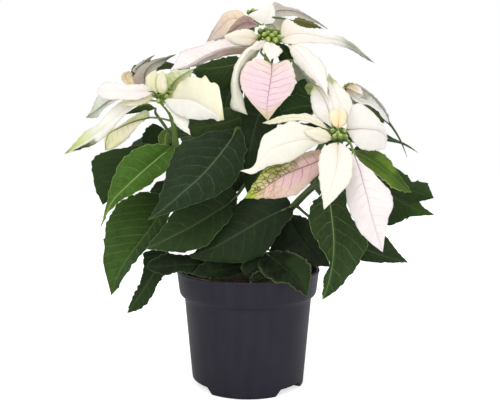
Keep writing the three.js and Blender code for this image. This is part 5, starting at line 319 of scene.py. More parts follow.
     [(77.3,-73.2,180.6), (78.7,-83.9,165), (87.6,-90.4,151.3), (91.5,-96.5,142.5), (85.8,-103.4,130.2), (77.1,-109.6,120.6), (66,-114.6,109.6)],
     [(66.3,-70,203.6), (64.3,-74,192.7), (64.6,-66,180.9)], 1.7),
    ('leaf_right_low', 'leaf_right_low', 'leaf', 1,
     [(79.6,-30,139.8), (88.7,-39,133.3), (99,-44.6,129.1), (109.7,-46.6,125.1), (121.9,-45,121), (136.9,-40,116.6)],
     [(91.5,-36.6,145), (103.5,-41.4,144), (115.5,-43.2,140.8), (125.9,-43.4,128)],
     [(87.5,-36.8,121.7), (98.7,-42.5,118.2), (110.1,-45.1,117.5), (122.9,-44.3,117.2)],
     [(42.1,-32,164.3), (54,-34,154.2), (67.2,-32,145.3), (79.6,-30,139.8)], 1.5),
    ('leaf_far_right', 'twig_far_right', 'leaf', 1,
     [(112.6,4,193.4), (123.4,3,187.1), (133.8,0.2,181.4), (143.6,-4.6,176.8), (152.8,-11.4,173.8), (163,-20,170)],
     [(125.7,6.7,199.2), (137.5,3.9,193.4), (147.7,-2,184.7), (158.7,-8.3,182.3)],
     [(123,4.8,178.4), (132.3,2.5,169.9), (143.6,-2.1,163.9), (154.2,-9.9,166.3)],
     [(103.4,15,197.5), (108,9,195.9), (112.6,4,193.4)], 1.5),
    ('leaf_far_right_low', 'twig_far_right', 'leaf_tip', 1,
     [(113.1,6,184.2), (122.2,5.3,177), (130.9,2.3,170.3), (139.8,-2.9,164.5), (149.8,-10.3,159.4), (163.9,-20,155.1)],
     [(126,6.6,182.3), (138.4,4.4,177.5), (151.1,-0.4,170.6), (155.9,-9.1,161.9)],
     [(120.3,8.1,162.9), (127,7.6,143.5), (138.3,0.7,146.3), (145.9,-8.7,152.2)],
     [(95.8,26,201.2), (104.3,14,192.9), (113.1,6,184.2)], 1.5),
    ('leaf_right_bright', 'leaf_right_bright', 'leaf_bright', 1,
     [(83.9,-74,212.8), (90.5,-67.6,209.5), (99.7,-61.6,204.9), (109.8,-56,198.5), (120.1,-50.9,190.9), (129.6,-46.2,182.6), (138.2,-42,176.7)],
     [(92.4,-65.8,212.7), (105.2,-57.2,212.1), (115.9,-51.5,205.8), (124.3,-48.1,194.9), (132.4,-44.7,184.2)],
     [(90.8,-68.5,204.7), (98.8,-62.5,197.2), (109.5,-56.5,189.5), (119,-50.7,182.1), (129.8,-45.8,177.9)],
     [(70.9,-76,213.3), (77.2,-76,214.1), (83.9,-74,212.8)], 1.5),
    ('leaf_right_inner', 'twig_low', 'leaf', 1,
     [(35.6,-12,155.1), (39.6,-19.9,145.4), (45.3,-26.9,135.8), (52.7,-32.9,127.1), (60.8,-37.9,119.3), (70.3,-42,113.3)],
     [(48.5,-17.5,153.5), (55.9,-23.7,147.2), (58.8,-30.6,136.4), (66.5,-36.6,122.9)],
     [(25.6,-18.4,139.8), (21,-24.3,126.5), (31.3,-30.5,117), (51.6,-36.8,113.4)],
     [(7.2,18.5,130.7), (17,6,146), (26,-4,158), (35.6,-12,155.1)], 1.4),
    ('leaf_rim_right', 'leaf_rim_right', 'leaf_mid', 1,
     [(13.7,-38,125.4), (22.5,-54.5,121.5), (30.1,-67.1,117.2), (37.3,-75.9,111.6), (43,-80.9,104.6), (47.4,-82,96.8)],
     [(30,-52.4,128.7), (42.5,-64,126.6), (50.4,-72.7,120.8), (49.6,-79.4,107.5)],
     [(8.4,-51.3,114.1), (18.5,-64,106.6), (31,-74.3,106), (39.9,-80,101.1)],
     [(2.7,2,118.4), (8,-16,122.5), (13.7,-38,125.4)], 1.4),
    ('leaf_rim_small', 'twig_low', 'leaf', -1,
     [(20.4,-42,114), (15.2,-49.1,111.1), (10,-54,108.7), (5,-56.6,106.7), (0.8,-57,104.7)],
     [(16,-48.6,113.6), (8.4,-53.2,112.4), (3.3,-56,109.1)],
     [(18.5,-48.7,108.5), (11.7,-53.6,105.2), (5.4,-56.4,104.1)],
     [(8.7,14.7,99), (15,1,108), (17,-20,109), (20.4,-42,114)], 1),
    ('leaf_rim_centre', 'twig_low', 'leaf', -1,
     [(20.8,-32,122.6), (14.5,-40,119.7), (8.5,-46,116.5), (2.5,-50,112.6), (-2.1,-52,107.9)],
     [(12,-39.1,123.4), (0,-44.1,120.4), (-5.9,-48.3,114.4)],
     [(21.4,-39.3,116.5), (15.3,-45.1,110.7), (5.9,-49.4,107.8)],
     [(8.1,15.7,109.2), (16,3,121), (20,-14,122), (20.8,-32,122.6)], 1.1),
    ('leaf_top_left_dark', 'leaf_top_left_dark', 'leaf', -1,
     [(-4.5,4,290.1), (-12.5,2.6,287.7), (-21.4,1,285.8), (-31.1,-1,284.3), (-39.8,-3.4,283.2), (-48.8,-6,282.2)],
     [(-10.7,4.9,295.5), (-21.4,3.3,294), (-32.9,0.9,290.6), (-42.5,-2,286.8)],
     [(-11.7,6.2,276.1), (-22.5,6.6,267.3), (-34.1,3.3,270.6), (-44.5,-0.7,275.7)],
     [(16.1,2,281.1), (6.3,3,286.4), (-4.5,4,290.1)], 1.4),
    ('leaf_upper_inner', 'twig_inner', 'leaf', -1,
     [(-7.2,8,276.3), (-13.6,8.2,269.2), (-18.1,8.2,259.3), (-20.4,7.8,249.4), (-21.7,7,239.5), (-23.6,6,229.6)],
     [(-18.1,9.6,274.6), (-27.2,10.6,267.5), (-30,10.1,256.7), (-29.1,8.7,244.1)],
     [(-4.5,10.3,263.9), (-6.4,10.8,253.1), (-10,10.1,244.1), (-15.4,8.5,235.9)],
     [(20.5,12,262.2), (6.3,10,270.2), (-7.2,8,276.3)], 1.4),
    ('leaf_upper_left', 'leaf_upper_left', 'leaf_mid', -1,
     [(1.8,-4,244.5), (-7,-10.4,240.8), (-15.7,-15.8,237.2), (-25.1,-20,234.6), (-35.4,-23.1,232.8), (-44.7,-25.1,231.9), (-52.1,-26,232.8)],
     [(-3.5,-7.7,249.2), (-14.9,-12.3,249.1), (-27,-16.4,246.7), (-39,-19.6,244), (-49.6,-22.1,241)],
     [(-0.9,-8.2,231.2), (-12.3,-13.7,227.7), (-25.3,-17.8,223.8), (-38.2,-20.7,221.2), (-48.4,-23.3,223.8)],
     [(13.5,4,240.3), (8.1,0,244.7), (1.8,-4,244.5)], 1.5),
    ('leaf_inner_dark', 'leaf_inner_dark', 'leaf', -1,
     [(17.4,-14,258.9), (12.1,-21.8,248.2), (6.8,-27.8,234.4), (3.4,-31.8,220.8), (1.3,-33.8,207.3), (0,-34,193.2)],
     [(5.2,-20.1,257.7), (-5.1,-24.9,249), (-6,-29.9,229.3), (-4.3,-33,208.1)],
     [(28.6,-19.4,248.3), (24.1,-25.1,231.1), (12.8,-29.9,212.3), (6,-32.4,198.7)],
     [(14.3,2,252.7), (18.6,-6,258.5), (17.4,-14,258.9)], 1.5),
    ('leaf_inner_right_a', 'twig_inner', 'leaf', 1,
     [(62,-6,252.4), (56.1,-1.7,257), (51,2,262.5), (46.8,5.3,268.1), (45.1,8,273.2)],
     [(53.6,-0.7,252.6), (43.2,4,256.4), (38.8,7,264.6)],
     [(61.6,-0.4,261.5), (57.4,3.6,267.9), (51.3,6.6,273)],
     [(19.6,12.5,246), (35.1,4,247.5), (50.8,-2,250.8), (62,-6,252.4)], 1.1),
    ('leaf_inner_right_b', 'twig_inner', 'leaf', -1,
     [(60.7,-19,248.4), (52.3,-14.9,250.3), (43,-12,249.5), (32.5,-10.4,246.1), (20.7,-10,240.4)],
     [(53.3,-13.8,255.5), (41.3,-10.5,257), (29.1,-9,251.8)],
     [(56.1,-13.2,242.5), (45.8,-10.4,242.2), (33.5,-9.5,241.7)],
     [(18.8,13,236), (36,3,235.8), (51.8,-12,240.8), (60.7,-19,248.4)], 1.3),
    ('leaf_top_right_grey', 'twig_inner', 'bract_green', -1,
     [(39.2,2,291.6), (43.9,5.3,285.8), (49.6,8,278.9), (55.3,10.3,273.8), (61.8,12,269.4)],
     [(47.6,6,285.4), (54.6,9,279.5), (60.8,11.3,273.4)],
     [(40.5,6.3,281.9), (44.8,9.7,272.4), (54.5,11.1,269.8)],
     [(20.8,9.5,285.3), (29.5,4,290.1), (39.2,2,291.6)], 1.2),
    ('leaf_right_grey', 'twig_inner', 'bract_green', 1,
     [(73.3,-22,251.7), (67.7,-17,257.1), (61.2,-12,262.5), (55.6,-7,265.9), (50.2,-2,267.5)],
     [(68.7,-16,262.3), (61.3,-10.9,268.2), (53.8,-6,270.8)],
     [(67.9,-16,251.9), (60.6,-10.6,255.7), (53,-5.9,261.2)],
     [(19.6,12,253.2), (42.9,12,247.8), (65.8,-4,244.5), (73.3,-22,251.7)], 1.2),
    ('leaf_top_inner', 'twig_inner', 'leaf', 1,
     [(25.2,10,308.5), (29.9,12.2,304.3), (33.6,14,299.6), (36.9,15.3,294.9), (39.2,16,290)],
     [(34.4,13.2,306.2), (40,15.3,301.1), (41.5,16.2,295)],
     [(26.3,13.1,302.6), (26.9,15.6,295.8), (31.9,16.6,290.5)],
     [(20.8,9,287), (23.5,10,299.6), (25.2,10,308.5)], 1.2),
    ('leaf_inner_low', 'twig_inner', 'leaf', -1,
     [(6.4,12,204.1), (0.9,11.8,196.7), (-5.5,11.4,189.4), (-12.9,10.6,181.6), (-20.2,9.4,175.2), (-29.3,8,169.4)],
     [(-1.8,13.1,202.2), (-10.1,12.8,194.8), (-17.5,11.9,186.6), (-24.8,10.5,177.9)],
     [(10.1,13.3,193), (4.2,13,183.8), (-3.7,12.1,176.9), (-14.7,10.4,171.9)],
     [(12.8,11,204.1), (10.1,13,205.9), (6.4,12,204.1)], 1.3),
    ('leaf_back_10', 'twig_low', 'leaf', 1,
     [(3.6,46.2,121.7), (1.8,59.1,120.6), (0,71.9,118.2), (-1.8,84.3,114.2), (-3.4,96.2,108.8), (-5,107.2,101.8), (-6.4,117.2,93.3), (-7.6,125.9,83.5)],
     [(-18.5,60.1,124.2), (-29.3,73.8,122.7), (-32.5,86.9,118.2), (-29.8,98.7,111.4), (-23.9,109.2,103), (-16.2,118.3,93.6)],
     [(21.1,65.7,124.2), (27.6,81.8,122.7), (27.1,95.3,118.2), (21.3,105.9,111.4), (12.7,114.4,103), (2.8,121,93.6)],
     [(7.8,16.8,117.5), (5.7,31.5,121.4), (3.6,46.2,121.7)], 1.5),
    ('leaf_back_11', 'twig_low', 'leaf', 1,
     [(33.8,38.3,130), (44.2,46.3,129.4), (54.4,54.4,127.6), (64.5,62.2,124.3), (74.1,69.7,119.5), (83.2,76.8,113.2), (91.6,83.4,105.4), (99,89.2,96.3)],
     [(35,63.8,133.1), (41.7,79.7,132.2), (51.5,89.1,128.4), (63.3,93,122.3), (75.6,93.6,114.7), (87.7,92.2,105.9)],
     [(58.9,33.3,133.1), (75.9,35.9,132.2), (87.4,43.1,128.4), (94.1,53.6,122.3), (97.7,65.4,114.7), (99.2,77.5,105.9)],
     [(7.5,17.6,124.1), (20.6,28,129.1), (33.8,38.3,130)], 1.5),
    ('leaf_back_12', 'twig_low', 'leaf', 1,
     [(-26.7,38.1,139), (-38.1,44.7,138.9), (-49.4,51.2,137.3), (-60.5,57.6,134.3), (-71.1,63.8,129.7), (-81.2,69.5,123.5), (-90.4,74.9,115.7), (-98.6,79.6,106.6)],
     [(-50.7,29.6,142.6), (-68,29.9,142.1), (-80.5,35.5,138.5), (-88.6,45,132.6), (-93.9,56.3,125), (-97.1,68,116.2)],
     [(-31.4,63.2,142.6), (-40.2,78,142.1), (-51.4,86,138.5), (-63.7,88.3,132.6), (-76,87.2,125), (-87.8,84.1,116.2)],
     [(7.2,18.5,130.7), (-9.8,28.3,137.3), (-26.7,38.1,139)], 1.5),
    ('leaf_rear_dark', 'twig_far_right', 'leaf', 1,
     [(109.5,0,228.6), (116.7,0,225.5), (123.9,0,222.8), (131.2,0,220.2), (138.4,0,217.8), (145.7,0,214.2), (153.3,0,209.1)],
     [(116.9,1.5,228.5), (124.2,1.7,226.2), (131.3,0.9,222.1), (138.5,0.6,219), (145.8,0.4,215)],
     [(115.9,-1.8,222), (123.7,-1.5,219.7), (131,-0.9,218.4), (138.3,-0.6,216.7), (145.6,-0.4,213.3)],
     [(84.3,39,204.9), (93.6,38,214.6), (103.6,36,223.2), (109.5,0,228.6)], 1.2),
    ('leaf_back_1', 'twig_back_left', 'leaf', 1,
     [(-49.1,61.1,225.6), (-62.5,66,224.9), (-75.6,70.8,222.1), (-88.2,75.4,217), (-99.7,79.5,209.6), (-109.7,83.2,200.1), (-117.7,86.1,188.7), (-123.4,88.2,175.7)],
     [(-73.5,47.4,228.8), (-92.2,44.3,226.7), (-106.3,47.8,220.6), (-115.6,56.1,211.4), (-121.2,66.4,200.4), (-123.7,77.4,188.3)],
     [(-58.9,87.4,228.8), (-71.3,101.7,226.7), (-84.3,108.1,220.6), (-96.8,107.7,211.4), (-107.7,103.4,200.4), (-116.7,96.6,188.3)],
     [(-23.3,51.8,219.7), (-36.2,56.4,224.3), (-49.1,61.1,225.6)], 1.5),
    ('leaf_back_3', 'twig_back_left', 'leaf', 1,
     [(-57.3,71.6,288.3), (-67.3,77.4,291.6), (-77.6,83.3,293.3), (-88,89.3,293.1), (-98.2,95.2,291), (-108,100.9,286.9), (-117,106,280.8), (-124.8,110.6,272.9)],
     [(-77.8,63.3,295.7), (-93.4,63.6,298.6), (-105.3,69,298), (-113.6,78.2,294.4), (-119.3,88.8,288.7), (-123,99.8,281.4)],
     [(-60.4,93.5,295.7), (-68.4,106.9,298.6), (-79,114.4,298), (-91.1,117,294.4), (-103.2,116.7,288.7), (-114.6,114.4,281.4)],
     [(-42.3,63,278.3), (-49.8,67.3,284.5), (-57.3,71.6,288.3)], 1.5),
    ('leaf_back_8', 'twig_back_left', 'leaf', 1,
     [(-59.5,55,264.8), (-71.1,51.9,266.1), (-82.6,48.8,265.6), (-94,45.8,263.4), (-104.9,42.9,259.2), (-114.9,40.2,253.2), (-123.8,37.8,245.5), (-131.1,35.9,236.1)],
     [(-69.2,34.4,269.7), (-80.6,23.5,270.2), (-92.6,19,267.4), (-104.2,19.8,261.8), (-114.7,23.6,254.4), (-123.7,29.2,245.7)],
     [(-78.2,68.1,269.7), (-93.6,71.8,270.2), (-106.2,69.7,267.4), (-115.8,63.2,261.8), (-123,54.7,254.4), (-128,45.4,245.7)],
     [(-35.9,61.4,255.9), (-47.7,58.2,261.9), (-59.5,55,264.8)], 1.5),
    ('leaf_back_9', 'twig_back_left', 'leaf', 1,
     [(-39.7,77.7,288.4), (-37.8,88.8,292.4), (-35.7,100.4,294.6), (-33.6,112.2,294.8), (-31.6,123.9,292.9), (-29.6,135,288.9), (-27.8,145.1,282.6), (-26.3,153.8,274.5)],
     [(-54,93.5,296.4), (-58.8,108,299.9), (-57.7,121,299.7), (-52.1,132.1,296.3), (-44.3,141.3,290.6), (-35.4,148.5,283.2)],
     [(-20.9,87.6,296.4), (-11.4,99.6,299.9), (-8,112.3,299.7), (-9.5,124.6,296.3), (-13.7,135.9,290.6), (-19.5,145.7,283.2)],
     [(-42.3,63,278.3), (-41,70.3,284.4), (-39.7,77.7,288.4)], 1.5),
    ('leaf_back_4', 'twig_back_right', 'leaf', 1,
     [(39.3,82.6,201), (46.5,94.3,201.2), (53.7,105.8,199.4), (60.7,116.9,195.2), (67.1,127.1,188.7), (72.7,136.1,180), (77.2,143.4,169.3), (80.5,148.7,157.1)],
     [(31.4,107.8,205.1), (32.5,126,204), (38.8,138.7,198.9), (48.6,146.2,190.7), (59.5,150,180.5), (70.4,150.6,169.1)],
     [(65.4,86.6,205.1), (81.2,95.6,204), (89.9,106.8,198.9), (92.3,118.9,190.7), (90.9,130.4,180.5), (86.7,140.4,169.1)],
     [(27,63.1,194.4), (33.2,72.9,199.1), (39.3,82.6,201)], 1.5),
    ('leaf_back_5', 'twig_back_right', 'leaf', 1,
     [(60.3,80,226.8), (72.8,83.6,228), (85.4,87.2,227.3), (97.8,90.8,224.4), (109.4,94.1,219.2), (119.9,97.1,211.9), (128.8,99.7,202.6), (135.7,101.6,191.6)],
     [(70.5,102.4,231.9), (83,114.5,232.1), (95.9,119.5,228.4), (108.3,118.9,221.6), (119.3,114.9,212.8), (128.5,109,202.6)],
     [(80.9,66.4,231.9), (97.8,62.8,232.1), (111.4,65.4,228.4), (121.6,72.5,221.6), (128.9,81.7,212.8), (133.5,91.7,202.6)],
     [(35,72.8,217.2), (47.6,76.4,223.7), (60.3,80,226.8)], 1.5),
    ('leaf_back_6', 'twig_back_right', 'leaf', 1,
     [(38.5,91.8,251.2), (36.9,100.8,254.4), (35.3,110.2,256.2), (33.6,119.8,256.4), (31.9,129.2,254.8), (30.4,138.2,251.5), (28.9,146.4,246.5), (27.7,153.4,239.9)],
     [(21.4,99.7,258.1), (12.9,109.4,261), (9.9,119.8,260.8), (11.6,129.9,257.9), (15.7,139,253.1), (21.2,147,247)],
     [(51.9,105.1,258.1), (56.6,117.2,261), (55.9,127.9,260.8), (50.9,136.8,257.9), (43.9,144,253.1), (35.9,149.5,247)],
     [(40.8,78.7,242.2), (39.7,85.3,247.6), (38.5,91.8,251.2)], 1.5),
    ('leaf_back_7', 'twig_back_right', 'leaf', 1,
     [(51.9,87.6,235.5), (60,94.4,235.1), (68,101.1,233), (75.5,107.4,229.2), (82.5,113.3,223.8), (88.5,118.3,216.7), (93.3,122.4,208.2), (96.8,125.3,198.7)],
     [(52.3,108.2,237.9), (57.3,121.2,236.3), (64.7,128.8,231.8), (73.5,131.8,225.1), (82.1,131.7,216.9), (90,129.3,208)],
     [(72.2,84.4,237.9), (85.9,87.1,236.3), (94.7,93.1,231.8), (99.1,101.2,225.1), (100.5,109.7,216.9), (99.6,117.9,208)],
     [(38.4,76.3,231.8), (45.2,82,234.8), (51.9,87.6,235.5)], 1.5),
    ('bract_back_a', 'flower_back', 'bract', 1,
     [(9.2,78.1,341.1), (14.1,85,342.2), (19,92.1,342), (23.8,99,340.4), (28.4,105.5,337.3), (32.6,111.5,332.8), (36.2,116.6,326.9), (39,120.6,319.9)],
     [(9.1,89.8,343.6), (11,100.2,344.1), (14.5,109,342.4), (19.8,115.1,338.7), (25.9,119.2,333.4), (32.5,120.9,327)],
     [(20.2,82,343.6), (29.4,87.3,344.1), (36.4,93.6,342.4), (40.4,100.7,338.7), (42.1,107.8,333.4), (41.5,114.6,327)],
     [(4.9,72,340.5), (7.1,75,340.1), (9.2,78.1,341.1)], 1.5),
    ('bract_back_b', 'flower_back', 'bract', 1,
     [(3.7,79,341.9), (2,88.5,344.1), (0.3,98.4,344.9), (-1.4,108.2,343.9), (-3.1,117.6,341.1), (-4.6,126.4,336.5), (-6,134,330.2), (-7.1,140.2,322.4)],
     [(-5.8,88.2,345.9), (-12.7,98.2,347.5), (-17,108.5,346.5), (-17.8,118.3,342.9), (-16.3,127.2,337.4), (-12.4,134.5,330.3)],
     [(9.5,90.9,345.9), (12.6,102.7,347.5), (13.1,113.8,346.5), (10.5,123.3,342.9), (6,131.1,337.4), (-0.1,136.7,330.3)],
     [(4.9,72,340.5), (4.3,75.5,340.5), (3.7,79,341.9)], 1.5),
    ('bract_back_c', 'flower_back', 'bract_pink', 1,
     [(-0.8,77.2,340.1), (-6.6,82.4,339.9), (-12.2,87.4,338.6), (-17.6,92.3,336), (-22.6,96.8,332.1), (-26.9,100.6,327), (-30.3,103.7,320.9), (-32.7,105.9,313.9)],
     [(-11.6,78.4,341.1), (-20.8,81.1,340.2), (-28.1,85,337.5), (-32.5,90.1,332.9), (-34.8,95.4,327.2), (-34.7,100.8,320.7)],
     [(-3.2,87.8,341.1), (-6.9,96.7,340.2), (-11.4,103.5,337.5), (-16.9,107.4,332.9), (-22.5,109.1,327.2), (-27.9,108.4,320.7)],
     [(4.9,72,340.5), (2.1,74.6,339.6), (-0.8,77.2,340.1)], 1.5),
    ('bract_rear_a', 'flower_rear', 'bract', 1,
     [(101.8,74.9,268.2), (105.4,81.7,267.8), (109,88.4,266.1), (112.3,94.6,263), (115.3,100.2,258.6), (117.8,104.9,253), (119.6,108.4,246.4), (120.8,110.6,239.1)],
     [(100.4,85.7,268.9), (100.8,95.3,267.5), (102.7,103.1,264.2), (106.4,108.3,259.2), (110.8,111.3,252.9), (115.8,111.9,246.1)],
     [(111.6,79.8,268.9), (119.3,85.5,267.5), (124.7,91.4,264.2), (127,97.4,259.2), (127,102.7,252.9), (124.7,107.2,246.1)],
     [(98.1,68,269), (100,71.5,267.9), (101.8,74.9,268.2)], 1.5),
    ('bract_rear_b', 'flower_rear', 'bract_pink', 1,
     [(97.1,75.3,269.5), (95.9,84.1,270.6), (94.7,92.8,270.2), (93.5,101.4,268.3), (92.3,109.4,264.8), (91.3,116.6,259.7), (90.5,122.6,253.3), (89.9,127.1,245.6)],
     [(88.5,84.2,272.1), (82.4,93.4,272.4), (78.8,102.5,270.4), (78.6,110.8,266.1), (80.4,117.8,260.2), (84.5,123.3,253.2)],
     [(102.9,86.2,272.1), (106.3,96.7,272.4), (107.2,106.5,270.4), (105.2,114.5,266.1), (101.5,120.8,260.2), (96.1,124.9,253.2)],
     [(98.1,68,269), (97.6,71.7,268.5), (97.1,75.3,269.5)], 1.5),
    ('bract_rear_c', 'flower_rear', 'bract', 1,
     [(92.5,72.8,269.5), (86.6,77.7,270.6), (80.7,82.6,270.6), (74.9,87.5,269.4), (69.3,92.2,267), (64,96.6,263.4), (59.4,100.5,258.6), (55.5,103.8,252.8)],
     [(81.9,73.5,271.9), (72.6,75.8,272.6), (64.9,79.7,271.4), (59.7,85,268.4), (56.4,91,264.1), (55.1,97.5,258.8)],
     [(89.9,83.1,271.9), (86,91.8,272.6), (80.9,98.7,271.4), (74.7,102.9,268.4), (68.2,105.2,264.1), (61.7,105.2,258.8)],
     [(98.1,68,269), (95.3,70.4,268.5), (92.5,72.8,269.5)], 1.5),
    ('leaf_left_inner', 'leaf_left_inner', 'leaf', -1,
     [(-57.2,-16,183), (-64.5,-14.2,180.2), (-71.8,-12,178.3), (-80.2,-9.2,176.7), (-88.2,-6,174.7)],
     [(-64.5,-13.1,185.9), (-72.8,-10.7,184.9), (-81.2,-7.9,183.3)],
     [(-63.8,-12.6,172.1), (-72.1,-10.2,169.2), (-81.4,-7.6,168.5)],
     [(-52.3,-11,188.9), (-53.7,-15,186.5), (-57.2,-16,183)], 1.3),
    ('leaf_inner_mid', 'twig_inner', 'leaf', -1,
     [(15.8,-16,203.2), (11.3,-22,195.6), (7.3,-27,188.1), (3.9,-31,180.6), (0.9,-34,171)],
     [(5.2,-19.7,205.1), (-2.6,-24.4,196.6), (-4.3,-28.9,186.9)],
     [(20.9,-20.1,193.8), (17.3,-24.8,183.6), (10.3,-29.4,176.2)],
     [(12.8,11,204.1), (18.3,5,207.9), (18.5,-6,207.3), (15.8,-16,203.2)], 1.2),
    ('leaf_rim_mid', 'twig_low', 'leaf', -1,
     [(3.6,-14,111.3), (-6.1,-27.9,111.3), (-16.3,-39.3,111.3), (-27,-48.1,111.3), (-37.5,-54.3,111.3), (-46.4,-58,110.7)],
     [(-6.1,-26.2,119.8), (-18.9,-37.2,120.9), (-30.4,-46.2,119.9), (-40.1,-53,117)],
     [(-4.4,-29.5,106.7), (-15.4,-41.5,104.4), (-28.6,-50.1,105.2), (-39.1,-55.7,107.4)],
     [(7.6,17.2,120.8), (14.5,2,117), (11,-9,117), (3.6,-14,111.3)], 1.2),
    ('bract_right_inner_cream', 'flower_right', 'bract_s', -1,
     [(64.9,-92,222.4), (58.6,-100,223.5), (52.7,-106,225), (47.1,-110,226.5), (41.1,-112,227.5)],
     [(58.7,-99,228.4), (52,-105,230.2), (45.7,-109.4,229.3)],
     [(58,-99.1,219.2), (51.4,-105.1,220.6), (45,-109.3,223.9)],
     [(69.9,-86,222), (67.4,-89,221.2), (64.9,-92,222.4)], 0.9),
    ('bract_top_front_tiny', 'flower_top', 'bract_s', -1,
     [(16.3,-20,305.3), (11.3,-32.9,301.2), (6.6,-42.2,297.6), (0.8,-48,294.4)],
     [(11.8,-32.1,304), (5.4,-41.4,300.3)],
     [(12.4,-31.8,298.1), (6.6,-41.3,294.6)],
     [(17.5,-8,305.2), (16.9,-14,303.8), (16.3,-20,305.3)], 0.9),
    ('bract_left_mid_cream', 'flower_left', 'bract_s', -1,
     [(-80.3,-20,259), (-86.5,-30.8,257.2), (-93,-38,255.1), (-99.9,-41.8,252.8), (-107.4,-42,250.8)],
     [(-86.6,-30,261), (-93.1,-37.1,259.7), (-100.8,-41,256.6)],
     [(-85.5,-32.6,252.4), (-91.9,-40.2,249.6), (-99.7,-43.2,249.1)],
     [(-76.9,-20,257.7), (-78.6,-20,257.9), (-80.3,-20,259)], 0.9),
    ('leaf_back_2', 'twig_back_left', 'leaf', 1,
     [(-38.7,79.7,246.6), (-43.8,92.3,248.2), (-48.9,105,247.7), (-53.9,117.4,244.7), (-58.6,129.1,239.2), (-62.9,139.5,231.4), (-66.4,148.2,221.3), (-69,154.7,209.5)],
     [(-62.9,87.8,252.3), (-76.6,99.4,252.6), (-83.3,112.4,248.8), (-84,125.3,241.6), (-81.2,137,232.2), (-75.9,146.9,221.2)],
     [(-27,102.3,252.3), (-25.1,120.2,252.6), (-29.3,134.2,248.8), (-37.8,144,241.6), (-48,150.4,232.2), (-58.6,153.9,221.2)],
     [(-29.7,57.3,236.8), (-34.2,68.5,243.2), (-38.7,79.7,246.6)], 1.5),
    ('leaf_side_right', 'twig_far_right', 'leaf', -1,
     [(96.2,16,196.5), (99.5,6.8,187.8), (102,-0.8,178.3), (103.9,-6.8,168.9), (105.1,-11.2,159.5), (105.6,-14,149.1)],
     [(88,9.2,187.7), (86.3,2.5,175.3), (89.2,-3.6,164.1), (96.6,-9.2,154.8)],
     [(112.7,9.4,187.7), (119.9,2.7,176.2), (119.8,-3.7,165), (113.5,-9.4,155.7)],
     [(97.6,23.7,200.5), (96.9,19.8,201.5), (96.2,16,196.5)], 1.3),
    ('leaf_side_rear', 'twig_far_right', 'leaf', 1,
     [(98.4,44,204), (106.5,52.2,206.1), (113.5,59,206.9), (120.4,64.6,205.8), (127.2,69,202.2), (132.9,72,196)],
     [(105.7,54.5,213.9), (113.8,61.8,216.2), (120.7,66.9,213.2), (128.4,70.6,207.6)],
     [(106.3,50.5,197.9), (113.2,56.6,194.7), (120.1,62,192.5), (127,67,192.2)],
     [(78.1,45.6,204.7), (88.3,44.8,206.3), (98.4,44,204)], 1.2),
    ('leaf_left_wedge', 'leaf_left_upper_dark', 'olive', -1,
     [(-80.5,-13,248.1), (-86.3,-15.1,249), (-93,-17,248.1), (-99.8,-18.6,245.8), (-106.5,-20,242.9)],
     [(-86.4,-14.5,252.3), (-93.1,-16.3,251.4), (-99.8,-18.2,247.7)],
     [(-86.5,-14.5,245.8), (-93.2,-16.3,244.8), (-99.9,-18.2,243.7)],
     [(-66.5,-8,220.7), (-73.8,-9,233.4), (-81.3,-11,244.3), (-80.5,-13,248.1)], 1.8),
    ('leaf_rear_green', 'flower_rear', 'leaf_bright', 1,
     [(103.4,70,266.7), (112.8,72.1,258.4), (122.1,73,252.5), (130.1,72.6,245.5), (136.6,71,236.6)],
     [(113.9,72.6,260.6), (124.2,73.9,256.5), (133.3,73.4,247.7)],
     [(112,72.8,255.4), (120.3,73.9,248.3), (129,73.7,240.5)],
     None, 1.3),
]


# ---------------------------------------------------------------------------------------------
# helpers
# ---------------------------------------------------------------------------------------------
def rng_of(name):
    return np.random.default_rng(zlib.crc32(name.encode()))


def lin(c):
    c = np.asarray(c, float) / 255.0
    return np.where(c <= 0.04045, c / 12.92, ((c + 0.055) / 1.055) ** 2.4)


def smooth(a, b, x):
    t = np.clip((x - a) / (b - a), 0, 1)
    return t * t * (3 - 2 * t)


def curve(points, t):
    p = np.asarray(points, float)
    n = len(p)
    ext = np.vstack([2 * p[0] - p[1], p, 2 * p[-1] - p[-2]])
    x = np.clip(np.asarray(t, float) * (n - 1), 0, n - 1 - 1e-9)
    i = x.astype(int)
    u = (x - i)[:, None]
    a, b, c, d = ext[i], ext[i + 1], ext[i + 2], ext[i + 3]
    return 0.5 * (2 * b + (c - a) * u + (2 * a - 5 * b + 4 * c - d) * u * u + (3 * b - a - 3 * c + d) * u ** 3)


def waves(x, rng, low, high, count):
    """Smooth noise of x, about -1 to 1, from a few sines."""
    out = np.zeros_like(x, float)
    for k in np.linspace(low, high, count):
        out += rng.uniform(0.5, 1.0) * np.sin(2 * math.pi * (k * x + rng.uniform(0, 1)))
    return out / (0.75 * count) ** 0.5 / 1.2


def unit(v):
    return v / np.maximum(np.linalg.norm(v, axis=-1, keepdims=True), 1e-9)


def stops(table, x):
    at = [s[0] for s in table]
    c = np.array([lin(s[1]) for s in table])
    return np.stack([np.interp(x, at, c[:, k]) for k in range(3)], -1)


MATS = {}


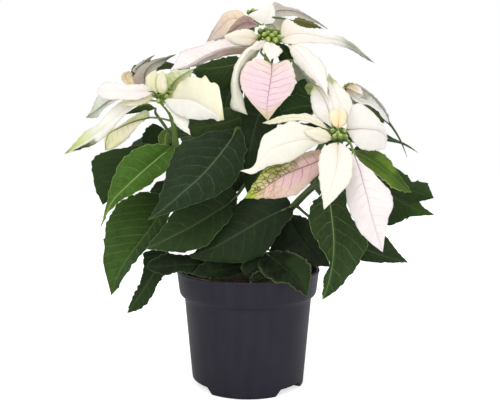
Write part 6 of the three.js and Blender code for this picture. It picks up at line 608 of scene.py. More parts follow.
def add_piece(name, verts, faces, nodes, mats, face_mats=None, point_colours=None, corner_vectors=None, uvs=None, smooth_faces=True):
    me = bpy.data.meshes.new(name)
    me.from_pydata((np.asarray(verts) * MM).tolist(), [], faces)
    me.validate(clean_customdata=False)
    for m in mats:
        me.materials.append(MATS[m])
    if face_mats is not None:
        me.polygons.foreach_set("material_index", np.asarray(face_mats, np.int32))
    me.polygons.foreach_set("use_smooth", np.full(len(me.polygons), smooth_faces))
    for key, values in (point_colours or {}).items():
        at = me.attributes.new(key, "FLOAT_COLOR", "POINT")
        rgba = np.ones((len(verts), 4), np.float32)
        rgba[:, :3] = values
        at.data.foreach_set("color", rgba.ravel())
    for key, values in (corner_vectors or {}).items():
        at = me.attributes.new(key, "FLOAT_VECTOR", "CORNER")
        at.data.foreach_set("vector", np.asarray(values, np.float32).ravel())
    if uvs is not None:
        layer = me.uv_layers.new(name="OFBake")
        layer.uv.foreach_set("vector", np.asarray(uvs, np.float32).ravel())
    me.update()
    ob = bpy.data.objects.new(name, me)
    bpy.context.scene.collection.objects.link(ob)
    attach(ob, "root")
    if nodes:
        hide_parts(*nodes)
    return ob


# ---------------------------------------------------------------------------------------------
# materials
# ---------------------------------------------------------------------------------------------
class Tree:
    """Short names for a material's nodes."""

    def __init__(self, name):
        self.mat = bpy.data.materials.new(name)
        self.mat.use_nodes = True
        self.nt = self.mat.node_tree
        self.nt.nodes.clear()
        self.out = self.nt.nodes.new("ShaderNodeOutputMaterial")
        self.bsdf = self.nt.nodes.new("ShaderNodeBsdfPrincipled")
        self.nt.links.new(self.bsdf.outputs[0], self.out.inputs["Surface"])
        MATS[name] = self.mat

    def link(self, a, b):
        self.nt.links.new(a, b)

    def put(self, socket, value):
        if isinstance(value, bpy.types.NodeSocket):
            self.link(value, socket)
        elif value is not None:
            socket.default_value = value

    def math(self, op, a, b=None, c=None, clamp=False):
        n = self.nt.nodes.new("ShaderNodeMath")
        n.operation = op
        n.use_clamp = clamp
        for i, v in enumerate((a, b, c)):
            if v is not None:
                self.put(n.inputs[i], v)
        return n.outputs[0]

    def map(self, x, a, b, c=0.0, d=1.0, kind="SMOOTHSTEP"):
        n = self.nt.nodes.new("ShaderNodeMapRange")
        n.interpolation_type = kind
        n.clamp = True
        for i, v in enumerate((x, a, b, c, d)):
            self.put(n.inputs[i], v)
        return n.outputs[0]

    def mix(self, fac, a, b, blend="MIX"):
        n = self.nt.nodes.new("ShaderNodeMix")
        n.data_type = "RGBA"
        n.blend_type = blend
        n.clamp_factor = True
        self.put(n.inputs[0], fac)
        for i, v in ((6, a), (7, b)):
            if isinstance(v, (tuple, list)) and len(v) == 3:
                v = (*v, 1.0)
            self.put(n.inputs[i], v)
        return n.outputs[2]

    def attr(self, name, out="Color"):
        n = self.nt.nodes.new("ShaderNodeAttribute")
        n.attribute_name = name
        return n.outputs[out]

    def split(self, v):
        n = self.nt.nodes.new("ShaderNodeSeparateXYZ")
        self.link(v, n.inputs[0])
        return n.outputs[0], n.outputs[1], n.outputs[2]

    def join(self, x, y, z):
        n = self.nt.nodes.new("ShaderNodeCombineXYZ")
        for i, v in enumerate((x, y, z)):
            self.put(n.inputs[i], v)
        return n.outputs[0]

    def coords(self):
        n = self.nt.nodes.new("ShaderNodeTexCoord")
        return n.outputs["Object"]

    def noise(self, vector, scale, detail=2.0, rough=0.5, distort=0.0):
        n = self.nt.nodes.new("ShaderNodeTexNoise")
        self.link(vector, n.inputs["Vector"])
        n.inputs["Scale"].default_value = scale
        n.inputs["Detail"].default_value = detail
        n.inputs["Roughness"].default_value = rough
        n.inputs["Distortion"].default_value = distort
        return n.outputs[0]

    def voronoi(self, vector, scale, feature="DISTANCE_TO_EDGE"):
        n = self.nt.nodes.new("ShaderNodeTexVoronoi")
        n.feature = feature
        self.link(vector, n.inputs["Vector"])
        n.inputs["Scale"].default_value = scale
        return n.outputs["Distance"]

    def bump(self, height, strength, distance):
        n = self.nt.nodes.new("ShaderNodeBump")
        self.put(n.inputs["Strength"], strength)
        n.inputs["Distance"].default_value = distance
        self.link(height, n.inputs["Height"])
        return n.outputs[0]

    def finish(self, colour, rough, normal=None, **plain):
        self.put(self.bsdf.inputs["Base Color"], colour)
        self.put(self.bsdf.inputs["Roughness"], rough)
        if normal is not None:
            self.link(normal, self.bsdf.inputs["Normal"])
        for k, v in plain.items():
            self.bsdf.inputs[k.replace("_", " ")].default_value = v


def blade_material(name, rough, spec, under=False, bract=False):
    """Leaf or bract skin. Attribute Col is the base colour, Vein the vein colour, Spot the colour of its patches.
    LA holds the lateral vein phase, the distance from the midrib and that from the margin, LB the vein spacing, the share of the
    way out to the margin and the share of the way to the tip, LC the strength of the laterals, of the midrib and of the patches."""
    t = Tree(name)
    at = t.coords()
    phase, dmid, dedge = t.split(t.attr("LA", "Vector"))
    spacing, out, along = t.split(t.attr("LB", "Vector"))
    lateral, midrib, patch = t.split(t.attr("LC", "Vector"))
    col, vein, spot = t.attr("Col"), t.attr("Vein"), t.attr("Spot")
    wobble = t.noise(at, 160.0, 2.0)
    big = t.noise(at, 70.0, 3.0, 0.55)
    mid = t.noise(at, 260.0, 3.0, 0.6)
    fine = t.noise(at, 1500.0, 2.0, 0.6)
    # patches
    share = 0.62 if not bract else 0.82
    mask = t.math("MULTIPLY", t.map(t.math("ADD", t.math("MULTIPLY", big, share), t.math("MULTIPLY", mid, 1 - share)), 0.38, 0.64), patch)
    base = t.mix(mask, col, spot)
    if bract and not under:
        base = t.mix(1.0, base, (0.925, 0.91, 0.885), "MULTIPLY")
    tone = t.map(fine, 0.25, 0.75, 0.93 if not bract else 0.97, 1.05 if not bract else 1.02, "LINEAR")
    tone2 = t.map(mid, 0.3, 0.7, 0.94 if not bract else 0.975, 1.05 if not bract else 1.015, "LINEAR")
    base = t.mix(1.0, base, t.join(t.math("MULTIPLY", tone, tone2), t.math("MULTIPLY", tone, tone2), t.math("MULTIPLY", tone, tone2)), "MULTIPLY")
    # lateral veins
    p = t.math("ADD", phase, t.map(wobble, 0.3, 0.7, -0.09, 0.09, "LINEAR"))
    f = t.math("FRACT", p)
    x, y, z = t.split(at)
    one = t.noise(t.join(t.math("ROUND", p), t.math("MULTIPLY", x, 14.0), t.math("MULTIPLY", z, 14.0)), 3.7, 1.0)
    one = t.map(one, 0.34, 0.66, 0.45, 1.2, "LINEAR")
    near = t.math("MULTIPLY", t.math("MINIMUM", f, t.math("SUBTRACT", 1.0, f)), spacing)
    width = t.map(out, 0.0, 1.0, 0.24 if not bract else 0.20, 0.09, "LINEAR")
    line = t.map(near, t.math("MULTIPLY", width, 0.35), t.math("MULTIPLY", width, 1.5), 1.0, 0.0)
    halo = t.map(near, 0.2, 1.6, 0.09, 0.0)
    rim_fade = t.map(dedge, 0.6, 3.2)
    side = t.math("MULTIPLY", t.math("MAXIMUM", line, halo), t.math("MULTIPLY", t.math("MULTIPLY", lateral, one), rim_fade))
    if bract:
        side = t.math("MULTIPLY", side, t.math("MAXIMUM", t.map(out, 0.20, 0.70, 1.0, 0.20), t.map(lateral, 0.85, 1.0)))
    # tertiary net
    net_at = t.join(t.math("MULTIPLY", phase, 2.4), t.math("MULTIPLY", dmid, 0.34), 0.0)
    net = t.voronoi(net_at, 1.0)
    net_line = t.math("MULTIPLY", t.map(net, 0.02, 0.12, 1.0, 0.0), t.map(lateral, 1.0, 1.7, t.math("MULTIPLY", t.math("MINIMUM", lateral, 1.0), 0.10 if bract else 0.09), 0.95, "LINEAR"))
    # midrib
    mw = t.map(along, 0.0, 1.0, 0.52 if not bract else 0.44, 0.14, "LINEAR")
    rib = t.math("MULTIPLY", t.map(dmid, t.math("MULTIPLY", mw, 0.45), t.math("MULTIPLY", mw, 1.15), 1.0, 0.0), midrib)
    rib_halo = t.math("MULTIPLY", t.map(dmid, 0.4, 2.6, 0.13, 0.0), midrib)
    veins = t.math("MAXIMUM", t.math("MAXIMUM", side, net_line), t.math("MAXIMUM", rib, rib_halo))
    colour = t.mix(veins, base, vein)
    # the very margin, tinted toward the vein colour; on leaves this pale line is painted rim light
    margin = t.math("MULTIPLY", t.map(dedge, 0.15, 0.75, 0.85 if not bract else 0.16, 0.0), t.map(mid, 0.36, 0.60, 0.45, 1.0))
    colour = t.mix(margin, colour, vein)
    # relief that the mesh is too coarse for
    relief = t.math("ADD", t.math("MULTIPLY", t.math("MAXIMUM", line, t.map(net, 0.02, 0.16, 0.5, 0.0)), -1.0 if not under else 1.0), t.math("MULTIPLY", fine, 0.35))
    r = t.map(mid, 0.3, 0.7, rough - 0.05, rough + 0.06, "LINEAR")
    r = t.math("ADD", r, t.math("MULTIPLY", line, 0.06))
    t.finish(colour, r, t.bump(relief, 0.35 if not bract else 0.2, 0.00025), Specular_IOR_Level=spec)
    if bract:
        t.bsdf.inputs["Subsurface Weight"].default_value = 0.0
    return t


def stalk_material(name, rough):
    """Green stem or leaf stalk. Attribute Col is its colour, LA the way along it in mm, the angle round it and its radius."""
    t = Tree(name)
    at = t.coords()
    along, angle, radius = t.split(t.attr("LA", "Vector"))
    streak = t.noise(t.join(t.math("MULTIPLY", along, 0.06), t.math("MULTIPLY", angle, 9.0), 0.0), 1.0, 3.0, 0.6)
    blot = t.noise(at, 320.0, 3.0, 0.6)
    fine = t.noise(at, 1800.0, 2.0)
    col = t.attr("Col")
    k = t.math("MULTIPLY", t.map(streak, 0.3, 0.7, 0.86, 1.14, "LINEAR"), t.map(blot, 0.3, 0.7, 0.88, 1.12, "LINEAR"))
    colour = t.mix(1.0, col, t.join(k, k, k), "MULTIPLY")
    lent = t.map(t.voronoi(at, 420.0, "F1"), 0.10, 0.20, 0.35, 0.0)
    colour = t.mix(t.math("MULTIPLY", lent, t.map(radius, 1.8, 4.0)), colour, (0.42, 0.40, 0.22))
    height = t.math("ADD", t.math("MULTIPLY", streak, 0.8), t.math("MULTIPLY", fine, 0.3))
    t.finish(colour, t.map(blot, 0.3, 0.7, rough - 0.05, rough + 0.07, "LINEAR"), t.bump(height, 0.3, 0.0004), Specular_IOR_Level=0.45)


def pot_material():
    """Charcoal moulded polypropylene: faint flow lines, scuffs near the rim and foot, satin sheen."""
    t = Tree("pot_plastic")
    at = t.coords()
    x, y, z = t.split(at)
    turn = t.math("ARCTAN2", y, x)
    flow = t.noise(t.join(t.math("MULTIPLY", turn, 5.0), t.math("MULTIPLY", z, 9.0), 0.0), 1.6, 3.0, 0.5)
    cloud = t.noise(at, 26.0, 3.0, 0.55)
    grain = t.noise(at, 2600.0, 2.0, 0.7)
    dust = t.noise(at, 420.0, 4.0, 0.65)
    base = t.mix(t.map(flow, 0.3, 0.7), (0.0172, 0.0158, 0.0256), (0.0222, 0.0205, 0.0322))
    base = t.mix(t.map(cloud, 0.4, 0.75, 0.0, 0.5), base, (0.026, 0.0242, 0.0362))
    specks = t.math("MULTIPLY", t.map(dust, 0.66, 0.78, 0.0, 0.55), t.map(z, 0.055, 0.104, 0.25, 1.0, "LINEAR"))
    base = t.mix(specks, base, (0.075, 0.070, 0.068))
    # painted light: a thin ring on the rim band's downward-facing lower edge is painted paler to cancel the shade that
    # falls there
    band_painted_light = t.math("MULTIPLY", t.map(z, 0.0788, 0.0800, 0.0, 0.5), t.map(z, 0.0818, 0.0834, 1.0, 0.0))
    base = t.mix(band_painted_light, base, (0.032, 0.0297, 0.044))
    r = t.map(cloud, 0.3, 0.7, 0.38, 0.47, "LINEAR")
    r = t.math("ADD", r, t.math("MULTIPLY", specks, 0.25))
    height = t.math("ADD", t.math("MULTIPLY", grain, 0.5), t.math("MULTIPLY", flow, 0.5))
    t.finish(base, r, t.bump(height, 0.14, 0.0003), Specular_IOR_Level=0.20)


def soil_material():
    t = Tree("peat_soil")
    at = t.coords()
    crumbs = t.voronoi(at, 330.0, "F1")
    dark = t.noise(at, 140.0, 4.0, 0.7)
    fibre = t.noise(at, 900.0, 4.0, 0.7, 1.2)
    base = t.mix(t.map(dark, 0.3, 0.7), (0.020, 0.013, 0.008), (0.075, 0.048, 0.030))
    base = t.mix(t.map(fibre, 0.58, 0.72, 0.0, 0.7), base, (0.17, 0.115, 0.07))
    base = t.mix(t.map(crumbs, 0.0, 0.35, 0.6, 0.0), base, (0.012, 0.008, 0.005))
    height = t.math("ADD", t.math("MULTIPLY", crumbs, 1.5), fibre)
    t.finish(base, 0.93, t.bump(height, 0.8, 0.0012), Specular_IOR_Level=0.25)


def bud_material():
    """Cyathia: glossy green cups, paler and yellower at the top. LA.x is the way up the cup."""
    t = Tree("cyathium_skin")
    at = t.coords()
    up, lobe, kind = t.split(t.attr("LA", "Vector"))
    blot = t.noise(at, 700.0, 3.0, 0.6)
    col = t.attr("Col")
    k = t.map(blot, 0.3, 0.7, 0.85, 1.15, "LINEAR")
    colour = t.mix(1.0, col, t.join(k, k, k), "MULTIPLY")
    t.finish(colour, t.map(blot, 0.3, 0.7, 0.24, 0.36, "LINEAR"), t.bump(blot, 0.25, 0.0003), Specular_IOR_Level=0.6)


blade_material("leaf_upper", 0.52, 0.10)
blade_material("leaf_lower", 0.66, 0.15, under=True)
blade_material("bract_upper", 0.62, 0.2, bract=True)
blade_material("bract_lower", 0.68, 0.2, under=True, bract=True)
stalk_material("stalk_skin", 0.48)
pot_material()
soil_material()
bud_material()

# ---------------------------------------------------------------------------------------------
# geometry
# ---------------------------------------------------------------------------------------------
class Build:
    """Collects closed solids into one piece, with their colours and their bake map."""

    def __init__(self):
        self.v, self.f, self.fm = [], [], []
        self.col, self.vein, self.spot = [], [], []
        self.la, self.lb, self.lc, self.uv = [], [], [], []
        self.n = 0

    def add(self, verts, faces, mats, col, vein=None, spot=None, la=None, lb=None, lc=None, uv=None):
        """verts (n,3); faces, lists of indices; la, lb, lc and uv one row per face corner."""
        verts = np.asarray(verts, float)
        n = len(verts)
        corners = sum(len(f) for f in faces)
        self.v.append(verts)
        self.f += [[i + self.n for i in f] for f in faces]
        self.fm += list(mats)
        full = lambda x: np.broadcast_to(np.asarray(x, float), (n, 3))
        self.col.append(full(col))
        self.vein.append(full(col if vein is None else vein))
        self.spot.append(full(col if spot is None else spot))
        zero = np.zeros((corners, 3))
        self.la.append(zero if la is None else la)
        self.lb.append(zero if lb is None else lb)
        self.lc.append(zero if lc is None else lc)
        self.uv.append(np.zeros((corners, 2)) if uv is None else uv)
        self.n += n

    def piece(self, name, nodes, mats):
        return add_piece(
            name, np.vstack(self.v), self.f, nodes, mats, self.fm,
            {"Col": np.vstack(self.col), "Vein": np.vstack(self.vein), "Spot": np.vstack(self.spot)},
            {"LA": np.vstack(self.la), "LB": np.vstack(self.lb), "LC": np.vstack(self.lc)},
            np.vstack(self.uv),
        )


def tube(b, points, radii, sides, step, mat, colours, box=(0, 0, 1, 1), rough=0.0, seed="tube", flat=None, samples=None):
    """Closed round rod along a curve. radii and colours are (share of the length, value) lists."""
    rng = rng_of(seed)
    pts = np.asarray(points, float)
    dense = curve(pts, np.linspace(0, 1, 300))
    s = np.concatenate([[0], np.cumsum(np.linalg.norm(np.diff(dense, axis=0), axis=1))])
    total = s[-1]
    n = samples or max(6, int(round(total / step)))
    fr = np.linspace(0, 1, n + 1)
    c = np.stack([np.interp(fr * total, s, dense[:, k]) for k in range(3)], -1)
    r = np.interp(fr, [x[0] for x in radii], [x[1] for x in radii])
    tan = unit(np.gradient(c, axis=0))
    side = np.cross(tan[0], [0, 0, 1.0])
    if np.linalg.norm(side) < 0.2:
        side = np.cross(tan[0], [1.0, 0, 0])
    side = side / np.linalg.norm(side)
    a = 2 * math.pi * np.arange(sides) / sides
    rings = []
    ph = rng.uniform(0, 6.28, 4)
    for i in range(n + 1):
        side = side - tan[i] * (side @ tan[i])
        side /= np.linalg.norm(side)
        other = np.cross(tan[i], side)
        rr = r[i] * (1 + rough * (0.5 * np.sin(2 * a + ph[0] + 5 * fr[i]) + 0.5 * np.sin(3 * a + ph[1] - 9 * fr[i]) + 0.6 * np.sin(total * fr[i] / 3.1 + ph[2])))
        k2 = 1.0 if flat is None else flat
        rings.append(c[i] + (np.cos(a) * rr)[:, None] * side + (np.sin(a) * rr * k2)[:, None] * other)
    verts = np.vstack(rings + [c[:1] - tan[:1] * r[0] * 0.35, c[-1:] + tan[-1:] * r[-1] * 0.35])
    faces, la, uv = [], [], []
    u0, v0, u1, v1 = box

    def corner(fi, j):
        la.append((fi * total, 2 * math.pi * (j / sides), np.interp(fi, fr, r)))
        uv.append((u0 + (u1 - u0) * (0.03 + 0.94 * fi), v0 + (v1 - v0) * j / sides))

    for i in range(n):
        for j in range(sides):
            k = (j + 1) % sides
            faces.append([i * sides + j, i * sides + k, (i + 1) * sides + k, (i + 1) * sides + j])
            corner(fr[i], j); corner(fr[i], j + 1); corner(fr[i + 1], j + 1); corner(fr[i + 1], j)
    first, last = (n + 1) * sides, (n + 1) * sides + 1
    for j in range(sides):
        k = (j + 1) % sides
        faces.append([first, k, j])
        corner(-0.02, j + 0.5); corner(0, j + 1); corner(0, j)
        faces.append([last, n * sides + j, n * sides + k])
        corner(1.02, j + 0.5); corner(1, j); corner(1, j + 1)
    fv = np.concatenate([np.repeat(fr, sides), [0, 1]])
    b.add(verts, faces, [mat] * len(faces), stops(colours, fv), la=np.array(la), uv=np.array(uv))


def ball(b, centre, axis, radius, stretch, around, along, mat, colour_low, colour_high, ribs=0, rib=0.0, box=(0, 0, 1, 1), flat_top=0.0):
    """Closed egg along an axis, its top a little flattened and ribbed."""
    axis = unit(np.asarray(axis, float))
    side = np.cross(axis, [0.3, 0.9, 0.2]); side /= np.linalg.norm(side)
    other = np.cross(axis, side)
    verts, up = [], []
    for i in range(1, along):
        th = math.pi * i / along
        h = -math.cos(th)
        rr = math.sin(th)
        if flat_top and h > 0:
            h *= 1 - flat_top * h
        for j in range(around):
            ph = 2 * math.pi * j / around
            k = radius * rr * (1 + rib * math.cos(ribs * ph))
            verts.append(centre + axis * (h * radius * stretch) + side * (k * math.cos(ph)) + other * (k * math.sin(ph)))
            up.append((h + 1) / 2)
    verts += [centre - axis * radius * stretch, centre + axis * radius * stretch * (1 - flat_top)]
    up += [0, 1]
    faces, la, uv = [], [], []
    u0, v0, u1, v1 = box

    def corner(i, j):
        la.append((i / along, 0, 0))
        uv.append((u0 + (u1 - u0) * j / around, v0 + (v1 - v0) * i / along))

    for i in range(along - 2):
        for j in range(around):
            k = (j + 1) % around
            faces.append([i * around + j, i * around + k, (i + 1) * around + k, (i + 1) * around + j])
            corner(i + 1, j); corner(i + 1, j + 1); corner(i + 2, j + 1); corner(i + 2, j)
    lo, hi = (along - 1) * around, (along - 1) * around + 1
    for j in range(around):
        k = (j + 1) % around
        faces.append([lo, k, j]); corner(0, j + .5); corner(1, j + 1); corner(1, j)
        faces.append([hi, (along - 2) * around + j, (along - 2) * around + k]); corner(along, j + .5); corner(along - 1, j); corner(along - 1, j + 1)
    up = np.array(up)[:, None]
    low, high = lin(colour_low), lin(colour_high)
    b.add(np.array(verts), faces, [mat] * len(faces), low + (high - low) * smooth(0.35, 1.0, up), la=np.array(la), uv=np.array(uv))


def blade(b, name, side, mid, left, right, look, stalk_radius, rows, cols, top_box=(0.0, 0.52, 1.0, 1.0), low_box=(0.0, 0.05, 1.0, 0.5), rim_box=(0.0, 0.503, 1.0, 0.517)):
    """A leaf or bract: a thin closed skin between its two margins, with veins, a sunken midrib above and a raised one below."""
    rng = rng_of(name)
    mid = np.asarray(mid, float)
    left = np.vstack([mid[:1], left, mid[-1:]])
    right = np.vstack([mid[:1], right, mid[-1:]])
    td = np.linspace(0, 1, 500)
    dense = curve(mid, td)
    arc = np.concatenate([[0], np.cumsum(np.linalg.norm(np.diff(dense, axis=0), axis=1))])
    total = arc[-1]
    x = np.linspace(0, 1, rows + 2)[1:-1]
    fr = 0.75 * x + 0.25 * (0.5 - 0.5 * np.cos(math.pi * x))
    t = np.interp(fr * total, arc, td)
    M, A, B = curve(mid, t), curve(left, t), curve(right, t)
    T = unit(curve(mid, np.minimum(t + 0.01, 1)) - curve(mid, np.maximum(t - 0.01, 0)))
    N = unit(np.cross(T, A - B)) * side
    ends = smooth(0.0, 0.08, fr) * smooth(0.0, 0.10, 1 - fr)
    amp = look.get("ruffle", 1.0)
    jag = look.get("jag", 0.45)
    hq = look.get("quilt", 0.42)
    nv = look.get("nv", 9)
    cot = look.get("cot", 0.42)
    arch = look.get("arch", 0.35)
    spacing = total * 1.02 / nv
    js = np.arange(-cols, cols + 1)
    aa = np.abs(js) / cols
    aa = np.where(aa > 0, 0.05 + 0.95 * (aa - 1 / cols) / (1 - 1 / cols), 0.0)
    surf = np.zeros((rows, 2 * cols + 1, 3))
    D = np.zeros((rows, 2 * cols + 1)); W = np.zeros_like(D)
    PH = np.zeros_like(D)
    for half, E, sel in ((1, A, js >= 0), (-1, B, js < 0)):
        w = np.linalg.norm(E - M, axis=1)
        e = (E - M) / np.maximum(w, 1e-6)[:, None]
        n = unit(N - (N * e).sum(1, keepdims=True) * e)
        out = jag * waves(fr, rng, 5, 13, 4) * ends
        out += (0.35 if look["kind"] == "bract" else 0.55) * jag * waves(fr, rng, 14, 30, 4) * ends
        saw_rng = rng_of(name + "_saw%d" % half)
        xs = fr * total / look.get("saw_len", 6.5) + saw_rng.uniform(0, 1) + 0.45 * waves(fr, saw_rng, 1, 4, 3)
        tooth = xs - np.floor(xs)
        power = saw_rng.uniform(0.0, 1.0, 200)[np.floor(xs).astype(int) % 200] ** 1.4
        saw = look.get("saw", 1.1 if look["kind"] == "leaf" else 0.45)
        out += saw * power * tooth ** 1.8 * (1 - smooth(0.80, 1.0, tooth)) * ends * smooth(3.0, 9.0, w)
        for tooth_half, at, size, width in look.get("teeth", ()):
            if tooth_half == half:
                out = out + size * np.exp(-((fr - at) / width) ** 2)
        ruffle = amp * waves(fr, rng, 1.5, 5.5, 3) * ends * np.minimum(w / 18.0, 1.3)
        wide = w + out
        for j in np.nonzero(sel)[0]:
            a = aa[j]
            d = wide * a
            ph = (fr * total - cot * d - arch * d * d / np.maximum(wide, 1)) / spacing
            q = np.abs(np.sin(math.pi * ph)) ** 0.75
            quilt = hq * (q - 0.35) * smooth(0.03, 0.25, a) * (1 - smooth(0.72, 1.0, a)) * ends * np.minimum(w / 16.0, 1.2)
            groove = -0.45 * np.exp(-(d / 1.1) ** 2) * np.minimum(w / 8.0, 1.0)
            lift = 0.06 * w * 4 * a * (1 - a) + ruffle * a ** 2.4 + quilt + groove
            blend = min(1.0, a * 2.2)
            nn = unit(N * (1 - blend) + n * blend)
            surf[:, j] = M + e * d[:, None] + nn * lift[:, None]
            D[:, j] = d; W[:, j] = wide
            PH[:, j] = ph
    base, tip = mid[0], mid[-1]
    # true surface normals
    ext = np.concatenate([np.broadcast_to(base, (1, 2 * cols + 1, 3)), surf, np.broadcast_to(tip, (1, 2 * cols + 1, 3))])
    dt = ext[2:] - ext[:-2]
    ds = np.gradient(surf, axis=1)
    G = np.cross(dt, ds) * side
    lens = np.linalg.norm(G, axis=2, keepdims=True)
    G = np.where(lens > 1e-6, G / np.maximum(lens, 1e-9), N[:, None, :])
    flip = (G * N[:, None, :]).sum(2, keepdims=True) < -0.2
    G = np.where(flip, N[:, None, :], G)
    th = look.get("thick", 0.42)
    rib = (0.75 * stalk_radius * (1 - fr) ** 0.8 + 0.22)[:, None] * np.exp(-(D / 0.95) ** 2)
    rib = rib * smooth(0.0, 0.5, W / 4)
    side_rib = 0.14 * np.exp(-((np.minimum(PH % 1, 1 - PH % 1) * spacing) / 0.55) ** 2) * (1 - smooth(0.6, 1.0, aa))[None, :] * np.minimum(W / 14.0, 1.0)
    upper = surf
    lower = surf - G * (th * (1 - 0.45 * aa[None, :] ** 3) + rib + side_rib)[:, :, None]
    nj = 2 * cols + 1
    base_low = base - N[0] * th
    tip_low = tip - N[-1] * th * 0.8
    verts = np.vstack([upper.reshape(-1, 3), lower.reshape(-1, 3), base[None], tip[None], base_low[None], tip_low[None]])
    nu = rows * nj
    iB, iT, jB, jT = 2 * nu, 2 * nu + 1, 2 * nu + 2, 2 * nu + 3
    F = np.concatenate([np.repeat(fr, nj), np.repeat(fr, nj), [0, 1, 0, 1]])
    AS = np.concatenate([np.tile(aa, rows), np.tile(aa, rows), [0, 0, 0, 0]])
    Dv = np.concatenate([D.ravel(), D.ravel(), [0, 0, 0, 0]])
    Wv = np.concatenate([W.ravel(), W.ravel(), [0, 0, 0, 0]])
    Jv = np.concatenate([np.tile(js, rows), np.tile(js, rows), [0, 0, 0, 0]]) / cols
    faces, halves, kinds = [], [], []

    def quad(q, half, kind):
        faces.append(q if side > 0 else q[::-1]); halves.append(half); kinds.append(kind)

    for i in range(rows - 1):
        for j in range(nj - 1):
            a0, a1, c1, c0 = i * nj + j, i * nj + j + 1, (i + 1) * nj + j + 1, (i + 1) * nj + j
            half = 1 if j >= cols else -1
            quad([a0, c0, c1, a1], half, 0)
            quad([a0 + nu, a1 + nu, c1 + nu, c0 + nu], half, 1)
    for j in range(nj - 1):
        half = 1 if j >= cols else -1
        quad([iB, j, j + 1], half, 0)
        quad([jB, j + 1 + nu, j + nu], half, 1)
        o = (rows - 1) * nj
        quad([o + j, iT, o + j + 1], half, 0)
        quad([o + j + nu, o + j + 1 + nu, jT], half, 1)
    for i in range(rows - 1):
        p, q = i * nj + nj - 1, (i + 1) * nj + nj - 1
        quad([p, q, q + nu, p + nu], 1, 2)
        p, q = i * nj, (i + 1) * nj
        quad([q, p, p + nu, q + nu], -1, 2)
    p, q = nj - 1, 0
    quad([iB, p, p + nu, jB], 1, 2); quad([q, iB, jB, q + nu], -1, 2)
    p, q = rows * nj - 1, (rows - 1) * nj
    quad([p, iT, jT, p + nu], 1, 2); quad([iT, q, q + nu, jT], -1, 2)
    # corner data
    flat = np.concatenate([np.asarray(f) for f in faces])
    count = np.array([len(f) for f in faces])
    hv = np.repeat(np.array(halves), count)
    kv = np.repeat(np.array(kinds), count)
    f_, d_, w_, a_, j_ = F[flat], Dv[flat], Wv[flat], AS[flat], Jv[flat]
    w_safe = np.maximum(w_, 1)
    ph = (f_ * total - cot * d_ - arch * d_ * d_ / w_safe) / spacing + np.where(hv < 0, 0.42, 0.0)
    edge = np.maximum(w_ - d_, 0.0)
    end_gap = np.minimum(f_, 1 - f_) * total
    edge = np.where(w_ > 0, np.minimum(edge, end_gap * 1.2), 0.0)
    la = np.stack([ph, d_, edge], -1)
    lb = np.stack([np.full_like(ph, spacing), a_, f_], -1)
    low = kv == 1
    lc = np.stack([np.where(low, look["under_vs"], look["vs"]), np.where(low, look["under_ms"], look["ms"]), np.where(low, look["under_patch"], look["patch"])], -1)
    for half, lo, hi, extra in look.get("net", ()):
        lc[:, 0] += extra * smooth(lo - 0.08, lo + 0.08, f_) * (1 - smooth(hi - 0.08, hi + 0.08, f_)) * (hv == half if half else 1)
    uv = np.zeros((len(flat), 2))
    for kind, bx in ((0, top_box), (1, low_box), (2, rim_box)):
        m = kv == kind
        u0, v0, u1, v1 = bx
        if kind == 2:
            vv = np.where(flat[m] < nu, 0.0, 1.0)
            vv = np.where((flat[m] == iB) | (flat[m] == iT), 0.0, np.where((flat[m] == jB) | (flat[m] == jT), 1.0, vv))
            half_v = np.where(hv[m] > 0, 0.5 * vv, 0.5 + 0.5 * vv)
            uv[m] = np.stack([u0 + (u1 - u0) * (0.01 + 0.98 * f_[m]), v0 + (v1 - v0) * half_v], -1)
        else:
            across = np.where(w_[m] > 0, j_[m], 0.0)
            uv[m] = np.stack([u0 + (u1 - u0) * (0.01 + 0.98 * f_[m]), v0 + (v1 - v0) * (0.5 + 0.49 * across)], -1)
    # colours
    up_or_low = np.concatenate([np.zeros(nu), np.ones(nu), [0, 0, 1, 1]])[:, None]
    def paint(c, areas):
        for half, lo, hi, a_lo, a_hi, rgb, strength, *soft in areas:
            k1, k2 = soft if soft else (0.06, 0.12)
            m = smooth(lo - k1, lo + k1, F) * (1 - smooth(hi - k1, hi + k1, F))
            m = m * (smooth(a_lo - k2, a_lo + k2, AS) if a_lo > 0 else 1) * (1 - smooth(a_hi - k2, a_hi + k2, AS) if a_hi < 1 else 1)
            if half:
                m = m * smooth(-0.1, 0.1, Jv * half)
            m = (m * strength)[:, None]
            c = c * (1 - m) + lin(rgb) * m
        return c

    def field(prefix):
        c = stops(look[prefix + "mid"], F)
        e = stops(look.get(prefix + "edge", look[prefix + "mid"]), F)
        k = (AS ** look.get(prefix + "edge_pow", 1.6))[:, None]
        return paint(c * (1 - k) + e * k, look.get(prefix + "areas", ()))

    def plain_field(prefix, what):
        return paint(stops(look[prefix + what], F), look.get(prefix + what + "_areas", ()))

    col = field("") * (1 - up_or_low) + field("under_") * up_or_low
    vein = plain_field("", "vein") * (1 - up_or_low) + plain_field("under_", "vein") * up_or_low
    spot = plain_field("", "spot") * (1 - up_or_low) + plain_field("under_", "spot") * up_or_low
    b.add(verts, faces, [0 if k != 1 else 1 for k in kinds], col, vein, spot, la, lb, lc, uv)
    return total


def bract_look(**kw):
    d = dict(
        mid=[(0, (252, 244, 222)), (0.2, (253, 250, 240)), (1, (252, 250, 243))], edge=[(0, (252, 248, 230)), (1, (250, 250, 236))],
        vein=[(0, (216, 176, 172)), (0.6, (222, 196, 196)), (1, (212, 204, 178))], vs=0.32, ms=0.55, patch=0.22,
        spot=[(0, (248, 230, 226)), (1, (247, 240, 232))],
        under_mid=[(0, (238, 230, 210)), (1, (234, 230, 212))], under_vein=[(0, (184, 166, 146)), (1, (176, 172, 140))],
        under_spot=[(0, (226, 214, 200)), (1, (222, 218, 198))], under_vs=0.30, under_ms=0.55, under_patch=0.4,
        quilt=0.26, nv=9, cot=0.40, arch=0.30, ruffle=1.0, jag=0.4, kind="bract")
    d.update(kw)
    return d


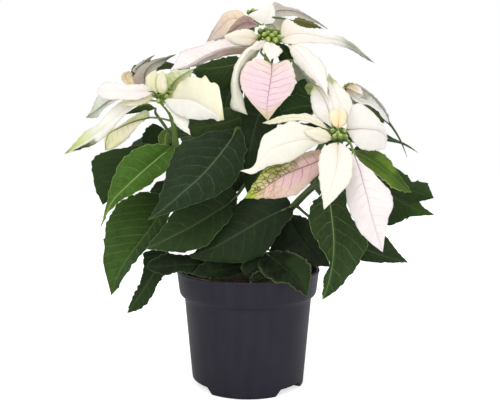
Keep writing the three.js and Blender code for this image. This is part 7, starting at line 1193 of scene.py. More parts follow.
def leaf_look(**kw):
    d = dict(
        mid=[(0, (31, 46, 24)), (0.5, (27, 41, 22)), (1, (29, 46, 22))], edge=[(0, (27, 43, 20)), (0.5, (30, 49, 21)), (1, (30, 50, 21))],
        vein=[(0, (104, 128, 84)), (0.7, (84, 110, 66)), (1, (74, 98, 56))], vs=0.36, ms=0.72, patch=0.5,
        spot=[(0, (36, 56, 26)), (1, (35, 56, 26))],
        under_mid=[(0, (78, 98, 60)), (1, (74, 94, 58))], under_vein=[(0, (120, 140, 92)), (1, (108, 128, 82))],
        under_spot=[(0, (68, 88, 52)), (1, (64, 84, 50))], under_vs=0.50, under_ms=0.9, under_patch=0.5,
        quilt=0.34, nv=10, cot=0.42, arch=0.42, ruffle=1.2, jag=0.62, kind="leaf")
    d.update(kw)
    return d

LOOKS = {
    "heart": bract_look(mid=[(0, (240, 208, 188)), (0.14, (249, 228, 221)), (0.40, (248, 222, 231)), (0.75, (247, 218, 231)), (0.92, (228, 208, 186)), (1, (196, 202, 140))],
                        edge=[(0, (247, 220, 190)), (0.25, (253, 240, 224)), (0.8, (251, 234, 224)), (0.93, (236, 228, 184)), (1, (186, 198, 130))],
                        vein=[(0, (170, 100, 104)), (0.2, (146, 66, 98)), (0.8, (166, 88, 120)), (1, (150, 140, 90))], vs=0.95, ms=1.0, nv=11, cot=0.30, arch=-0.22, quilt=0.3, edge_pow=7.0),
    "bract": bract_look(),
    "bract_s": bract_look(mid=[(0, (250, 234, 200)), (0.3, (253, 249, 234)), (1, (253, 251, 240))], edge=[(0, (251, 240, 218)), (1, (253, 251, 241))]),
    "bract_pink": bract_look(mid=[(0, (250, 240, 222)), (0.3, (253, 247, 243)), (1, (252, 247, 243))], edge=[(0, (250, 242, 234)), (1, (251, 246, 240))],
                             vein=[(0, (200, 146, 156)), (1, (216, 178, 184))], vs=0.32, ms=0.7, patch=0.35, spot=[(0, (247, 228, 230)), (1, (247, 232, 232))]),
    "bract_under": bract_look(under_mid=[(0, (190, 180, 166)), (1, (176, 170, 156))], under_vein=[(0, (120, 100, 92)), (1, (112, 104, 94))], under_vs=0.7, under_ms=0.9, under_patch=0.5,
                              under_spot=[(0, (206, 198, 184)), (1, (196, 190, 174))]),
    "olive": leaf_look(),
    "bract_duo": bract_look(),
    "bract_lime": bract_look(),
    "bract_veined": bract_look(mid=[(0, (250, 240, 238)), (0.4, (251, 245, 246)), (1, (250, 245, 247))], edge=[(0, (250, 242, 240)), (1, (252, 249, 250))],
                               vein=[(0, (128, 92, 116)), (0.5, (172, 140, 162)), (1, (204, 186, 196))], vs=0.55, ms=0.95, nv=13, patch=0.45, spot=[(0, (249, 233, 238)), (1, (250, 238, 242))]),
    "mottled": bract_look(mid=[(0, (232, 198, 172)), (0.2, (250, 208, 206)), (0.55, (255, 214, 220)), (0.76, (252, 214, 198)), (0.88, (206, 206, 112)), (1, (160, 190, 50))],
                          edge=[(0, (196, 172, 140)), (0.4, (236, 206, 190)), (0.8, (238, 206, 170)), (1, (170, 200, 60))],
                          vein=[(0, (74, 34, 40)), (0.55, (118, 52, 70)), (0.78, (110, 80, 38)), (1, (76, 88, 24))], vs=1.0, ms=1.0, patch=0.55,
                          spot=[(0, (222, 184, 170)), (0.55, (244, 208, 206)), (0.8, (226, 190, 150)), (1, (140, 176, 44))], cot=0.34, arch=0.2, nv=10, quilt=0.5),
    "bract_cream": bract_look(mid=[(0, (252, 249, 214)), (0.5, (253, 252, 228)), (0.94, (252, 250, 222)), (1, (196, 212, 120))], edge=[(0, (250, 248, 212)), (0.94, (250, 250, 222)), (1, (190, 208, 110))],
                              vein=[(0, (190, 180, 140)), (1, (188, 172, 144))], vs=0.10, ms=0.55),
    "bract_green": bract_look(under_mid=[(0, (226, 226, 190)), (1, (210, 214, 170))], under_vein=[(0, (130, 132, 80)), (1, (124, 128, 76))], under_vs=0.6, under_ms=0.9),
    "bract_tip_lime": bract_look(),
    "peach": bract_look(mid=[(0, (226, 180, 112)), (0.4, (244, 216, 158)), (1, (246, 228, 190))], vein=[(0, (150, 104, 60)), (1, (160, 124, 80))], vs=0.5, spot=[(0, (226, 178, 120)), (1, (236, 200, 150))], patch=0.6),
    "green_thin": leaf_look(),
    "leaf": leaf_look(),
    "leaf_bright": leaf_look(mid=[(0, (60, 94, 30)), (0.5, (58, 93, 28)), (1, (58, 88, 30))], edge=[(0, (64, 98, 32)), (1, (62, 94, 30))], vein=[(0, (164, 186, 116)), (1, (130, 160, 84))],
                             vs=0.32, ms=0.8, patch=0.5, spot=[(0, (76, 112, 38)), (1, (72, 108, 38))]),
    "leaf_mid": leaf_look(mid=[(0, (38, 57, 27)), (0.5, (34, 53, 25)), (1, (36, 58, 25))], edge=[(0, (36, 58, 24)), (1, (40, 64, 26))], vein=[(0, (112, 136, 84)), (1, (92, 118, 66))]),
    "leaf_tip": leaf_look(),
}
# what single blades have of their own
OVER = {
    # painted light: colours above 255 lift this shaded bract past white, and the two dark brown-olive areas are painted
    # shade inside its fold
    "bract_top_front_left": dict(mid=[(0, (262, 256, 232)), (0.3, (262, 262, 246)), (1, (262, 262, 250))], edge=[(0, (262, 261, 243)), (1, (262, 262, 250))],
                                 areas=[(-1, 0.10, 0.44, 0.40, 1, (150, 140, 92), 0.85, 0.05, 0.10), (-1, 0.46, 0.74, 0.62, 1, (104, 92, 76), 0.8, 0.04, 0.07)],
                                 teeth=[(-1, 0.27, 3.2, 0.09), (-1, 0.80, 1.6, 0.10)],
                                 vein=[(0, (150, 120, 90)), (0.5, (150, 150, 120)), (1, (200, 200, 170))], ms=0.6, vs=0.3),
    # painted light: colours above 255 lift this partly shaded bract past white
    "bract_top_front_right": dict(mid=[(0, (256, 251, 235)), (0.3, (258, 255, 252)), (1, (258, 252, 250))], spot=[(0, (255, 246, 243)), (1, (255, 242, 244))], patch=0.5, vein=[(0, (210, 170, 170)), (1, (222, 196, 200))]),
    "bract_top_front_small": dict(mid=[(0, (250, 246, 226)), (0.3, (254, 253, 248)), (1, (254, 253, 249))], patch=0.1),
    "bract_top_front_tiny": dict(mid=[(0, (246, 238, 212)), (0.4, (253, 250, 240)), (1, (252, 250, 240))]),
    "bract_top_left_small": dict(mid=[(0, (238, 170, 132)), (0.1, (248, 214, 176)), (0.26, (252, 244, 220)), (1, (254, 249, 236))], edge=[(0, (246, 214, 176)), (0.3, (253, 247, 228)), (1, (254, 250, 238))], vs=0.14),
    "bract_top_left_long": dict(mid=[(0, (248, 236, 222)), (0.3, (251, 242, 242)), (1, (252, 246, 246))], edge=[(0, (250, 242, 234)), (1, (252, 247, 246))], vein=[(0, (176, 126, 122)), (0.6, (196, 146, 156)), (1, (214, 180, 186))],
                                areas=[(-1, 0.08, 0.44, 0.05, 1, (198, 174, 148), 0.9, 0.05, 0.06), (-1, 0.40, 0.60, 0.28, 1, (222, 206, 184), 0.85, 0.05, 0.08), (-1, 0.58, 0.78, 0.50, 1, (232, 226, 208), 0.8, 0.05, 0.08),
                                       (-1, 0.30, 0.52, 0.22, 0.38, (142, 116, 104), 0.9, 0.05, 0.05), (-1, 0.50, 0.70, 0.40, 0.54, (136, 112, 104), 0.9, 0.05, 0.05), (-1, 0.68, 0.82, 0.58, 0.74, (140, 118, 112), 0.85, 0.04, 0.05)],
                                vein_areas=[(0, 0.08, 0.34, 0.0, 0.2, (140, 112, 100), 0.9)], vs=0.55, ms=0.85, nv=15),
    "bract_top_rear_left": dict(mid=[(0, (246, 230, 192)), (0.25, (248, 230, 196)), (0.55, (243, 222, 208)), (0.9, (242, 222, 214)), (1, (176, 180, 150))], edge=[(0, (248, 234, 200)), (0.5, (246, 228, 204)), (0.88, (226, 220, 200)), (1, (150, 160, 128))], vein=[(0, (176, 132, 104)), (1, (168, 118, 116))], vs=0.75, ms=0.85, spot=[(0, (244, 226, 190)), (1, (242, 212, 208))], patch=0.5, areas=[(1, 0.74, 1.0, 0.55, 1, (150, 160, 130), 0.85)]),
    "bract_top_rear_left_small": dict(under_mid=[(0, (196, 164, 158)), (1, (172, 142, 130))], under_edge=[(0, (206, 182, 172)), (1, (186, 164, 146))], under_vein=[(0, (88, 56, 58)), (1, (86, 66, 58))], under_vs=1.25, under_ms=0.6,
                                      under_spot=[(0, (150, 118, 114)), (1, (140, 114, 106))], under_patch=0.6, nv=14, cot=0.9),
    "bract_top_sail": dict(mid=[(0, (254, 252, 244)), (1, (254, 253, 248))], edge=[(0, (254, 252, 244)), (1, (253, 251, 244))], vs=0.08, ms=0.3, patch=0.1),
    "bract_top_rear_right": dict(under_mid=[(0, (214, 206, 192)), (0.3, (190, 184, 172)), (1, (164, 160, 146))], under_edge=[(0, (200, 192, 176)), (0.8, (186, 180, 164)), (1, (120, 120, 92))],
                                 under_vein=[(0, (120, 98, 92)), (1, (96, 88, 78))], under_vs=0.85, under_ms=1.0, nv=11),
    "leaf_top_olive": dict(under_mid=[(0, (92, 90, 46)), (1, (80, 84, 42))], under_edge=[(0, (110, 104, 60)), (1, (92, 94, 50))], under_vein=[(0, (130, 124, 78)), (1, (116, 112, 66))], under_spot=[(0, (76, 78, 36)), (1, (70, 74, 34))],
                           mid=[(0, (92, 92, 44)), (1, (80, 88, 40))]),
    "bract_top_right": dict(mid=[(0, (250, 240, 214)), (0.15, (251, 243, 234)), (0.5, (253, 250, 246)), (0.60, (240, 240, 232)), (0.68, (196, 200, 184)), (0.86, (178, 184, 164)), (1, (112, 122, 92))],
                            edge=[(0, (251, 244, 226)), (0.5, (254, 252, 248)), (0.62, (232, 234, 224)), (0.72, (176, 180, 160)), (1, (96, 106, 76))], edge_pow=2.5,
                            vein=[(0, (206, 176, 168)), (0.55, (190, 180, 170)), (1, (120, 122, 100))], vs=0.35, ms=0.7, teeth=[(1, 0.13, 3.4, 0.07)]),
    "bract_right_long_left": dict(mid=[(0, (250, 246, 226)), (0.3, (252, 250, 238)), (1, (252, 250, 240))], edge=[(0, (246, 246, 220)), (0.5, (250, 250, 234)), (1, (252, 251, 242))], vein=[(0, (190, 160, 140)), (1, (214, 196, 180))], vs=0.16, ms=0.5),
    "bract_right_edge_on": dict(mid=[(0, (251, 244, 222)), (0.4, (252, 250, 228)), (1, (248, 247, 216))], edge=[(0, (250, 248, 226)), (1, (242, 241, 200))], vein=[(0, (176, 146, 96)), (1, (140, 138, 70))], vs=0.5, ms=0.6, nv=13),
    "bract_right_up_left": dict(mid=[(0, (252, 246, 238)), (0.5, (254, 252, 249)), (0.78, (252, 253, 244)), (1, (238, 242, 206))], edge=[(0, (252, 248, 240)), (0.6, (253, 253, 248)), (1, (226, 234, 180))], areas=[(1, 0.84, 1.0, 0.5, 1, (196, 212, 134), 0.8)], vein=[(0, (176, 136, 148)), (0.6, (180, 142, 152)), (1, (150, 150, 110))], vs=0.26, ms=0.85),
    "bract_right_up": dict(mid=[(0, (252, 248, 230)), (0.4, (253, 252, 245)), (0.72, (250, 250, 242)), (0.79, (208, 213, 164)), (0.87, (206, 212, 162)), (0.93, (224, 226, 214)), (1, (228, 230, 224))],
                           edge=[(0, (252, 250, 238)), (0.70, (250, 250, 242)), (0.78, (182, 190, 130)), (0.88, (196, 202, 150)), (1, (226, 228, 224))], vein=[(0, (196, 164, 150)), (1, (176, 166, 160))], vs=0.28, ms=0.4),
    "bract_right_centre_small": dict(mid=[(0, (236, 182, 128)), (0.14, (250, 224, 172)), (0.45, (252, 242, 200)), (1, (252, 248, 218))], edge=[(0, (248, 222, 176)), (0.3, (253, 246, 212)), (1, (252, 249, 226))], vein=[(0, (190, 110, 90)), (0.5, (214, 160, 140)), (1, (240, 226, 200))], vs=0.16, ms=0.7),
    "bract_right_side": dict(mid=[(0, (246, 240, 234)), (0.2, (247, 244, 240)), (1, (245, 243, 238))], edge=[(0, (248, 245, 240)), (1, (246, 246, 240))], vein=[(0, (150, 110, 122)), (0.8, (176, 150, 158)), (1, (214, 200, 204))], vs=0.07, ms=0.9, spot=[(0, (243, 238, 237)), (1, (242, 238, 237))], patch=0.35),
    "bract_right_down": dict(mid=[(0, (242, 190, 150)), (0.06, (249, 226, 200)), (0.16, (252, 248, 238)), (1, (252, 250, 240))], edge=[(0, (250, 232, 210)), (0.2, (252, 250, 242)), (1, (251, 251, 240))], vein=[(0, (190, 140, 130)), (0.5, (190, 172, 160)), (1, (206, 198, 184))], vs=0.12, ms=0.55),
    "bract_right_inner_cream": dict(mid=[(0, (250, 240, 206)), (0.3, (253, 248, 222)), (1, (253, 250, 230))], edge=[(0, (250, 242, 210)), (1, (252, 249, 226))], vs=0.12, ms=0.35, patch=0.1),
    "bract_right_mottled": dict(areas=[(1, 0.46, 1.0, 0.22, 1, (206, 202, 138), 0.9, 0.08, 0.14), (1, 0.0, 0.46, 0.50, 1, (190, 172, 146), 0.8), (1, 0.42, 0.66, 0.60, 1, (124, 132, 62), 0.75), (1, 0.60, 1.0, 0.78, 1, (172, 200, 74), 0.9, 0.06, 0.08),
                                       (-1, 0.35, 0.84, 0.60, 1, (248, 222, 200), 0.85), (0, 0.90, 1.0, 0.0, 1, (164, 194, 52), 0.9, 0.04, 0.1)],
                                vein_areas=[(1, 0.42, 0.97, 0.0, 1, (92, 84, 24), 1.0, 0.06, 0.1)], spot_areas=[(1, 0.42, 0.86, 0.0, 1, (128, 138, 48), 1.0, 0.06, 0.1)], net=[(1, 0.44, 0.94, 0.70), (-1, 0.66, 0.90, 0.30)]),
    # painted light: one half, which faces away from the lamps, is painted above white (262) to offset its shade
    "bract_left_large": dict(areas=[(-1, 0.0, 0.92, 0.0, 1, (262, 262, 256), 0.95), (1, 0.0, 0.2, 0.1, 1, (108, 124, 54), 0.9, 0.05, 0.08)], teeth=[(1, 0.7, 3.4, 0.022), (1, 0.755, -1.6, 0.02), (1, 0.4, 1.0, 0.03), (-1, 0.88, 1.6, 0.03)]),
    # painted light: the whole bract is painted above white (262) to offset the shade it turns into
    "bract_left_drooping": dict(mid=[(0, (262, 262, 252)), (0.3, (262, 262, 257)), (1, (262, 262, 257))], edge=[(0, (262, 262, 254)), (1, (262, 262, 257))], vs=0.06, ms=0.15, patch=0.05, teeth=[(1, 0.62, 1.6, 0.05), (1, 0.82, -1.2, 0.04)]),
    "bract_left_mottled_up": dict(under_mid=[(0, (118, 134, 66)), (0.25, (176, 184, 120)), (0.6, (232, 236, 190)), (0.9, (251, 251, 226)), (1, (253, 253, 238))], under_edge=[(0, (206, 212, 150)), (0.5, (248, 248, 214)), (1, (252, 252, 232))], under_vein=[(0, (88, 104, 44)), (0.8, (130, 144, 72)), (1, (196, 202, 140))], under_vs=1.0, under_ms=0.9, under_spot=[(0, (160, 170, 96)), (0.7, (196, 204, 140)), (1, (236, 240, 200))], under_patch=0.85, nv=8, under_areas=[(0, 0.0, 0.2, 0.0, 1, (104, 126, 50), 0.85, 0.06, 0.1), (1, 0.18, 0.42, 0.3, 1, (176, 188, 124), 0.5)]),
    "bract_left_curl_a": dict(mid=[(0, (240, 240, 190)), (0.5, (251, 251, 216)), (1, (253, 251, 226))], edge=[(0, (232, 236, 176)), (1, (250, 250, 218))], vein=[(0, (196, 200, 120)), (1, (214, 210, 150))], vs=0.4, ms=0.4, spot=[(0, (230, 236, 170)), (1, (244, 238, 200))], patch=0.5, areas=[(0, 0.0, 0.14, 0.0, 1, (158, 178, 92), 0.75, 0.06, 0.1)]),
    "bract_left_curl_b": dict(mid=[(0, (240, 240, 190)), (0.4, (252, 248, 224)), (1, (250, 246, 216))], edge=[(0, (150, 164, 76)), (0.5, (176, 186, 100)), (1, (190, 194, 116))], edge_pow=5.0, vein=[(0, (206, 190, 130)), (0.5, (238, 206, 186)), (1, (210, 200, 140))], vs=0.3, ms=0.6, spot=[(0, (226, 230, 160)), (1, (240, 226, 196))], patch=0.4, areas=[(0, 0.0, 0.16, 0.0, 1, (142, 164, 78), 0.8, 0.06, 0.1), (-1, 0.16, 0.3, 0.4, 1, (170, 186, 104), 0.6, 0.06, 0.1)]),
    "bract_left_grey_arch": dict(under_mid=[(0, (152, 122, 114)), (0.35, (168, 150, 142)), (0.7, (170, 168, 150)), (1, (110, 118, 84))], under_edge=[(0, (176, 150, 138)), (0.6, (182, 176, 160)), (1, (104, 112, 78))],
                                 under_vein=[(0, (104, 80, 76)), (1, (96, 92, 76))], under_vs=0.8, under_ms=0.9, under_spot=[(0, (140, 112, 106)), (0.5, (190, 180, 166)), (1, (150, 150, 124))], under_patch=0.6, nv=11),
    "bract_left_grey_sliver": dict(under_mid=[(0, (190, 182, 160)), (0.6, (170, 166, 146)), (1, (120, 122, 100))], under_vein=[(0, (120, 112, 90)), (1, (96, 96, 76))]),
    "bract_left_wide": dict(mid=[(0, (253, 250, 238)), (0.4, (252, 248, 246)), (1, (252, 247, 246))], edge=[(0, (253, 250, 238)), (1, (251, 248, 244))], vein=[(0, (214, 184, 180)), (1, (222, 204, 200))], vs=0.16, ms=0.35, spot=[(0, (250, 238, 236)), (1, (249, 236, 238))], patch=0.5),
    "bract_left_mid_cream": dict(mid=[(0, (250, 248, 218)), (0.4, (252, 250, 230)), (1, (250, 248, 222))], edge=[(0, (248, 246, 204)), (1, (246, 244, 206))], vein=[(0, (206, 200, 140)), (1, (200, 190, 130))], vs=0.3, ms=0.4),
    "bract_left_grey_droop": dict(under_mid=[(0, (246, 244, 236)), (0.5, (240, 242, 232)), (0.85, (220, 226, 204)), (1, (150, 166, 120))], under_edge=[(0, (246, 244, 238)), (0.8, (226, 232, 212)), (1, (130, 148, 100))], under_vein=[(0, (150, 158, 136)), (1, (110, 130, 96))], under_vs=0.75, under_ms=0.9, nv=10),
    # painted light: the areas at 262 lift the shaded base and one half of this bract past white
    "bract_left_long_lime": dict(mid=[(0, (250, 246, 236)), (0.2, (254, 252, 248)), (0.58, (254, 253, 246)), (0.74, (238, 246, 192)), (0.9, (210, 226, 134)), (0.96, (150, 164, 90)), (1, (84, 96, 56))], edge=[(0, (252, 248, 240)), (0.55, (252, 252, 240)), (0.74, (226, 240, 160)), (0.92, (196, 216, 110)), (1, (90, 104, 56))], areas=[(0, 0.0, 0.5, 0.0, 1, (262, 261, 254), 0.9), (-1, 0.4, 0.95, 0.1, 1, (262, 262, 256), 0.95), (-1, 0.66, 0.905, 0.42, 1, (44, 62, 30), 1.0, 0.02, 0.05)], vein=[(0, (216, 196, 190)), (0.6, (214, 206, 180)), (0.8, (170, 190, 90)), (1, (90, 110, 50))], vs=0.16, ms=0.45, spot=[(0, (252, 246, 244)), (0.6, (250, 250, 236)), (0.8, (200, 220, 120)), (1, (120, 150, 70))], patch=0.5),
    "bract_left_under_pink": dict(under_mid=[(0, (226, 230, 190)), (1, (232, 232, 196))], under_areas=[(1, 0, 1, 0.06, 1, (188, 196, 148), 0.95), (-1, 0, 0.66, 0.06, 1, (232, 225, 196), 0.95), (-1, 0.62, 0.8, 0.0, 1, (240, 236, 186), 0.8), (-1, 0.8, 1, 0.0, 1, (250, 250, 196), 0.85), (1, 0.8, 1, 0.0, 1, (236, 238, 172), 0.8), (1, 0.3, 0.62, 0.0, 0.7, (156, 162, 100), 0.7)], under_vein=[(0, (96, 104, 44)), (0.5, (120, 112, 66)), (1, (150, 150, 80))], under_vs=0.62, under_ms=1.0, under_patch=0.25, under_spot=[(0, (232, 230, 200)), (1, (240, 232, 206))], nv=11, cot=0.3),
    "bract_rear_small": dict(under_mid=[(0, (176, 140, 84)), (0.14, (232, 200, 160)), (0.45, (244, 226, 206)), (1, (252, 250, 243))], under_edge=[(0, (196, 160, 96)), (0.3, (236, 210, 160)), (0.7, (250, 244, 230)), (1, (252, 250, 243))], under_vs=0.6, under_ms=0.7, under_vein=[(0, (120, 84, 50)), (1, (190, 160, 130))], under_areas=[(1, 0.0, 0.42, 0.6, 1, (150, 116, 66), 0.5), (0, 0.6, 1.0, 0, 1, (250, 247, 236), 0.8), (1, 0.35, 0.65, 0.2, 0.8, (222, 204, 162), 0.7)]),
    "bract_rear_long": dict(under_mid=[(0, (188, 182, 168)), (1, (158, 156, 148))], under_edge=[(0, (196, 190, 172)), (1, (140, 138, 126))], under_vein=[(0, (104, 96, 92)), (1, (92, 88, 84))], under_vs=0.85, under_ms=0.9, nv=11, under_areas=[(-1, 0.44, 0.8, 0.22, 1, (244, 244, 238), 0.95, 0.05, 0.06)]),
    "bract_rear_pale": dict(under_mid=[(0, (206, 204, 186)), (0.3, (238, 238, 232)), (1, (230, 232, 230))], under_edge=[(0, (200, 196, 170)), (0.4, (244, 244, 240)), (1, (226, 228, 226))], under_vein=[(0, (170, 164, 146)), (1, (176, 178, 172))], under_vs=0.3, under_ms=0.5, under_spot=[(0, (216, 214, 200)), (1, (218, 220, 218))], under_areas=[(1, 0.0, 0.9, 0.0, 0.25, (206, 204, 194), 0.4)], teeth=[(-1, 0.6, -3.0, 0.16), (-1, 0.75, -2.0, 0.1)]),
    "bract_rear_thin": dict(mid=[(0, (118, 120, 92)), (0.3, (100, 108, 66)), (0.42, (70, 84, 36)), (0.75, (64, 76, 40)), (1, (76, 80, 64))], edge=[(0, (110, 112, 84)), (0.4, (72, 86, 38)), (1, (80, 84, 70))], under_mid=[(0, (112, 114, 88)), (0.3, (92, 100, 60)), (0.42, (68, 82, 34)), (0.75, (66, 74, 44)), (1, (80, 82, 66))], under_spot=[(0, (96, 100, 70)), (0.42, (62, 76, 32)), (1, (70, 72, 56))], under_vein=[(0, (120, 122, 96)), (0.4, (84, 98, 50)), (1, (100, 100, 80))], jag=0.05, ruffle=0.1, under_edge=[(0, (112, 114, 88)), (0.3, (92, 100, 60)), (0.42, (68, 82, 34)), (0.75, (66, 74, 44)), (1, (80, 82, 66))]),
    "leaf_rear_dark": dict(mid=[(0, (48, 60, 46)), (1, (50, 58, 46))], edge=[(0, (44, 56, 42)), (1, (50, 58, 46))], jag=0.08, ruffle=0.2, quilt=0.05),
    "leaf_rear_green": dict(mid=[(0, (120, 116, 80)), (0.35, (92, 104, 52)), (0.55, (62, 86, 32)), (1, (48, 72, 26))], edge=[(0, (110, 106, 70)), (0.5, (80, 96, 46)), (1, (50, 78, 28))], teeth=[(-1, 0.62, 1.6, 0.16), (-1, 0.8, 1.2, 0.1)]),
    "leaf_left_wedge": dict(mid=[(0, (64, 80, 32)), (0.4, (42, 54, 26)), (1, (40, 52, 26))], edge=[(0, (80, 100, 40)), (1, (44, 58, 28))], areas=[(1, 0.0, 0.62, 0.5, 1, (124, 148, 62), 0.9)], jag=0.1, ruffle=0.2, quilt=0.05),
    "leaf_top_right_grey": dict(mid=[(0, (150, 156, 134)), (1, (166, 172, 156))], edge=[(0, (160, 164, 144)), (1, (176, 180, 166))], under_mid=[(0, (150, 156, 134)), (1, (166, 172, 156))], under_vein=[(0, (116, 122, 98)), (1, (130, 136, 114))], vein=[(0, (116, 122, 98)), (1, (130, 136, 114))], under_spot=[(0, (136, 144, 118)), (1, (150, 156, 138))]),
    "leaf_right_grey": dict(mid=[(0, (150, 168, 96)), (1, (166, 182, 112))], under_mid=[(0, (150, 168, 96)), (1, (166, 182, 112))], under_spot=[(0, (120, 140, 70)), (1, (140, 156, 84))], under_edge=[(0, (180, 192, 130)), (1, (196, 206, 150))]),
    "leaf_left_bright": dict(mid=[(0, (62, 96, 30)), (0.55, (60, 94, 29)), (0.78, (58, 88, 30)), (0.88, (72, 78, 32)), (1, (64, 62, 36))], edge=[(0, (66, 100, 33)), (0.76, (62, 90, 31)), (0.88, (78, 80, 36)), (1, (70, 64, 40))], vein=[(0.0, (176, 200, 124)), (1.0, (150, 180, 96))], vs=0.34, ms=0.95, nv=11, teeth=[(1, 0.415, 1.6, 0.022), (1, 0.47, -1.6, 0.025)]),
    # painted highlight: the brighter lime patches mid-blade are painted highlights, and the pale strip along one margin
    # is painted rim light
    "leaf_right_bright": dict(mid=[(0.0, (52, 68, 28)), (0.33, (66, 90, 30)), (0.67, (80, 108, 34)), (1.0, (58, 84, 30))], edge=[(0, (70, 92, 32)), (0.5, (92, 116, 42)), (1, (80, 104, 44))], areas=[(-1, 0.12, 0.7, 0.4, 0.92, (104, 130, 46), 0.6), (1, 0.34, 0.66, 0.25, 0.85, (116, 148, 44), 0.7), (1, 0.66, 1.0, 0.0, 1, (44, 64, 26), 0.6), (-1, 0.3, 0.97, 0.95, 1, (196, 208, 152), 0.95, 0.05, 0.03)], spot=[(0, (60, 84, 28)), (1, (60, 86, 28))], vein=[(0, (140, 160, 84)), (1, (110, 136, 66))], vs=0.2, ms=0.5, teeth=[(1, 0.14, 1.6, 0.02), (1, 0.2, -1.4, 0.02), (1, 0.42, 1.0, 0.02)]),
    "leaf_left_small": dict(mid=[(0, (92, 116, 46)), (1, (84, 108, 42))], edge=[(0, (84, 108, 42)), (1, (80, 104, 40))], vein=[(0, (196, 214, 140)), (1, (180, 200, 124))], vs=0.55, ms=0.95),
    "leaf_left_lower": dict(mid=[(0.0, (55, 72, 33)), (0.5, (58, 84, 33)), (1.0, (60, 91, 34))], edge=[(0.0, (52, 74, 30)), (1.0, (60, 92, 33))], areas=[(-1, 0.3, 0.95, 0.05, 1, (50, 70, 42), 0.85)], vein=[(0.0, (134, 158, 92)), (1.0, (120, 146, 78))], vs=0.5, ms=0.45, cot=1.25, arch=0.05, nv=12, teeth=[(1, 0.525, 1.5, 0.014), (1, 0.67, 1.5, 0.014), (1, 0.78, 1.5, 0.012), (1, 0.89, 1.3, 0.012), (1, 0.4, 1.6, 0.02)]),
    # painted shade: the leaves at the pot's rim are painted near black where they sit in shade under the foliage, and
    # their pale edges are painted rim light
    "leaf_rim_right": dict(mid=[(0.0, (14, 18, 12)), (0.5, (16, 22, 14)), (1.0, (28, 40, 22))], edge=[(0.0, (112, 116, 86)), (1.0, (122, 126, 88))], edge_pow=16.0, areas=[(1, 0.46, 1.0, 0.14, 0.88, (42, 60, 28), 0.8)], vein=[(0.0, (120, 128, 92)), (1.0, (96, 110, 68))], vs=0.08, ms=0.15, teeth=[(-1, 0.62, 1.8, 0.03), (-1, 0.35, -1.2, 0.05)], jag=0.8),
    "leaf_rim_small": dict(mid=[(0.0, (17, 22, 14)), (1.0, (22, 28, 17))], edge=[(0.0, (98, 100, 76)), (1.0, (104, 106, 80))], edge_pow=12.0, vs=0.06, ms=0.15),
    "leaf_rim_centre": dict(mid=[(0.0, (16, 20, 13)), (1.0, (20, 26, 16))], edge=[(0.0, (92, 94, 70)), (1.0, (100, 102, 76))], edge_pow=14.0, vs=0.06, ms=0.15),
    "leaf_rim_left": dict(mid=[(0.0, (18, 22, 15)), (1.0, (22, 28, 18))], edge=[(0.0, (60, 72, 46)), (1.0, (76, 92, 56))], edge_pow=14.0, vs=0.1, ms=0.2, teeth=[(1, 0.5, -2.5, 0.1)]),
    "leaf_rim_mid": dict(mid=[(0.0, (19, 24, 15)), (1.0, (22, 28, 17))], edge=[(0.0, (50, 58, 38)), (1.0, (56, 66, 42))], edge_pow=12.0, vs=0.08, ms=0.2),
    "leaf_low_left": dict(mid=[(0.0, (34, 44, 28)), (0.5, (44, 58, 34)), (1.0, (46, 64, 34))], edge=[(0.0, (36, 48, 28)), (1.0, (50, 72, 34))], vein=[(0.0, (100, 122, 78)), (1.0, (90, 114, 66))], ms=0.6, vs=0.35, teeth=[(1, 0.2, 4.5, 0.08)]),
    "leaf_centre_low": dict(mid=[(0.0, (28, 35, 24)), (0.5, (32, 41, 26)), (1.0, (36, 50, 27))], edge=[(0.0, (30, 38, 24)), (1.0, (40, 56, 28))], vein=[(0.0, (100, 120, 80)), (1.0, (96, 118, 72))], ms=0.5, vs=0.26, cot=0.7, teeth=[(1, 0.06, 4.5, 0.08), (-1, 0.065, 3.0, 0.06)]),
    "leaf_centre_mid": dict(mid=[(0.0, (36, 46, 28)), (0.5, (42, 56, 30)), (1.0, (44, 62, 31))], edge=[(0.0, (38, 50, 28)), (1.0, (44, 62, 30))], vein=[(0.0, (116, 138, 84)), (1.0, (104, 128, 72))], ms=0.7, vs=0.32, cot=0.7),
    "leaf_centre_large": dict(mid=[(0.0, (34, 44, 30)), (0.5, (33, 45, 30)), (1.0, (34, 48, 31))], edge=[(0.0, (34, 48, 27)), (1.0, (35, 50, 30))], vein=[(0.0, (122, 142, 104)), (1.0, (100, 124, 84))], ms=0.85, vs=0.46, cot=0.62, nv=11, teeth=[(-1, 0.3, 0.9, 0.015), (-1, 0.45, 0.8, 0.012)]),
    "leaf_far_right": dict(mid=[(0.0, (46, 62, 32)), (1.0, (50, 68, 36))], edge=[(0.0, (48, 66, 34)), (1.0, (54, 74, 36))], vs=0.2, ms=0.4, jag=0.3, teeth=[(1, 0.51, 2.0, 0.02), (1, 0.6, -1.4, 0.035), (1, 0.656, 1.6, 0.012), (1, 0.8, 2.0, 0.012)], saw=0.4),
    "leaf_far_right_low": dict(mid=[(0.0, (46, 62, 32)), (1.0, (50, 68, 35))], edge=[(0.0, (48, 66, 32)), (1.0, (56, 78, 36))], vs=0.2, ms=0.4, jag=0.3, teeth=[(-1, 0.677, 2.6, 0.012), (-1, 0.62, -0.8, 0.03)], saw=0.4, areas=[(0, 0.62, 1.0, 0.0, 1, (56, 82, 32), 0.7)]),
    "leaf_far_left": dict(mid=[(0.0, (38, 54, 27)), (0.5, (44, 62, 29)), (1.0, (46, 66, 30))], edge=[(0.0, (40, 56, 27)), (1.0, (48, 70, 31))], vein=[(0.0, (104, 128, 80)), (1.0, (98, 124, 70))], vs=0.36, ms=0.4, cot=0.7, teeth=[(1, 0.68, 1.4, 0.02), (1, 0.55, 0.9, 0.015), (-1, 0.3, 0.9, 0.02)], jag=0.6),
    "leaf_back_3": dict(under_mid=[(0, (84, 92, 42)), (1, (88, 96, 46))], mid=[(0, (78, 90, 36)), (1, (80, 92, 38))]),
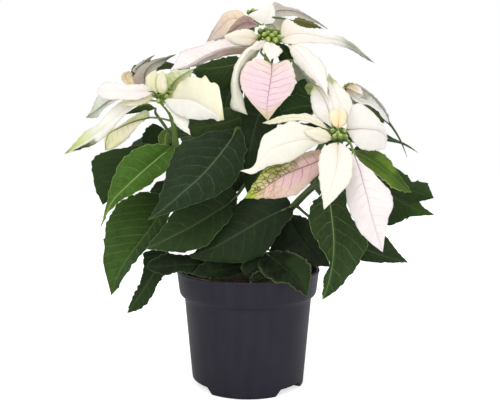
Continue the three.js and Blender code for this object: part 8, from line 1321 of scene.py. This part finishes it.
    # painted light: these two back leaves are painted lighter to offset the shade they sit in
    "leaf_top_left_dark": dict(mid=[(0.0, (56, 71, 37)), (1.0, (58, 75, 37))], edge=[(0.0, (46, 62, 28)), (1.0, (56, 76, 34))], vein=[(0.0, (112, 136, 84)), (1.0, (104, 130, 76))], vs=0.3, ms=0.7),
    "leaf_upper_left": dict(mid=[(0.0, (66, 82, 45)), (0.5, (68, 84, 47)), (1.0, (64, 84, 43))], edge=[(0.0, (54, 70, 38)), (1.0, (60, 80, 40))], vein=[(0.0, (104, 126, 84)), (1.0, (96, 120, 74))], vs=0.28, ms=0.65),
    "leaf_upper_inner": dict(mid=[(0.0, (40, 52, 28)), (1.0, (42, 56, 30))], vs=0.22, ms=0.5),
    "leaf_inner_dark": dict(mid=[(0.0, (34, 44, 26)), (0.5, (36, 44, 28)), (1.0, (34, 46, 26))], vs=0.26, ms=0.55, teeth=[(1, 0.24, 4.5, 0.12), (1, 0.12, 3.0, 0.08)]),
    "leaf_inner_right_a": dict(mid=[(0.0, (40, 58, 28)), (1.0, (46, 66, 31))], vs=0.24, ms=0.5, teeth=[(-1, 0.9, 3.0, 0.1), (1, 0.6, 3.0, 0.12)]),
    "leaf_inner_right_b": dict(mid=[(0.0, (43, 64, 31)), (1.0, (48, 72, 34))], vs=0.3, ms=0.6, teeth=[(1, 0.42, 4.0, 0.14), (1, 0.6, 2.5, 0.08)]),
    "leaf_inner_low": dict(mid=[(0.0, (32, 42, 26)), (1.0, (36, 46, 28))], vs=0.24, ms=0.5),
    "leaf_right_front": dict(mid=[(0.0, (44, 56, 30)), (0.5, (40, 56, 28)), (1.0, (42, 62, 29))], edge=[(0.0, (46, 62, 30)), (1.0, (46, 68, 30))], vein=[(0.0, (140, 160, 104)), (1.0, (120, 146, 80))], ms=0.95, vs=0.5, cot=0.8, arch=0.1, nv=9),
    # painted shade: this leaf is painted near black with dim veins where it sits deep in shade inside the plant
    "leaf_right_inner": dict(mid=[(0.0, (24, 30, 21)), (0.5, (24, 31, 21)), (1.0, (28, 36, 22))], edge=[(0.0, (24, 30, 20)), (1.0, (30, 38, 22))], vein=[(0.0, (56, 68, 46)), (1.0, (52, 64, 40))], ms=0.45, vs=0.2, teeth=[(-1, 0.49, 3.0, 0.1)]),
    "leaf_right_low": dict(mid=[(0.0, (36, 48, 26)), (1.0, (40, 54, 28))], edge=[(0.0, (36, 50, 26)), (1.0, (44, 60, 30))], vein=[(0.0, (96, 118, 72)), (1.0, (90, 112, 64))], ms=0.6, vs=0.3, jag=0.3, saw=0.3),
    "leaf_inner_mid": dict(mid=[(0.0, (30, 38, 25)), (1.0, (34, 44, 26))], vs=0.2, ms=0.4, teeth=[(1, 0.42, 3.0, 0.12)]),
    "leaf_left_inner": dict(mid=[(0.0, (34, 44, 27)), (1.0, (38, 50, 29))], vs=0.2, ms=0.4),
    "leaf_left_upper_dark": dict(mid=[(0.0, (38, 52, 26)), (1.0, (40, 56, 28))], vs=0.25, ms=0.45),
    "bract_left_peach_tip": dict(mid=[(0, (246, 222, 170)), (0.4, (253, 240, 204)), (1, (253, 244, 222))], edge=[(0, (242, 210, 154)), (0.5, (250, 230, 188)), (1, (252, 236, 200))], spot=[(0, (248, 222, 178)), (1, (250, 232, 198))], vs=0.25, patch=0.4, under_mid=[(0, (246, 222, 170)), (0.4, (253, 240, 204)), (1, (253, 244, 222))], under_edge=[(0, (242, 210, 154)), (0.5, (250, 230, 188)), (1, (252, 236, 200))], under_spot=[(0, (248, 222, 178)), (1, (250, 232, 198))]),
}
STALK_COLOURS = [(0, (66, 86, 36)), (0.5, (76, 98, 40)), (1, (90, 112, 54))]
BRACT_STALK_COLOURS = [(0, (88, 112, 44)), (0.5, (104, 128, 52)), (1, (128, 150, 74))]


# ---- blades, each with its leaf stalk -------------------------------------------------------------
for name, node, look_name, side, mid, left, right, stalk, stalk_r in BLADES:
    look = {**LOOKS[look_name], **OVER.get(name, {})}
    bract = look["kind"] == "bract"
    b = Build()
    m = np.asarray(mid, float)
    length = np.linalg.norm(np.diff(m, axis=0), axis=1).sum()
    width = max(np.linalg.norm(np.subtract(p, q)) for p, q in zip(left, right))
    rows = int(np.clip(length / 1.15, 16, 96))
    cols = int(np.clip(width / 2.6, 4, 16))
    blade(b, name, side, mid, left, right, look, stalk_r, rows, cols)
    if stalk:
        inside = curve(m, [0.10])[0]
        pts = [*stalk, inside]
        r = stalk_r * 0.92
        tube(b, pts, [(0, r * 1.35), (0.10, r * 1.02), (0.75, r * 0.95), (1, r * 0.45)], 9, 2.4, 2, BRACT_STALK_COLOURS if bract else STALK_COLOURS, box=(0, 0, 1, 0.045), rough=0.03, seed=name + "_stalk", flat=0.88)
    kind = ["bract_upper", "bract_lower"] if bract else ["leaf_upper", "leaf_lower"]
    b.piece(name + "_blade", [node], kind + ["stalk_skin"])

# ---- stems and shoots -----------------------------------------------------------------------------
STEM_COLOURS = {
    "stem_main": [(0, (96, 90, 58)), (0.12, (84, 88, 46)), (0.35, (66, 84, 36)), (1, (84, 110, 40))],
    "stem_left": [(0, (58, 74, 32)), (0.5, (66, 86, 34)), (0.72, (80, 104, 38)), (1, (98, 122, 44))],
    # painted shade: stem_right is painted darker where it runs through shade under the right flower head
    "stem_right": [(0, (44, 56, 28)), (0.4, (46, 60, 29)), (0.7, (56, 74, 32)), (1, (84, 108, 42))],
}
for name, points, radii in STEMS:
    b = Build()
    k = np.linspace(0, 1, len(radii))
    cols_ = STEM_COLOURS.get(name, [(0, (56, 72, 32)), (0.5, (66, 88, 34)), (1, (92, 120, 44))])
    tube(b, points, list(zip(k, radii)), 18, 2.0, 0, cols_, rough=0.035, seed=name)
    b.piece(name + "_skin", [name], ["stalk_skin"])
for i, (node, points, radii) in enumerate(SHOOTS):
    b = Build()
    k = np.linspace(0, 1, len(radii))
    tube(b, points, list(zip(k, radii)), 12, 2.2, 0, [(0, (60, 76, 34)), (1, (70, 92, 38))], rough=0.035, seed=node)
    b.piece(node + "_stem", [node], ["stalk_skin"])

# ---- flower centres -------------------------------------------------------------------------------
for node, centre, radius, small, cyathia in HEADS:
    b = Build()
    rng = rng_of(node)
    c = np.asarray(centre, float)
    ball(b, c, (0, 0, 1), radius, 0.9, 20, 10, 0, (58, 76, 24), (84, 104, 36))
    for q in cyathia:
        q = np.asarray(q, float)
        axis = unit(q - c) * 0.65 + np.array([0, -0.05, 0.55])
        axis = unit(axis)
        r = small * rng.uniform(0.92, 1.05)
        tube(b, [c, 0.5 * (c + q) + rng.uniform(-0.2, 0.2, 3), q - axis * r * 0.7], [(0, 0.9), (1, 0.8)], 8, 1.0, 1, [(0, (92, 112, 44)), (1, (112, 140, 50))], seed=node)
        dull = node == "flower_right"
        ball(b, q, axis, r, 1.14, 24, 14, 0, (52, 76, 16) if dull else (72, 98, 22), (116, 142, 46) if dull else (156, 180, 70), ribs=5, rib=0.035, flat_top=0.16)
        side = unit(np.cross(axis, rng.uniform(-1, 1, 3)))
        other = np.cross(axis, side)
        top = q + axis * r * 0.92
        for kk in range(5):
            a = 2 * math.pi * kk / 5 + rng.uniform(-0.2, 0.2)
            ball(b, top + (side * math.cos(a) + other * math.sin(a)) * r * 0.33, axis, r * 0.17, 1.25, 8, 5, 0, (168, 180, 84), (228, 226, 150))
        gland = q + axis * r * 0.55 + side * r * 0.72
        ball(b, gland, unit(axis + side * 0.8), r * 0.30, 0.75, 10, 6, 0, (186, 192, 70), (232, 222, 96), flat_top=0.4)
    b.piece(node + "_cyathia", [node], ["cyathium_skin", "stalk_skin"])

# ---- pot ------------------------------------------------------------------------------------------
FEET = [(-41, 31), (64, 100), (124, 166), (192, 262)]


def pot_piece():
    body_inner = BODY_TOP_RADIUS - WALL
    band_inner = RIM_RADIUS - 2.4
    outer = [(BASE_RADIUS, 0.0)]
    for z in np.linspace(0, BAND_BOTTOM - 1.6, 26)[1:]:
        outer.append((BASE_RADIUS + (BODY_TOP_RADIUS - BASE_RADIUS) * z / (BAND_BOTTOM - 1.2), z))
    outer += [(58.3, 79.5), (59.1, 80.3), (60.4, 81.2), (61.5, 82.3), (62.2, 83.8), (62.6, 85.6), (62.85, 87.6)]
    for z in np.linspace(87.6, POT_HEIGHT - 3.0, 8)[1:]:
        outer.append((62.85 + (RIM_RADIUS - 0.6 - 62.85) * (z - 87.6) / (POT_HEIGHT - 2.2 - 87.6), z))
    outer += [(RIM_RADIUS - 0.55, POT_HEIGHT - 2.4), (RIM_RADIUS - 0.15, POT_HEIGHT - 1.8), (RIM_RADIUS, POT_HEIGHT - 1.2), (RIM_RADIUS, POT_HEIGHT - 0.7), (RIM_RADIUS - 0.2, POT_HEIGHT - 0.2), (RIM_RADIUS - 0.6, POT_HEIGHT)]
    inner = [(band_inner + 0.5, POT_HEIGHT), (band_inner + 0.1, POT_HEIGHT - 0.3), (band_inner, POT_HEIGHT - 0.9)]
    for z in np.linspace(POT_HEIGHT - 3, BAND_BOTTOM + 3.4, 8):
        inner.append((BAND_LOW_RADIUS - WALL + (band_inner - BAND_LOW_RADIUS + WALL) * (z - BAND_BOTTOM - 3.4) / (POT_HEIGHT - BAND_BOTTOM - 3.4), z))
    inner += [(body_inner, BAND_BOTTOM - 1.5), (0.5 * (body_inner + BASE_RADIUS - WALL + 0.5), 0.5 * (BAND_BOTTOM - 1.5 + FOOT_HEIGHT + WALL)), (BASE_RADIUS - WALL + 0.5, FOOT_HEIGHT + WALL + 0.4), (BASE_RADIUS - WALL, FOOT_HEIGHT + WALL), (20, FOOT_HEIGHT + WALL)]
    under = [(20, FOOT_HEIGHT), (44.5, FOOT_HEIGHT), (45.3, 0.0)]
    loop = under + outer + inner
    angles, in_foot = [], []
    edge = sorted(a % 360 for f in FEET for a in f)
    for a in np.arange(0, 360, 2.0):
        angles.append(a)
    angles = sorted(set(angles) - set(edge))
    cols_ = []
    for a in angles:
        cols_.append((a, any((f[0] % 360 <= a <= f[1] % 360) if f[0] % 360 < f[1] % 360 else (a >= f[0] % 360 or a <= f[1] % 360) for f in FEET)))
    for f in FEET:
        cols_ = [c for c in cols_ if min(abs((c[0] - e + 180) % 360 - 180) for e in f) > 2.9]
        cols_ += [((f[0] - 2.9) % 360, False), ((f[0] + 2.9) % 360, True), ((f[1] - 2.9) % 360, True), ((f[1] + 2.9) % 360, False)]
    cols_.sort()
    verts, n = [], len(loop)
    for a, foot in cols_:
        t = math.radians(a - 90)
        for k, (r, z) in enumerate(loop):
            if not foot and z < FOOT_HEIGHT and k != 1:
                # the wall between the feet ends higher up, with its own lower edge
                if r >= BASE_RADIUS:
                    r, z = BASE_RADIUS + (BODY_TOP_RADIUS - BASE_RADIUS) * FOOT_HEIGHT / (BAND_BOTTOM - 1.2), FOOT_HEIGHT + 0.02 * z
                else:
                    z = FOOT_HEIGHT
            verts.append((r * math.cos(t), r * math.sin(t), z))
    faces, la, uv = [], [], []
    m = len(cols_)
    length = np.concatenate([[0], np.cumsum([math.dist(loop[k], loop[(k + 1) % n]) for k in range(n)])])
    length = length / length[-1]
    for i in range(m):
        j = (i + 1) % m
        a0, a1 = cols_[i][0] / 360, (cols_[j][0] / 360 if j else 1.0)
        for k in range(n):
            q = (k + 1) % n
            faces.append([i * n + k, j * n + k, j * n + q, i * n + q])
            uv += [(a0, length[k]), (a1, length[k]), (a1, length[k + 1]), (a0, length[k + 1])]
    # the floor's middle is closed by two discs
    lo, hi = len(verts), len(verts) + 1
    verts += [(0, 0, FOOT_HEIGHT), (0, 0, FOOT_HEIGHT + WALL)]
    k_in = n - 1
    faces = [f for f in faces if not (f[0] % n == k_in and f[3] % n == 0)]
    uv = [u for i in range(m) for k in range(n) if k != k_in for u in [
        (cols_[i][0] / 360, length[k]), ((cols_[(i + 1) % m][0] / 360 if (i + 1) % m else 1.0), length[k]), ((cols_[(i + 1) % m][0] / 360 if (i + 1) % m else 1.0), length[k + 1]), (cols_[i][0] / 360, length[k + 1])]]
    for i in range(m):
        j = (i + 1) % m
        faces.append([lo, j * n, i * n]); uv += [(0.5, 0.0), (0.4, 0.01), (0.41, 0.01)]
        faces.append([hi, i * n + k_in, j * n + k_in]); uv += [(0.5, 1.0), (0.4, 0.99), (0.41, 0.99)]
    b = Build()
    b.add(np.array(verts), faces, [0] * len(faces), (0.04, 0.04, 0.04), uv=np.array(uv))
    return b.piece("pot_moulding", ["pot"], ["pot_plastic"])


pot_piece()


# ---- soil -----------------------------------------------------------------------------------------
def soil_piece():
    rng = rng_of("soil")
    n_r, n_a = 46, 150
    verts, faces = [], []
    wall = BAND_LOW_RADIUS - WALL - 0.4 + 1.3 * (SOIL_TOP - BAND_BOTTOM - 3.4) / 20
    phase = rng.uniform(0, 6.28, (14, 3))
    freq = rng.uniform(0.12, 1.1, (14, 2)) * rng.choice([-1, 1], (14, 2))

    def height(px, py):
        h = 0.0
        for (fx, fy), (p0, p1, _) in zip(freq, phase):
            h += math.sin(fx * px + p0) * math.sin(fy * py + p1) / (0.6 + 2.2 * abs(fx))
        return 0.55 * h

    for i in range(n_r + 1):
        r = wall * i / n_r
        for j in range(n_a):
            a = 2 * math.pi * j / n_a
            px, py = r * math.cos(a), r * math.sin(a)
            z = SOIL_TOP + SOIL_MOUND * (1 - (r / wall) ** 1.4) + height(px, py) * min(1, (wall - r) / 5 + 0.25)
            verts.append((px, py, z))
    for j in range(n_a):
        a = 2 * math.pi * j / n_a
        verts.append((wall * math.cos(a), wall * math.sin(a), SOIL_TOP - 6))
    for i in range(n_r):
        for j in range(n_a):
            k = (j + 1) % n_a
            if i == 0:
                continue
            faces.append([i * n_a + j, (i + 1) * n_a + j, (i + 1) * n_a + k, i * n_a + k])
    centre = len(verts)
    verts.append((0, 0, SOIL_TOP + SOIL_MOUND))
    for j in range(n_a):
        faces.append([centre, n_a + j, n_a + (j + 1) % n_a])
    o, w = n_r * n_a, (n_r + 1) * n_a
    for j in range(n_a):
        k = (j + 1) % n_a
        faces.append([o + j, w + j, w + k, o + k])
    low = len(verts)
    verts.append((0, 0, SOIL_TOP - 6))
    for j in range(n_a):
        faces.append([low, w + (j + 1) % n_a, w + j])
    used = sorted({i for f in faces for i in f})
    at = {v: i for i, v in enumerate(used)}
    verts = np.array([verts[i] for i in used]); faces = [[at[i] for i in f] for f in faces]
    b = Build()
    uv = np.concatenate([[(0.5 + verts[i][0] / 140, 0.5 + verts[i][1] / 140) for i in f] for f in faces])
    b.add(verts, faces, [0] * len(faces), (0.05, 0.04, 0.03), uv=uv)
    # crumbs and a few grains of perlite
    for q in range(230):
        r = wall * math.sqrt(rng.uniform(0.0, 0.93)); a = rng.uniform(0, 2 * math.pi)
        px, py = r * math.cos(a), r * math.sin(a)
        if px * px + (py - 5) ** 2 < 110:
            continue
        size = rng.uniform(0.6, 1.7)
        white = rng.uniform() < 0.05
        z = SOIL_TOP + SOIL_MOUND * (1 - (r / wall) ** 1.4) + height(px, py) + size * 0.2
        colour = (120, 108, 86) if white else (62, 44, 32)
        ball(b, np.array([px, py, z]), rng.uniform(-1, 1, 3), size, rng.uniform(0.7, 1.2), 9, 6, 1 if white else 0, colour, colour, ribs=3, rib=0.15, box=(0.9, 0.9, 0.99, 0.99))
    return b.piece("soil_surface", ["soil"], ["peat_soil", "perlite"])


t = Tree("perlite")
at = t.coords()
g = t.noise(at, 1300.0, 3.0, 0.7)
t.finish(t.mix(t.map(g, 0.3, 0.7), (0.20, 0.185, 0.15), (0.34, 0.32, 0.27)), 0.85, t.bump(g, 0.5, 0.0004), Specular_IOR_Level=0.3)
soil_piece()

# ---------------------------------------------------------------------------------------------
# floor, light and camera
# ---------------------------------------------------------------------------------------------
t = Tree("studio_floor")
at = t.coords()
g = t.noise(at, 3.0, 3.0)
t.finish(t.mix(t.map(g, 0.3, 0.7), (0.90, 0.90, 0.895), (0.925, 0.925, 0.92)), 0.75, None, Specular_IOR_Level=0.0)
glow = t.nt.nodes.new("ShaderNodeEmission")
glow.inputs[0].default_value = (1, 1, 1, 1)
path = t.nt.nodes.new("ShaderNodeLightPath")
t.link(t.math("MULTIPLY", path.outputs["Is Camera Ray"], 0.62), glow.inputs[1])
both = t.nt.nodes.new("ShaderNodeAddShader")
t.link(t.bsdf.outputs[0], both.inputs[0])
t.link(glow.outputs[0], both.inputs[1])
t.link(both.outputs[0], t.out.inputs["Surface"])
me = bpy.data.meshes.new("studio_floor")
half = 6.0
me.from_pydata([(-half, -half, 0), (half, -half, 0), (half, half, 0), (-half, half, 0)], [], [(0, 1, 2, 3)])
me.materials.append(MATS["studio_floor"])
floor = bpy.data.objects.new("studio_floor", me)
floor.location.z = -0.0004
bpy.context.scene.collection.objects.link(floor)

world = bpy.data.worlds.new("studio")
world.use_nodes = True
nt = world.node_tree
back = nt.nodes["Background"]
back.inputs[0].default_value = (1.0, 1.0, 1.0, 1.0)
soft = nt.nodes.new("ShaderNodeBackground")
soft.inputs[0].default_value = (0.97, 0.985, 1.0, 1.0)
soft.inputs[1].default_value = 0.43
path = nt.nodes.new("ShaderNodeLightPath")
pick = nt.nodes.new("ShaderNodeMixShader")
nt.links.new(path.outputs["Is Camera Ray"], pick.inputs[0])
nt.links.new(soft.outputs[0], pick.inputs[1])
nt.links.new(back.outputs[0], pick.inputs[2])
nt.links.new(pick.outputs[0], nt.nodes["World Output"].inputs["Surface"])
bpy.context.scene.world = world


def area(name, at, aim, size, power, colour=(1, 1, 1)):
    data = bpy.data.lights.new(name, "AREA")
    data.shape = "RECTANGLE"
    data.size, data.size_y = size
    data.energy = power
    data.color = colour
    ob = bpy.data.objects.new(name, data)
    ob.location = at
    d = np.subtract(aim, at)
    from mathutils import Vector
    ob.rotation_euler = Vector(d).to_track_quat("-Z", "Y").to_euler()
    bpy.context.scene.collection.objects.link(ob)
    return ob


area("key", (-0.50, -1.20, 1.00), (0, 0, 0.22), (0.8, 0.8), 7.4, (1.0, 0.99, 0.97))
area("front", (0.20, -1.55, 0.42), (0, 0, 0.20), (1.1, 0.8), 5.0)
area("fill", (1.15, -0.85, 0.60), (0, 0, 0.2), (0.7, 1.1), 3.4)
area("top", (0.05, 0.1, 1.45), (0, 0, 0.2), (1.1, 1.1), 5.8)
area("back", (-0.35, 1.45, 0.75), (0, 0, 0.2), (1.2, 1.0), 4.0)
area("side", (1.5, 0.35, 0.45), (0, 0, 0.2), (0.9, 0.9), 1.6)

cam = bpy.data.cameras.new("camera")
cam.sensor_width = 36.0
cam.lens = 680.1 * 36.0 / 500.0
cam.shift_x = 0.004
cam.clip_start, cam.clip_end = 0.02, 50.0
camera = bpy.data.objects.new("camera", cam)
camera.location = (0.0, -0.6133, 0.2249)
camera.rotation_euler = (math.pi / 2 - 0.095, 0, 0)
bpy.context.scene.collection.objects.link(camera)
bpy.context.scene.camera = camera

scene = bpy.context.scene
scene.view_settings.view_transform = "Standard"
scene.view_settings.look = "None"
scene.view_settings.exposure = 0.0
scene.view_settings.gamma = 1.0
